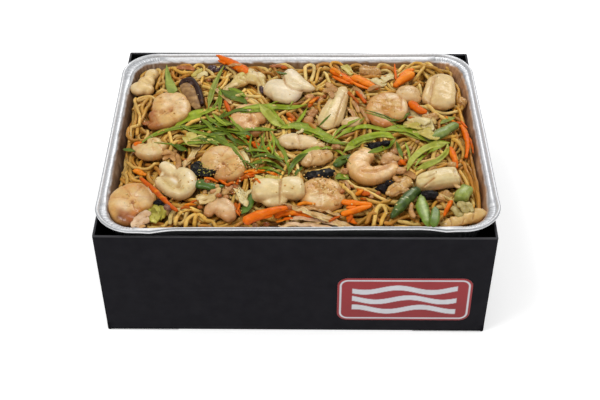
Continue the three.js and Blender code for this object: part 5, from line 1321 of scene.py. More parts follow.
class Heap:
    def __init__(self, H, ceil, limit):
        self.H, self.ceil, self.limit = H, ceil, limit
        self.strands = []

    def support(self, p, r):
        z = np.full(len(p), -1e9)
        for i, j, h in disc_offsets(r):
            a, b = cell(p[:, 0] + i, p[:, 1] + j)
            z = np.maximum(z, self.H[a, b] + h)
        return z

    def room(self, p, r):
        c = np.full(len(p), 1e9)
        for i, j, h in disc_offsets(r):
            a, b = cell(p[:, 0] + i, p[:, 1] + j)
            c = np.minimum(c, self.ceil[a, b] - h)
        return c

    def lay(self, xy, r, slack=2.0, free=False, minimum=10, tail=0.3, tuck=3.0, over=0.15):
        """Drop a strand onto the heap; returns the pieces that stay."""
        p = np.asarray(xy, float)
        zs = self.support(p, r)
        z = zs.copy()
        for _ in range(2):
            z = np.maximum(z, np.maximum(np.roll(z, 1), np.roll(z, -1)))
        z[0], z[-1] = zs[0], zs[-1]
        for _ in range(16):
            s = z.copy()
            s[1:-1] = 0.25 * z[:-2] + 0.5 * z[1:-1] + 0.25 * z[2:]
            s[0], s[-1] = 0.6 * z[0] + 0.4 * z[1], 0.6 * z[-1] + 0.4 * z[-2]
            z = np.maximum(zs - tail, s - 0.12)
        z += 0.02
        ok = z <= self.room(p, r) + 0.15
        a, b = cell(p[:, 0], p[:, 1])
        high = z + r * 0.5 > self.limit[a, b] + slack
        out, start = [], None
        for k in range(len(p) + 1):
            good = k < len(p) and ok[k]
            if good and start is None:
                start = k
            if not good and start is not None:
                if k - start >= minimum and (free or high[start:k].mean() < over):
                    out.append((start, k))
                start = None
        made = []
        for s0, s1 in out:
            q = np.column_stack([p[s0:s1], z[s0:s1]])
            m = len(q)
            room_, wx, wy = inside(q[:, 0], q[:, 1], wall_at(q[:, 2] - r) + r + 0.5)
            q[:, :2] += np.column_stack([wx, wy]) * -np.minimum(room_, 0)[:, None]
            if tuck:
                # the ends slip down between their neighbours
                k = np.arange(m)
                for e, d in ((k, tuck), (m - 1 - k, tuck)):
                    q[:, 2] -= d * np.clip(1 - e / 4.0, 0, 1) ** 1.4
            self.stamp(q, r)
            self.strands.append((q, r))
            made.append(q)
        return made

    def stamp(self, q, r):
        d = np.linalg.norm(np.diff(q, axis=0), axis=1)
        L = np.concatenate([[0], np.cumsum(d)])
        u = np.arange(0, L[-1] + 0.01, 0.8)
        f = np.stack([np.interp(u, L, q[:, k]) for k in range(3)], -1)
        for i, j, h in disc_offsets(r):
            a, b = cell(f[:, 0] + i, f[:, 1] + j)
            np.maximum.at(self.H, (a, b), f[:, 2] + h)


STEP = 3.0


def wander(rng, x, y, heading, n, bend, room_z=-11, steady=None):
    """A random smooth strand path that turns away from the tray's wall."""
    inset = wall_at(room_z) + 2.0
    out = [(x, y)]
    k = rng.normal(0, bend)
    target = rng.normal(0, bend) if steady is None else steady
    for i in range(n):
        if steady is None and rng.random() < 0.07:
            target = rng.normal(0, bend)
            if rng.random() < 0.18:
                target = rng.choice([-1, 1]) * rng.uniform(0.07, 0.12)
        k += (target - k) * 0.25 + rng.normal(0, 0.004)
        d, gx, gy = inside(np.array(x), np.array(y), inset)
        if d < 12:
            want = math.atan2(float(gy), float(gx))
            turn = math.atan2(math.sin(want - heading), math.cos(want - heading))
            if abs(turn) > 1.2:
                side_ = 1 if turn > 0 else -1
                k = side_ * min(0.22, (12 - float(d)) * 0.02 + 0.02)
        heading += k * STEP
        nx_, ny_ = x + STEP * math.cos(heading), y + STEP * math.sin(heading)
        d, gx, gy = inside(np.array(nx_), np.array(ny_), inset)
        if d < 0:
            nx_ += float(gx) * -float(d)
            ny_ += float(gy) * -float(d)
        x, y = nx_, ny_
        out.append((x, y))
    return np.array(out)


def offset_path(p, d):
    t = np.gradient(p, axis=0)
    t /= np.maximum(np.linalg.norm(t, axis=1, keepdims=True), 1e-9)
    return p + np.column_stack([-t[:, 1], t[:, 0]]) * np.asarray(d)[..., None]


def build_noodles():
    rng = np.random.default_rng(5)
    gx, gy = np.meshgrid(np.arange(GX) + X0 + 0.5, np.arange(GY) + Y0 + 0.5, indexing="ij")
    ceil = np.full((GX, GY), 1e3)
    top = np.full((GX, GY), -1e3)
    for v, o in TOPPED:
        a, b = cell(v[:, 0], v[:, 1])
        np.minimum.at(ceil, (a, b), v[:, 2])
        np.maximum.at(top, (a, b), v[:, 2])
    flat = np.column_stack([gx.ravel(), gy.ravel(), np.zeros(GX * GY)])
    level = food_level(gx, gy) + (1.6 * fbm(flat, 17, 301)).reshape(GX, GY) + 1.5
    core = build_core(spread(ceil, 3, np.minimum))
    H = food_level(gx, gy) - 10.5
    H = np.minimum(H, spread(ceil, 2, np.minimum) - 1.2)
    H = np.maximum(H, -27)
    out_of = inside(gx, gy, wall_at(-10) + 0.3)[0] < 0
    from_edge = inside(gx, gy, 0.0)[0]
    H = np.maximum(H, np.clip(-(from_edge - FLANGE) * TRAY_DEPTH / WALL_LEAN, -40, -3))
    H[out_of] = -3
    heap = Heap(H, ceil, level)
    free = ~out_of
    count = 0
    # strands that lie along the wall
    for it in range(150):
        side_ = it % 4
        a0 = rng.uniform(-1, 1)
        n = int(rng.uniform(9, 26))
        i_ = np.arange(n) * STEP
        off = wall_at(-8) + 2.2 + rng.uniform(0, 9) + 2.2 * np.sin(i_ / rng.uniform(9, 22) + rng.uniform(0, 6))
        if side_ in (0, 2):
            xs = a0 * 135 + i_ - n * STEP / 2
            p = np.column_stack([xs, (1 if side_ == 0 else -1) * (TRAY_D / 2 - off)])
        else:
            ys = a0 * 100 + i_ - n * STEP / 2
            p = np.column_stack([(1 if side_ == 1 else -1) * (TRAY_W / 2 - off), ys])
        r = rng.uniform(1.4, 1.75)
        d, ex, ey = inside(p[:, 0], p[:, 1], wall_at(-9) + r + 0.3)
        p = p + np.column_stack([ex, ey]) * -np.minimum(d, 0)[:, None]
        heap.lay(p, r, slack=1.5, minimum=8)
    for it in range(3000):
        if it % 10 == 0:
            need = np.where(free & (ceil > 500), level - heap.H, 0)
            w_ = (np.clip(need - 1.5, 0, 14) ** 2).ravel()
            tot = w_.sum()
            if tot < 9000 or count > 900:
                break
            cdf = np.cumsum(w_) / tot
        pick = int(np.searchsorted(cdf, rng.random()))
        x, y = gx.ravel()[pick], gy.ravel()[pick]
        n = int(rng.uniform(12, 34))
        h0 = rng.uniform(0, 2 * math.pi)
        # grow both ways from the lowest place
        p = np.vstack([wander(rng, x, y, h0 + math.pi, n, 0.026)[::-1], wander(rng, x, y, h0, n, 0.026)[1:]])
        r = rng.uniform(1.45, 1.85)
        many = rng.choice([1, 2, 3, 4], p=[0.34, 0.26, 0.22, 0.18])
        for b_ in range(many):
            off = (b_ - (many - 1) / 2) * 3.5 + 0.8 * np.sin(np.linspace(0, rng.uniform(2, 7), len(p)) + rng.uniform(0, 6))
            qq = offset_path(p, off) if many > 1 else p
            qq = qq[rng.integers(0, 5):len(qq) - rng.integers(0, 5)]
            d, ex, ey = inside(qq[:, 0], qq[:, 1], wall_at(-10) + r + 0.3)
            low = np.minimum(d, 0)
            qq = qq + np.column_stack([ex, ey]) * -low[:, None]
            for q in heap.lay(qq, r * rng.uniform(0.92, 1.06), slack=1.6):
                count += 1
    print("strands", count, "deficit", float(np.mean(np.clip(level - heap.H, 0, 20)[free])))
    return heap, ceil, top, level


def strand_mesh(strands, rng, sides=6):
    vs, fs, cs, base = [], [], [], 0
    tones = [srgb(224, 184, 96), srgb(214, 166, 72), srgb(202, 148, 56), srgb(232, 200, 122), srgb(220, 176, 86), srgb(184, 126, 46), srgb(228, 190, 104)]
    for q, r in strands:
        n = len(q)
        if n < 3:
            continue
        e = np.ones(n)
        e[0] = e[-1] = 0.8
        e *= 1 + 0.06 * np.sin(np.arange(n) * rng.uniform(0.3, 0.9) + rng.uniform(0, 6))
        t, s, u = frames(q)
        a = np.linspace(0, 2 * np.pi, sides, endpoint=False) + rng.uniform(0, 1)
        fl = rng.uniform(0.9, 1.1)
        v = q[:, None] + r * e[:, None, None] * (s[:, None] * (np.cos(a) * fl)[None, :, None] + u[:, None] * (np.sin(a) / fl)[None, :, None])
        v = v.reshape(-1, 3)
        f = grid_faces(n, sides)
        vs += [v, q[:1] - t[:1] * r * 0.45, q[-1:] + t[-1:] * r * 0.45]
        fs.append(f + base)
        caps = []
        for k in range(sides):
            caps.append([(k + 1) % sides, k, n * sides, n * sides])
            caps.append([(n - 1) * sides + k, (n - 1) * sides + (k + 1) % sides, n * sides + 1, n * sides + 1])
        fs.append(np.array(caps) + base)
        c = tones[rng.integers(len(tones))] * rng.uniform(0.86, 1.08)
        seed = int(rng.integers(1e6))
        tone = 1 + 0.14 * np.repeat(np.sin(np.arange(n) * rng.uniform(0.1, 0.4) + rng.uniform(0, 6)), sides)
        cc = np.tile(c, (n * sides, 1)) * tone[:, None]
        cs += [cc, c[None], c[None]]
        base += n * sides + 2
    v = np.vstack(vs)
    f = [[int(i) for i in q] if q[2] != q[3] else [int(i) for i in q[:3]] for q in np.vstack(fs)]
    c = np.vstack(cs)
    patch = smooth01(0.05, 0.75, fbm(v, 16, 411))
    c = mix(c, c * np.array([0.72, 0.58, 0.40]), 0.6 * patch)
    c = mix(c, c * np.array([0.92, 0.70, 0.50]), 0.35 * smooth01(0.2, 0.8, fbm(v, 7, 433)))
    # painted shade: strands near the left wall are darker
    c = mix(c, c * np.array([0.82, 0.70, 0.58]), 0.75 * (1 - smooth01(-138, -104, v[:, 0])))
    return v, f, c


def tris_of(strands, sides=6):
    return sum((len(q) - 1) * sides * 2 + sides * 2 for q, r in strands)


def finish_noodles(heap):
    rng = np.random.default_rng(9)
    groups, cur, n = [], [], 0
    for s in heap.strands:
        d, _, _ = inside(s[0][:, 0], s[0][:, 1], FLANGE)
        s[0][:, 2] = np.minimum(s[0][:, 2], 0.95 * np.maximum(d, 0) - s[1] - 3.2)
        t = tris_of([s])
        if n + t > 185000:
            groups.append(cur)
            cur, n = [], 0
        cur.append(s)
        n += t
    groups.append(cur)
    for k, g in enumerate(groups):
        v, f, c = strand_mesh(g, rng)
        o = mesh_object("noodle_strands_%s" % "abcdef"[k], v, f, colour=c)
        finish_piece(o, M_NOODLE, "noodle")
        print("noodles", k, len(g), len(f))


# =====================================================================
# things draped over the top
# =====================================================================
class Top:
    """The highest surface so far, on the 1 mm map."""

    def __init__(self, heap, top):
        t = top.copy()
        for _ in range(2):
            hole = t < -500
            t = np.where(hole, np.where(spread(t, 1, np.maximum) > -500, spread(t, 1, np.maximum) - 0.8, t), t)
        self.M = np.maximum(heap.H, t)

    def height(self, xy, r):
        z = np.full(len(xy), -1e9)
        for i, j, h in disc_offsets(r):
            a, b = cell(xy[:, 0] + i, xy[:, 1] + j)
            z = np.maximum(z, self.M[a, b] + h - r)
        return z

    def path(self, px, step=1.5, r=1.0, lift=0.4, taut=10, guess=0.0, drop=0.10):
        """px: rows (x, y[, extra lift]) in frame units; a draped path in mm."""
        p = np.array([(q[0], q[1], q[2] if len(q) > 2 else 0.0) for q in px], float)
        if len(p) == 2:
            p = np.vstack([p[0], (p[0] + p[1]) / 2, p[1]])
        q = spline(np.column_stack([p[:, :2], np.zeros(len(p)), p[:, 2]]), step=step)
        z = np.full(len(q), guess)
        for _ in range(4):
            xyz = np.array([at(a, b, c) for (a, b), c in zip(q[:, :2], z)])
            zs = self.height(xyz[:, :2], r) + lift
            zz = zs.copy()
            for _ in range(2):
                zz = np.maximum(zz, np.maximum(np.roll(zz, 1), np.roll(zz, -1)))
            zz[0], zz[-1] = zs[0], zs[-1]
            for _ in range(taut):
                s_ = zz.copy()
                s_[1:-1] = 0.25 * zz[:-2] + 0.5 * zz[1:-1] + 0.25 * zz[2:]
                zz = np.maximum(zs - 0.25, s_ - drop)
            z = zz + q[:, 3]
        xyz = np.array([at(a, b, c) for (a, b), c in zip(q[:, :2], z)])
        return xyz

    def stamp(self, path, r, h=0.0):
        d = np.linalg.norm(np.diff(path, axis=0), axis=1)
        L = np.concatenate([[0], np.cumsum(d)])
        u = np.arange(0, L[-1] + 0.01, 0.7)
        f = np.stack([np.interp(u, L, path[:, k]) for k in range(3)], -1)
        for i, j, hh in disc_offsets(r):
            a, b = cell(f[:, 0] + i, f[:, 1] + j)
            np.maximum.at(self.M, (a, b), f[:, 2] + h)

    def spot(self, x, y, r=1.0):
        z = 0.0
        for _ in range(4):
            p = at(x, y, z)
            z = float(self.height(p[None, :2], r)[0])
        return at(x, y, z)


GREEN = {"bright": (srgb(122, 142, 24), srgb(156, 170, 48)), "light": (srgb(140, 148, 42), srgb(176, 178, 76)), "dark": (srgb(72, 94, 20), srgb(100, 118, 32)), "mid": (srgb(98, 120, 22), srgb(130, 146, 38)),
         "leafy": (srgb(122, 138, 50), srgb(150, 160, 72)), "olive": (srgb(110, 124, 42), srgb(146, 152, 62))}

BLADES = [  # path, width in frame units, tone, cup, twist, tips
    ([(178, 131), (194, 128), (210, 130), (226, 134)], 3, "bright", 0.1, 0, (1, 1)), ([(190, 140), (204, 137), (218, 138), (232, 143)], 3, "mid", 0.1, 0, (1, 1)), ([(205, 122), (214, 127), (222, 135), (228, 144)], 3, "dark", 0.1, 0, (1, 1)),
    ([(214, 116), (226, 121), (238, 129), (246, 139)], 3, "mid", 0.1, 0, (1, 1)), ([(222, 109), (230, 117), (236, 126), (238, 136)], 3, "bright", 0.1, 0, (1, 1)), ([(198, 124), (212, 122), (226, 123), (240, 127)], 3, "dark", 0.1, 0, (1, 1)),
    ([(232, 132), (242, 138), (250, 146), (256, 156)], 3, "mid", 0.1, 0, (1, 1)), ([(240, 142), (246, 150), (256, 154), (266, 158)], 2.6, "dark", 0.1, 0, (1, 1)), ([(255, 140), (259, 148), (268, 146), (274, 138)], 2.4, "mid", 0.1, 0, (1, 1)),
    ([(268, 138), (272, 150), (280, 158), (288, 160)], 3, "bright", 0.1, 0, (1, 1)), ([(248, 166), (258, 161), (270, 161), (282, 168)], 2.6, "mid", 0.1, 0, (1, 1)), ([(262, 172), (272, 170), (284, 176)], 2.6, "dark", 0.1, 0, (1, 1)),
    ([(296, 128), (312, 129), (326, 135), (340, 143)], 3, "light", 0.1, 0, (1, 1)), ([(244, 108), (262, 109), (280, 109), (298, 108)], 3, "light", 0.1, 0, (1, 1)), ([(210, 110), (216, 104), (219, 96)], 3, "mid", 0.1, 0, (1, 1)),
    ([(384, 133), (400, 132), (416, 137), (434, 143)], 3.4, "light", 0.1, 0, (1, 1)), ([(350, 149), (362, 142), (376, 139)], 3.4, "light", 0.1, 0, (1, 1)), ([(411, 164), (420, 154), (432, 148)], 3, "light", 0.1, 0, (1, 1)),
    ([(174, 128), (187, 119), (202, 112.5), (217, 108)], 9.5, "bright", 0.10, -6, (1.1, 1)),
    ([(136, 147, -1), (152, 136), (170, 129.5), (190, 126), (208, 126)], 5, "mid", 0.1, 6, (1.4, 1)),
    ([(154, 142.5), (175, 144), (196, 142.5), (220, 142.5), (243, 146)], 3.8, "mid", 0.1, 0, (1.2, 1.2)),
    ([(184, 127), (198, 132.5), (215, 138), (230, 147.5), (241, 158), (247, 170)], 5.6, "dark", 0.10, 8, (1, 1.2)),
    ([(180, 126), (192, 131), (206, 134), (222, 139), (236, 149)], 3.6, "mid", 0.1, 0, (1, 1)),
    ([(225, 64), (218.5, 76), (212, 92), (208, 109)], 7, "olive", 0.1, -8, (1.6, 0.8)),
    ([(219, 86), (220.5, 98), (219, 112)], 5.4, "mid", 0.1, 6, (1, 1)),
    ([(221, 90), (231, 95), (240, 99), (247, 104)], 9, "dark", 0.08, 0, (1, 1)),
    ([(228, 88), (238, 92), (246, 97)], 6, "mid", 0.1, 0, (1, 1)),
    ([(232, 110.5), (252, 107), (272, 106.5), (292, 107.5), (307, 104.5)], 6.4, "bright", 0.1, 4, (1.4, 1)),
    ([(240, 113), (258, 110.5), (276, 111)], 3.6, "mid", 0.1, 0, (1, 1)),
    ([(272, 103, 1), (285, 99, 2), (297, 96, 1.5)], 2.0, "bright", 0.0, 0, (1, 1)),
    ([(297, 96, 1.5), (293, 101, 1.5), (290, 106, 0.6)], 2.0, "bright", 0.0, 0, (1, 1)),
    ([(259, 103), (266, 112), (275, 121), (290, 130)], 10.5, "light", 0.10, -6, (1, 1.1)),
    ([(264, 104), (271, 110), (278, 118), (284, 125)], 4, "bright", 0.1, 0, (1, 1)),
    ([(307, 108), (301, 118), (293, 127)], 4.6, "bright", 0.1, 8, (1, 1)),
    ([(277, 128), (296, 126), (314, 130), (330, 138.5), (347, 146)], 8.6, "bright", 0.10, -4, (1, 1.2)),
    ([(300, 131), (316, 135), (332, 142), (350, 143)], 5, "mid", 0.1, 0, (1, 1.2)),
    ([(318, 127), (324, 121), (331, 114)], 2.2, "dark", 0.0, 0, (1, 1)),
    ([(331, 141), (338, 131), (348, 124), (361, 118)], 3.4, "bright", 0.1, 6, (1, 1)),
    ([(269, 130), (277, 142), (285, 155), (289.5, 174)], 5.6, "mid", 0.1, -8, (1, 1)),
    ([(290, 172), (297, 160), (309, 151), (324, 147.5), (338, 151), (351, 164)], [7, 6.5, 5, 3.6, 2.6, 2], "bright", 0.1, 8, (0.8, 1)),
    ([(288, 176), (292, 166), (299, 158), (308, 153)], 6.4, "dark", 0.1, 0, (1, 1)),
    ([(335, 139, 0.4), (348, 130.5, 0.8), (364, 126.5, 0.8), (378, 128.5, 0.6), (392, 131, 0.4)], 5, "bright", 0.1, 10, (0.8, 0.8)),
    ([(343, 153, 0.6), (354, 142.5, 1.2), (368, 137, 1.4), (384, 134.5, 1.2), (396, 138.5, 1)], 6, "bright", 0.1, 14, (0.5, 0.5)),
    ([(396, 138.5, 1), (389, 145, 0.8), (378, 150, 0.6), (368, 152.5, 0.2)], 5, "mid", 0.0, -14, (0.5, 0.8)),
    ([(345, 151), (353, 146), (362, 143)], 6, "light", 0.1, 0, (1, 1)),
    ([(380, 131), (396, 128.5), (412, 131), (428, 139), (450, 143)], 9, "bright", 0.12, -6, (1, 1)),
    ([(407, 171, 0.4), (412, 160, 1), (422, 150.5, 1.4), (434, 145, 1.6), (448, 143, 1.4)], 6, "light", 0.1, 12, (0.6, 0.5)),
    ([(448, 143, 1.4), (446.5, 152, 1), (438, 160, 0.8), (426, 165.5, 0.5), (415, 170, 0.2)], 5, "light", 0.1, -12, (0.5, 0.8)),
    ([(414, 168), (422, 157, 0.5), (432, 150.5, 0.8), (442, 147, 0.8)], 4, "bright", 0.1, 0, (1, 1)),
    ([(405, 142), (408, 150), (410, 160)], 3.2, "bright", 0.1, 6, (1, 1)),
    ([(396, 141), (399, 149), (403, 158)], 5, "dark", 0.1, 0, (1, 1)),
    ([(364, 112), (376, 115), (388, 119.5), (399, 128)], 1.7, "mid", 0.0, 0, (1, 1)),
    ([(366, 110), (378, 113.5), (390, 118), (398, 125)], 1.5, "dark", 0.0, 0, (1, 1)),
    ([(390, 121.5), (400, 118), (410, 112.5)], 6, "dark", 0.1, 0, (1.2, 1.2)),
    ([(350, 131), (357, 124), (365, 117)], 2, "mid", 0.0, 0, (1, 1)),
    ([(334, 163), (341, 158), (349, 156)], 5, "dark", 0.1, 0, (1, 1)),
    ([(196, 129), (207, 125), (218, 119), (226, 111)], 5.6, "dark", 0.1, -6, (1, 1)),
    ([(204, 112), (211, 120), (222, 124), (234, 124)], 5, "mid", 0.1, 6, (1, 1)),
    ([(207, 130), (220, 129), (234, 131), (247, 138)], 5.6, "mid", 0.1, 4, (1, 1)),
    ([(213, 122), (224, 130), (232, 139), (238, 148)], 5, "dark", 0.1, 0, (1, 1)),
    ([(221, 118), (230, 113), (239, 110), (249, 111)], 4.6, "dark", 0.1, 0, (1, 1)),
    ([(226, 129), (240, 130), (256, 129), (277, 130)], 5, "mid", 0.1, -4, (1, 1)),
    ([(228, 137), (239, 142), (248, 145)], 4.6, "dark", 0.1, 0, (1, 1)),
    ([(200, 118), (208, 124), (214, 132)], 4.4, "mid", 0.1, 0, (1, 1)),
    ([(206, 136), (216, 134), (228, 134)], 4, "dark", 0.1, 0, (1, 1)),
    ([(212, 113), (219, 120), (227, 126)], 4.4, "bright", 0.1, 0, (1, 1)),
    ([(232, 122), (240, 128), (246, 136)], 4, "mid", 0.1, 0, (1, 1)),
    ([(198, 138), (208, 140), (219, 146)], 4.4, "dark", 0.1, 0, (1, 1)),
    ([(222, 143), (232, 146), (240, 152)], 4.6, "mid", 0.1, 0, (1, 1)),
    ([(236, 134), (246, 133), (254, 137)], 4.4, "dark", 0.1, 0, (1, 1)),
    ([(252, 134), (250, 146), (253, 157)], 3.2, "mid", 0.1, 0, (1, 1)),
    ([(258, 132), (262, 142), (258, 152), (262, 162)], 3.2, "dark", 0.1, 0, (1, 1)),
    ([(265, 131, 0.6), (263, 143, 0.8), (268, 153, 0.6), (277, 160, 0.2)], 3.4, "mid", 0.0, 10, (1, 1)),
    ([(272, 133), (274, 146), (271, 157)], 2.8, "bright", 0.0, 10, (1, 1)),
    ([(250, 158), (262, 155), (274, 157), (284, 163)], 3.8, "dark", 0.1, 6, (1, 1)),
    ([(252, 164), (264, 162), (276, 166), (286, 172)], 4.2, "dark", 0.1, 0, (1, 1)),
    ([(256, 169), (268, 168), (280, 173)], 3.4, "mid", 0.1, 0, (1, 1)),
    ([(246, 152), (256, 150), (268, 152)], 3.4, "mid", 0.1, 0, (1, 1)),
    ([(243, 160), (250, 164), (258, 170)], 3.4, "dark", 0.1, 0, (1, 1)),
    ([(123, 149), (129, 150), (135, 151.5)], 4.6, "dark", 0.1, 0, (1, 1)),
    ([(166.5, 64, 1.5), (167.5, 74, 1), (170, 84, 0.6), (173.5, 93, 0)], [1, 4, 7, 10, 12.5], "leafy", 0.05, 0, (0.5, 0.2)),
    ([(171, 144), (180, 148), (188, 151)], 6, "dark", 0.1, 0, (1, 1)),
    ([(276, 71), (281, 73), (287, 74)], 3.6, "dark", 0.1, 0, (1, 1)),
    ([(303, 166), (297, 172), (293, 178)], 4, "dark", 0.1, 0, (1, 1)),
    ([(336, 179), (342, 176.5), (349, 179)], 8, "mid", 0.1, 0, (1, 1)),
    ([(440, 124), (447, 120), (455, 117)], 6, "olive", 0.1, 0, (1, 1)),
]


def px_mm(x, y):
    return 1000.0 / CAM_F * 0 + 0.90 + 0.0012 * (130 - y)


def build_blades(T):
    vs, fs, cs, base = [], [], [], 0
    for k, (pts, w_, tone, cup, twist, tips) in enumerate(BLADES):
        wmax = float(np.max(w_))
        path = T.path(pts, step=1.5, r=max(0.8, wmax * 0.26), lift=0.4, taut=12)
        n = len(path)
        w_px = np.interp(np.linspace(0, 1, n), np.linspace(0, 1, np.size(w_)), np.atleast_1d(w_))
        wide = screen_width(path, frames(path)[1], w_px)
        wide = np.minimum(wide * (0.94 if tone in ("leafy", "light") else 0.90 if wmax >= 8 else 0.76), 12.5)
        v, f, uu, su = ribbon(path, list(wide), 0.4, cup * 0.5, twist, tips, seed=k, blunt=0.3)
        T.stamp(path, max(0.8, wmax * 0.4), 0.25)
        a, b = GREEN[tone]
        streak = vnoise(np.column_stack([uu * 3.0, su * 3.2, np.full(len(su), k * 2.3)]), 1.0, 7)
        c = mix(np.tile(a * 0.9, (len(v), 1)), b * 1.06, smooth01(-0.7, 0.7, streak + 0.3 * np.abs(su)))
        c = mix(c, srgb(180, 180, 80), 0.42 * smooth01(0.3, 0.9, vnoise(np.column_stack([uu * 1.4, su * 1.8, np.full(len(su), k * 5.1)]), 1.0, 9)))
        c = mix(c, a * 0.62, 0.6 * smooth01(0.2, 0.9, vnoise(np.column_stack([uu * 3.0, su * 0.8, np.full(len(su), k * 3.3)]), 1.0, 19)))
        vs.append(v); cs.append(c)
        fs += [[i + base for i in q] for q in f]
        base += len(v)
    o = mesh_object("spring_onion", np.vstack(vs), fs, colour=np.vstack(cs))
    return finish_piece(o, M_LEEK, "spring_onion")


SHREDS = [  # carrot shreds: path, width (frame units), height (mm)
    ([(236, 184), (242, 178), (250, 174), (259, 172), (268, 172), (278, 175)], 3.2, 2.4), ([(237, 182), (246, 177), (254, 176)], 4, 3), ([(249, 171), (258, 170), (268, 172), (276, 176)], 2.4, 2),
    ([(222, 183), (227, 179), (233, 177)], 3.4, 2.6), ([(218, 179), (224, 183), (230, 186)], 2.6, 2), ([(226, 186), (232, 183), (238, 184)], 3, 2.4), ([(243, 173), (251, 171), (258, 173)], 2.4, 2), ([(240, 179), (246, 176), (251, 178)], 2.6, 2),
    ([(241, 137), (247, 136), (251, 140)], 6, 4), ([(309, 107), (313, 101), (319, 97)], 5.4, 3.5), ([(310, 103), (316, 99)], 3, 2.6), ([(287, 113), (291, 116), (295, 120)], 5, 3.4), ([(288, 118), (293, 121)], 3, 2.6),
    ([(357, 189), (363, 193), (370, 194)], 5, 4), ([(356, 195), (363, 190)], 4, 3), ([(399, 164), (403, 162), (408, 160)], 5.4, 4), ([(400, 160), (406, 165)], 4, 3),
    ([(187, 208), (191, 203), (197, 200)], 2.6, 2.4), ([(184, 206), (190, 204), (196, 205)], 2.4, 2.2), ([(180, 209), (186, 207), (192, 209)], 2.2, 2), ([(347, 217), (351, 220), (356, 223)], 6, 4), ([(352, 215), (348, 222)], 4.4, 3),
    ([(134, 170), (140, 172.5), (146, 175)], 6, 2.6), ([(235, 203), (238, 208), (241, 214)], 4, 3), ([(240, 203), (238, 211)], 2.6, 2.4), ([(236, 210), (240, 216)], 3, 2.4),
    ([(258, 146), (266, 149), (272, 147)], 5, 4), ([(256, 151), (262, 153)], 4, 3.4), ([(244, 141), (250, 143), (256, 142)], 4, 3),
    ([(281, 67), (287, 68)], 4, 3), ([(331, 68), (337, 71), (342, 76)], 4, 3), ([(348, 92), (353, 97), (359, 103)], 3.4, 2.6),
    ([(134, 145), (138, 143), (142, 143)], 4.4, 2.4), ([(457, 122), (461, 124)], 4.4, 3), ([(297, 205), (305, 203), (315, 204)], 3.4, 3), ([(286, 216), (294, 212), (302, 212)], 3, 2.6),
    ([(260, 183), (256, 179), (252, 181)], 2.4, 2.2), ([(470, 138), (472, 146), (473, 153)], 3.4, 2.8), ([(446, 117), (451, 120), (455, 122)], 3, 2.4),
    ([(360, 198), (367, 200)], 3, 2.4), ([(204, 178), (211, 179), (218, 182)], 2.8, 2.2), ([(325, 222), (333, 219), (340, 216)], 3.2, 2.4), ([(276, 222), (284, 220)], 2.8, 2.2), ([(408, 118), (414, 117)], 2.6, 2.2),
]


def build_shreds(T):
    parts, cols = [], []
    for k, (pts, w_, h) in enumerate(SHREDS):
        path = T.path(pts, step=1.2, r=max(0.9, w_ * 0.3), lift=h * 0.3, taut=16)
        n = len(path)
        side_ = frames(path)[1]
        line = np.column_stack([np.arange(n) * 1.2, np.full(n, k * 5.7), np.zeros(n)])
        taper = np.interp(np.linspace(0, 1, n), [0, 0.15, 0.6, 1], [0.5, 1, 0.95, 0.45])
        wide = screen_width(path, side_, w_ * 0.74) / 2 * taper * (1 + 0.22 * vnoise(line, 4, 3))
        tall = np.full(n, h * 0.36) * taper * (1 + 0.2 * vnoise(line, 5, 9))
        v, f = tube(path, wide, tall, 8, 2.5)
        v = v + 0.4 * np.column_stack([vnoise(v, 2.4, k), vnoise(v, 2.4, k + 50), 0.6 * vnoise(v, 2.4, k + 90)])
        T.stamp(path, w_ * 0.36, h * 0.3)
        tone = [srgb(226, 98, 2), srgb(196, 82, 4), srgb(232, 124, 18), srgb(184, 84, 12)][k % 4]
        c = mix(np.tile(tone, (len(v), 1)), tone * 0.55, 0.7 * smooth01(0.0, 0.8, fbm(v, 4, k)))
        c = mix(c, srgb(240, 150, 60), 0.4 * smooth01(0.3, 0.9, vnoise(v, 2.2, k + 7)))
        parts.append((v, f)); cols.append(c)
    v, f = stack(parts)
    o = mesh_object("carrot_shreds", v, f, colour=np.vstack(cols) * CARROT_HUE)
    return finish_piece(o, M_CARROT, "carrot")


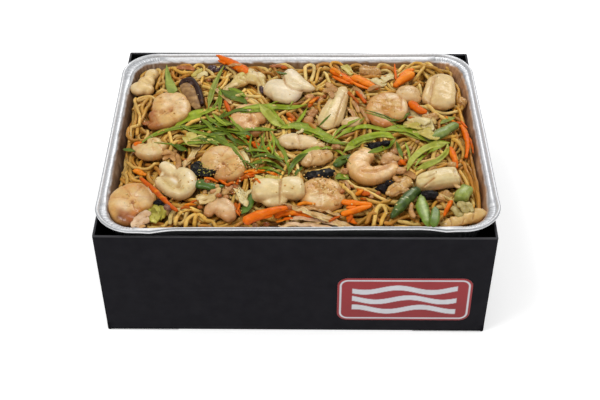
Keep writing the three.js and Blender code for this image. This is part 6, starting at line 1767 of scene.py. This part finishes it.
STRIPS = [  # pale strips of cabbage, onion and sprout: path, width px, tone
    ([(283, 204), (296, 208), (312, 213), (328, 218), (343, 224), (356, 229)], 3.4, "onion"), ([(300, 210), (314, 214), (330, 221), (345, 228)], 2.8, "onion"), ([(290, 208), (306, 213), (322, 219), (338, 226)], 2.6, "cream"), ([(278, 226), (292, 225), (308, 224), (322, 223)], 2.6, "onion"),
    ([(290, 219), (304, 218.5), (320, 221), (334, 225)], 3.6, "pink"), ([(286, 223), (300, 224), (318, 226), (334, 228)], 3.2, "pink"), ([(303, 207), (318, 209), (332, 213), (342, 218)], 2.4, "onion"), ([(296, 206), (310, 208), (324, 211)], 2.4, "tan"),
    ([(204, 143), (197, 149), (191, 158), (182, 168)], 5, "cream"), ([(194, 152), (190, 160)], 3.4, "cream"), ([(183, 168), (187, 162), (195, 157)], 2.6, "onion"),
    ([(160, 154), (168, 152), (176, 155), (179, 162), (177, 169)], 5, "tan"), ([(163, 160), (170, 157), (175, 161)], 4, "tan"),
    ([(187, 133), (196, 138), (207, 138), (216, 141)], 8, "leaf"), ([(184, 137), (190, 143), (200, 146)], 6, "leaf"),
    ([(192, 77), (197, 72), (203, 70)], 5, "leaf"), ([(197, 78), (203, 74), (208, 76)], 4, "white"), ([(223, 91), (231, 86), (238, 82)], 4, "cream"),
    ([(380, 84), (386, 79), (394, 76)], 7, "white"), ([(372, 79), (379, 82), (386, 85)], 6, "white"), ([(343, 66), (348, 70), (351, 75)], 6, "leaf"),
    ([(407, 120), (414, 118), (421, 120), (430, 122)], 7, "white"), ([(404, 124), (413, 126), (422, 128)], 6, "leaf"), ([(412, 133), (421, 132), (431, 128)], 6, "leaf"), ([(421, 132), (430, 136), (438, 137)], 7, "leaf"),
    ([(196, 200), (204, 196), (212, 192), (221, 188)], 8, "cream"), ([(200, 204), (208, 200), (216, 198)], 6, "cream"), ([(240, 192), (244, 200), (247, 207)], 6, "white"), ([(234, 185), (239, 194), (243, 204)], 5, "white"),
    ([(255, 175), (263, 180), (272, 182)], 6, "leaf"), ([(262, 178), (270, 178), (280, 180)], 4, "leaf"), ([(352, 100), (356, 106), (360, 113)], 4, "tan"), ([(348, 108), (352, 113), (355, 118)], 3.4, "tan"),
    ([(326, 83), (332, 87), (336, 92)], 6, "tan"), ([(324, 90), (330, 92), (333, 99)], 5, "tan"), ([(367, 90), (373, 87), (380, 86)], 4.5, "tan"),
    ([(458, 202), (463, 207), (467, 213)], 8, "moss"), ([(452, 206), (457, 212), (462, 216)], 7, "moss"), ([(466, 203), (470, 207), (472, 212)], 5, "moss"), ([(412, 203), (411, 210), (414, 218)], 5, "tan"), ([(402, 172), (409, 174), (415, 179)], 6, "tan"), ([(394, 176), (400, 182)], 5, "tan"),
    ([(132, 227), (138, 221), (145, 215), (151, 213)], 7, "blush"), ([(137, 227), (143, 222), (149, 217)], 6, "blush"), ([(139, 228), (146, 226)], 3, "tan"), ([(228, 66), (236, 64), (245, 66)], 3, "tan"), ([(177, 68.5), (186, 68), (195, 70)], 4, "rust"), ([(270, 66), (278, 65.5), (286, 68)], 3.4, "rust"),
    ([(242, 151), (246, 158), (249, 165)], 4, "white"), ([(247, 147), (250, 156)], 3, "white"), ([(352, 88), (360, 92), (366, 99)], 3, "tan"), ([(360, 108), (366, 116), (369, 124)], 4, "tan"),
    ([(214, 88), (225, 98), (232, 104)], 3, "onion"), ([(460, 188), (455, 184), (449, 182)], 3, "onion"), ([(338, 179), (346, 183), (350, 190)], 3, "tan"), ([(296, 133), (304, 130)], 3, "white"),
]
PALE = {"blush": (srgb(196, 154, 112), srgb(226, 194, 158)), "moss": (srgb(162, 142, 80), srgb(194, 176, 116)), "rust": (srgb(150, 82, 36), srgb(182, 112, 56)), "onion": (srgb(196, 152, 90), srgb(220, 188, 136)), "pink": (srgb(206, 166, 124), srgb(222, 188, 148)), "cream": (srgb(206, 174, 112), srgb(224, 198, 144)),
        "tan": (srgb(172, 120, 66), srgb(202, 154, 94)), "leaf": (srgb(188, 168, 76), srgb(214, 196, 116)), "white": (srgb(212, 190, 128), srgb(228, 210, 158))}


def build_strips(T):
    vs, fs, cs, base = [], [], [], 0
    for k, (pts, w_, tone) in enumerate(STRIPS):
        path = T.path(pts, step=1.3, r=max(0.9, w_ * 0.28), lift=0.5, taut=6)
        n = len(path)
        path = path + np.column_stack([np.zeros(n), np.zeros(n), 0.4 * np.sin(np.linspace(0, n * 0.5, n) + k)])
        wide = np.minimum(screen_width(path, frames(path)[1], w_), 11)
        v, f, uu, su = ribbon(path, list(wide), 0.9 if w_ < 5 else 1.2, 0.14 * (-1) ** k, 0, (1, 1), seed=k + 200, blunt=0.12)
        wide = float(wide.mean())
        edge = np.abs(su) ** 2
        v = v + np.column_stack([np.zeros(len(v)), np.zeros(len(v)), edge * 0.7 * vnoise(v, 3.2, k)]) + 0.35 * np.column_stack([vnoise(v, 2.6, k + 20), vnoise(v, 2.6, k + 40), vnoise(v, 2.6, k + 60)])
        T.stamp(path, w_ * 0.36, 0.5)
        a, b = PALE[tone]
        c = mix(np.tile(a, (len(v), 1)), b, smooth01(-0.5, 0.6, fbm(v, 4, k + 5)))
        if tone == "leaf":
            c = mix(c, srgb(140, 156, 50), 0.55 * smooth01(0.2, 0.9, fbm(v, 5, k + 9)))
        vs.append(v); cs.append(c)
        fs += [[i + base for i in q] for q in f]
        base += len(v)
    o = mesh_object("cabbage_strips", np.vstack(vs), fs, colour=np.vstack(cs))
    return finish_piece(o, M_CABB, "cabbage")


LUMPS = [  # x, y, half sizes in mm, turn, tone
    (366, 70, 7, 6, 4, 10, "tan"), (374, 72, 6, 5.4, 4.4, 0, "tan"), (434, 116, 6, 5, 3.6, 0, "tan"), (427, 117, 4.4, 4, 3, 0, "tan"), (446, 195, 6, 4.4, 4, -10, "tan"), (440, 198, 4, 3.4, 3, 0, "tan"),
    (308, 121, 4.6, 8, 4, -20, "meat"), (313, 112, 3.6, 7, 3.6, -25, "meat"), (320, 100, 3, 5.6, 3, -20, "meat"), (462, 102, 4.4, 6, 4, 0, "tan"), (230, 188, 4.6, 3.6, 3, 0, "meat"), (224, 192, 4.6, 3.4, 3, 30, "tan"),
    (212.5, 68, 4.6, 4.2, 3, 0, "plum"), (217, 70, 3, 3, 2.4, 0, "plum"), (223, 67.5, 4.2, 3.6, 2.8, 0, "plum"), (261.5, 89, 2.4, 6, 2, 10, "plum"), (384.5, 187.5, 7.5, 5, 3.6, 10, "black"), (389, 183, 4, 3.4, 3, 10, "black"), (162, 202.5, 6, 4.4, 3, 0, "black"), (376, 146, 9, 5.4, 3, 8, "black"), (386, 143, 5, 3.4, 2.8, 0, "black"), (430, 194, 6.5, 4, 3, 0, "black"),
    (309, 97, 4.6, 3.4, 3, 0, "meat"), (396, 151, 4, 3.4, 3, 0, "meat"), (400, 170, 4.6, 3.6, 3, 10, "meat"), (405, 190, 4, 3.4, 2.6, 0, "tan"), (336, 146, 4, 3, 2.6, 0, "meat"),
    (207, 181.5, 2.6, 2.2, 1.8, 0, "rust"), (213, 191, 3, 2.4, 2, 20, "meat"), (219, 195, 2.6, 2.4, 1.8, 0, "rust"), (226, 197, 3, 2.6, 2, 0, "meat"), (233, 192, 2.6, 2.4, 2, 0, "rust"), (217, 186, 2.4, 2, 1.8, 0, "tan"), (236, 187, 2.4, 2.2, 1.8, 0, "rust"), (205, 192, 2.4, 2.4, 2, 0, "tan"), (200, 207, 2.4, 2.2, 1.8, 0, "rust"), (192, 205, 2.6, 2.2, 1.8, 0, "meat"),
    (361, 180, 2.6, 2.2, 1.8, 0, "tan"), (371, 196, 2.6, 2.4, 1.8, 0, "meat"), (378, 193, 2.4, 2.2, 1.6, 0, "rust"), (352, 186, 2.4, 2.2, 1.6, 0, "rust"), (388, 193, 2.4, 2.2, 1.6, 0, "tan"), (342, 191, 2.6, 2.4, 1.8, 0, "rust"), (336, 203, 2.4, 2.2, 1.8, 0, "tan"), (289, 207, 2.4, 2, 1.6, 0, "rust"), (266, 224, 2.6, 2.2, 1.8, 0, "rust"), (255, 225, 2.4, 2.2, 1.8, 0, "meat"),
    (199, 83, 2.6, 2.4, 1.8, 0, "tan"), (209, 80, 2.4, 2.2, 1.8, 0, "rust"), (215, 84, 2.6, 2.2, 1.8, 0, "meat"), (231, 97, 2.4, 2.2, 1.8, 0, "rust"), (246, 99, 2.6, 2.4, 2, 0, "meat"), (320, 79, 2.6, 2.2, 1.8, 0, "tan"), (325, 96, 2.4, 2.2, 1.8, 0, "rust"), (357, 103, 2.4, 2.2, 1.8, 0, "rust"), (303, 113, 2.4, 2.2, 1.8, 0, "tan"), (298, 120, 2.4, 2, 1.6, 0, "rust"),
    (410, 148, 2.4, 2.2, 1.8, 0, "meat"), (418, 141, 2.4, 2.2, 1.8, 0, "tan"), (425, 153, 2.4, 2, 1.6, 0, "rust"), (404, 155, 2.4, 2.2, 1.8, 0, "rust"), (438, 156, 2.6, 2.2, 1.8, 0, "meat"), (245, 130, 2.4, 2.2, 1.8, 0, "rust"), (236, 144, 2.4, 2, 1.6, 0, "rust"), (250, 151, 2.6, 2.4, 1.8, 0, "rust"), (175, 151, 2.4, 2.2, 1.8, 0, "tan"), (186, 160, 2.4, 2, 1.6, 0, "rust"),
    (168, 207, 3.6, 3.2, 2.6, 0, "brown"), (452, 165, 4, 3.4, 3, 0, "tan"), (431, 168, 4.6, 3.4, 2.6, 20, "tan"), (345, 171, 3.6, 3, 2.6, 0, "meat"), (396, 158, 3.6, 3, 2.6, 0, "tan"),
]


LUMP_TONE = {"rust": (srgb(168, 92, 40), srgb(204, 138, 70), srgb(112, 58, 22)), "tan": (srgb(190, 142, 80), srgb(212, 172, 112), srgb(150, 92, 40)), "meat": (srgb(188, 132, 80), srgb(214, 168, 114), srgb(142, 84, 38)),
             "black": (srgb(15, 12, 12), srgb(38, 28, 30), srgb(9, 7, 7)), "brown": (srgb(110, 70, 60), srgb(150, 104, 80), srgb(70, 36, 36)), "plum": (srgb(66, 42, 46), srgb(100, 70, 66), srgb(34, 20, 24))}


def build_lumps(T):
    fine, coarse = ico_body(4), ico_body(2)
    groups = {"light": ([], []), "black": ([], [])}
    for k, (x, y, rx, ry, rz, deg, tone) in enumerate(LUMPS):
        iv, jf = coarse if max(rx, ry) <= 3.0 else fine
        c0 = T.spot(x, y, 1.5)
        u = iv * np.array([rx, ry, rz])
        d = 1 + 0.42 * fbm(iv * 10, 8, k) + 0.20 * fbm(iv * 10, 3.0, k + 70)
        if tone == "black":
            d = d + 0.22 * np.abs(vnoise(iv * 10, 3.2, k + 11)) - 0.1
        v = u * d[:, None] @ rot_z(math.radians(deg)).T + c0 - np.array([0, 0, rz * 0.25])
        a, b, low = LUMP_TONE[tone]
        c = mix(np.tile(a, (len(v), 1)), b, smooth01(-0.3, 0.7, fbm(v, 3.5, k)))
        # random darker patches, and painted shade on the undersides
        c = mix(c, low, 0.8 * smooth01(0.0, 0.8, fbm(v, 4.5, k + 3)) + 0.4 * (iv[:, 2] < -0.2))
        g = groups["black" if tone == "black" else "light"]
        g[0].append((v, jf)); g[1].append(c)
        tt = np.linspace(-0.6, 0.6, 5)
        T.stamp(c0 + np.outer(tt * rx, rot_z(math.radians(deg))[:, 0]), min(rx, ry) * 0.75, rz * 0.8)
    for key, (parts, cols) in groups.items():
        v, f = stack(parts)
        o = mesh_object("bits_" + key, v, f, colour=np.vstack(cols))
        if key == "black":
            finish_piece(o, M_MUSH, "mushroom")
        else:
            finish_piece(o, M_PRAWN, "squid")


def build_crumbs(T):
    rng = np.random.default_rng(33)
    iv, jf = ico_body(1)
    jf = np.array(jf)
    spots = []
    for (x, y, r, n) in [(322, 184, 12, 70), (320, 146, 10, 26), (204, 169, 9, 60), (204, 178, 12, 40), (230, 180, 16, 50), (250, 174, 14, 50), (232, 192, 10, 40), (262, 168, 14, 40), (240, 168, 10, 40), (318, 172, 14, 40), (333, 190, 10, 30), (300, 176, 12, 24),
                         (222, 165, 12, 24), (170, 105, 14, 12), (132, 200, 16, 16), (385, 105, 14, 16), (180, 185, 14, 20), (220, 80, 12, 24), (200, 90, 14, 20), (345, 80, 16, 24), (300, 215, 30, 40), (270, 215, 20, 20), (330, 155, 14, 24), (400, 185, 16, 24), (310, 160, 12, 20), (380, 115, 14, 14)]:
        for _ in range(int(n * (0.8 if n >= 60 else 0.4))):
            spots.append((x + rng.normal(0, r * 0.5), y + rng.normal(0, r * 0.42)))
    for _ in range(170):
        spots.append((rng.uniform(128, 476), rng.uniform(68, 226)))
    vs, fs, cs, base = [], [], [], 0
    tones = [srgb(222, 178, 98), srgb(206, 154, 78), srgb(230, 198, 128), srgb(236, 212, 156), srgb(196, 140, 66), srgb(214, 160, 84)]
    for k, (x, y) in enumerate(spots):
        p = T.spot(x, y, 0.7)
        if inside(np.array(p[0]), np.array(p[1]), wall_at(-14) + 1.5)[0] < 0:
            continue
        size = rng.uniform(0.4, 0.95) if rng.random() < 0.9 else rng.uniform(0.25, 0.4)
        c = tones[rng.integers(len(tones))] * rng.uniform(0.85, 1.1)
        if size < 0.42:
            c = srgb(40, 30, 20)
        if math.hypot((x - 204) / 9, (y - 170) / 8) < 1.2:
            c = srgb(176, 168, 70) * rng.uniform(0.8, 1.2)
            size *= 0.7
        s_ = size * rng.uniform(0.6, 1.35, 3)
        s_[2] *= 0.7
        v = iv * s_ * (1 + 0.25 * rng.standard_normal((len(iv), 1)) * 0.5)
        v = v @ rot_z(rng.uniform(0, 6.3)).T @ rot_x(rng.uniform(-0.5, 0.5)).T + p + np.array([0, 0, size * 0.35])
        vs.append(v); cs.append(np.tile(c, (len(v), 1)))
        fs.append(jf + base)
        base += len(v)
    o = mesh_object("crumbs", np.vstack(vs), np.vstack(fs).astype(int), colour=np.vstack(cs))
    return finish_piece(o, M_CRUMB, "crumb")


HERO = [  # noodles that show as clear single loops and runs
    [(143, 114), (142, 107), (146, 101), (151, 99), (150, 105), (147, 111), (142, 119), (138, 126), (137, 134)], [(131, 103), (133, 112), (137, 120), (134, 128), (130, 140), (129, 150)],
    [(130, 137), (131, 129), (137, 125), (144, 127), (148, 133), (145, 138)], [(134, 100), (137, 108), (140, 116), (139, 124)], [(126, 128), (128, 136), (133, 141), (139, 139)],
    [(193, 113), (192, 106), (196, 100), (203, 97.5), (210, 98.5)], [(203, 100), (202, 108), (206, 113)], [(186, 112), (190, 104), (188, 97)],
    [(306, 80), (305, 73), (308, 67.5), (313, 67.5), (314, 73), (311, 80)], [(316, 80), (319, 73), (322, 68)], [(324, 70), (327, 76), (331, 82)], [(331, 68), (336, 73), (338, 80)],
    [(400, 74), (408, 69.5), (418, 67.5), (430, 69), (441, 74)], [(405, 76), (415, 71.5), (428, 71.5), (437, 77)], [(398, 72), (410, 68), (423, 66.5), (434, 68)], [(417, 79), (422, 73), (432, 71), (443, 74)], [(413, 82), (417, 76), (424, 74)],
    [(455, 104), (460, 114), (463, 125), (466, 137)], [(450, 135), (457, 141), (462, 149), (463, 158), (459, 165)], [(463, 160), (466, 170), (471, 180), (474, 190), (478, 201), (481, 210)], [(468, 164), (473, 177), (477, 190), (482, 204)],
    [(460, 168), (465, 179), (469, 190), (474, 203)], [(458, 172), (461, 182), (465, 192), (468, 202)], [(470, 150), (473, 162), (478, 176), (482, 190)], [(456, 84), (462, 92), (464, 101), (461, 108)], [(459, 90), (457, 98), (459, 106)],
    [(175, 226), (176, 219), (181, 214), (190, 212), (200, 211), (209, 207), (216, 201)], [(184, 227), (187, 220), (193, 216), (199, 216), (204, 221)], [(194, 227), (195, 222), (200, 219), (207, 220), (213, 223), (219, 227)], [(198, 226), (204, 223), (211, 226)], [(170, 224), (171, 216), (176, 210), (184, 208)],
    [(395, 196), (388, 201), (380, 207), (372, 213), (364, 219), (356, 222)], [(373, 223), (376, 215), (381, 210), (386, 212), (384, 221)], [(379, 225), (383, 218), (389, 214), (393, 217), (390, 225)], [(385, 226), (394, 221), (404, 216), (411, 214)], [(398, 222), (409, 224), (421, 226)], [(366, 226), (370, 220), (376, 217)],
    [(127, 162), (134, 167), (142, 169), (150, 168), (157, 165), (162, 160)], [(122, 172), (127, 178), (126, 186)], [(118, 180), (123, 187), (128, 192)], [(128, 172), (132, 178), (138, 181), (145, 180)],
    [(178, 88), (186, 92), (192, 98), (195, 106)], [(200, 84), (207, 88), (214, 90), (221, 88)], [(196, 92), (203, 90), (210, 94)], [(226, 76), (232, 72), (240, 71)], [(270, 66), (275, 72), (280, 78)], [(171, 68), (177, 72), (184, 73), (192, 71)], [(250, 225), (262, 222), (274, 223), (286, 226)], [(235, 225), (245, 221), (254, 218), (262, 220)], [(340, 208), (350, 212), (358, 214)],
]


def build_hero(heap):
    rng = np.random.default_rng(21)
    n = 0
    for pts in HERO:
        p = np.array(pts, float)
        z = np.full(len(p), -4.0)
        for _ in range(3):
            xyz = np.array([at(a, b, c) for (a, b), c in zip(p, z)])
            z = heap.support(xyz, 1.5)
        path = spline(np.column_stack([xyz[:, :2], np.zeros(len(p))]), step=2.4)[:, :2]
        d, ex, ey = inside(path[:, 0], path[:, 1], wall_at(-14) + 2.0)
        path = path + np.column_stack([ex, ey]) * -np.minimum(d, 0)[:, None]
        n += len(heap.lay(path, rng.uniform(1.45, 1.75), free=True, minimum=4, tuck=2.0))
    print("hero", n)


# =====================================================================
# camera, light, floor
# =====================================================================
def build_stage():
    cam = bpy.data.cameras.new("camera")
    cam.sensor_width, cam.sensor_fit = 36.0, "HORIZONTAL"
    cam.lens = CAM_F * 36.0 / 600.0
    cam.clip_start, cam.clip_end = 0.01, 20.0
    o = bpy.data.objects.new("camera", cam)
    m = Matrix.Identity(4)
    for i in range(3):
        m[i][0], m[i][1], m[i][2], m[i][3] = CR[i], CU[i], -CF[i], CAM_P[i] * MM
    o.matrix_world = m
    bpy.context.scene.collection.objects.link(o)
    bpy.context.scene.camera = o

    me = bpy.data.meshes.new("floor")
    s = 6.0
    me.from_pydata([(-s, -s, 0), (s, -s, 0), (s, s, 0), (-s, s, 0)], [], [(0, 1, 2, 3)])
    floor = bpy.data.objects.new("floor", me)
    bpy.context.scene.collection.objects.link(floor)
    m = material("floor", rough=0.9, colour=(0.93, 0.93, 0.93), spec=0.1, var=0.01, var_scale=3)
    m.node_tree.nodes["Principled BSDF"].inputs["Emission Color"].default_value = (1, 1, 1, 1)
    m.node_tree.nodes["Principled BSDF"].inputs["Emission Strength"].default_value = 0.40
    me.materials.append(m)

    def area(name, loc, target, size, power, shape="RECTANGLE", size_y=None, colour=(1, 1, 1)):
        d = bpy.data.lights.new(name, "AREA")
        d.shape, d.size, d.energy, d.color = shape, size, power, colour
        if size_y:
            d.size_y = size_y
        ob = bpy.data.objects.new(name, d)
        ob.location = loc
        ob.rotation_euler = (Vector(target) - Vector(loc)).to_track_quat("-Z", "Y").to_euler()
        bpy.context.scene.collection.objects.link(ob)

    area("key", (-0.55, -0.35, 1.35), (0, 0, 0.1), 0.6, 8.4, size_y=0.45)
    area("back", (0.35, 1.15, 1.05), (0, 0, 0.1), 0.8, 6.4, size_y=0.45)
    area("fill", (1.25, -0.5, 0.9), (0, 0, 0.1), 0.7, 3.0, size_y=0.5)
    w = bpy.data.worlds.new("world")
    bpy.context.scene.world = w
    w.use_nodes = True
    bg = w.node_tree.nodes["Background"]
    bg.inputs[0].default_value = (1, 1, 1, 1)
    bg.inputs[1].default_value = 0.46
    sc = bpy.context.scene
    sc.view_settings.view_transform = "Standard"
    sc.view_settings.look = "None"
    sc.view_settings.exposure = 0.0


build_stage()
build_box()
build_label()
build_tray()
build_prawns()
build_squid()
build_carrots()
build_beans()
build_mushrooms()
build_cabbage()
HEAP, CEIL, TOP, LEVEL = build_noodles()
build_hero(HEAP)
finish_noodles(HEAP)
SURFACE = Top(HEAP, TOP)
build_strips(SURFACE)
build_lumps(SURFACE)
build_shreds(SURFACE)
build_blades(SURFACE)
build_crumbs(SURFACE)
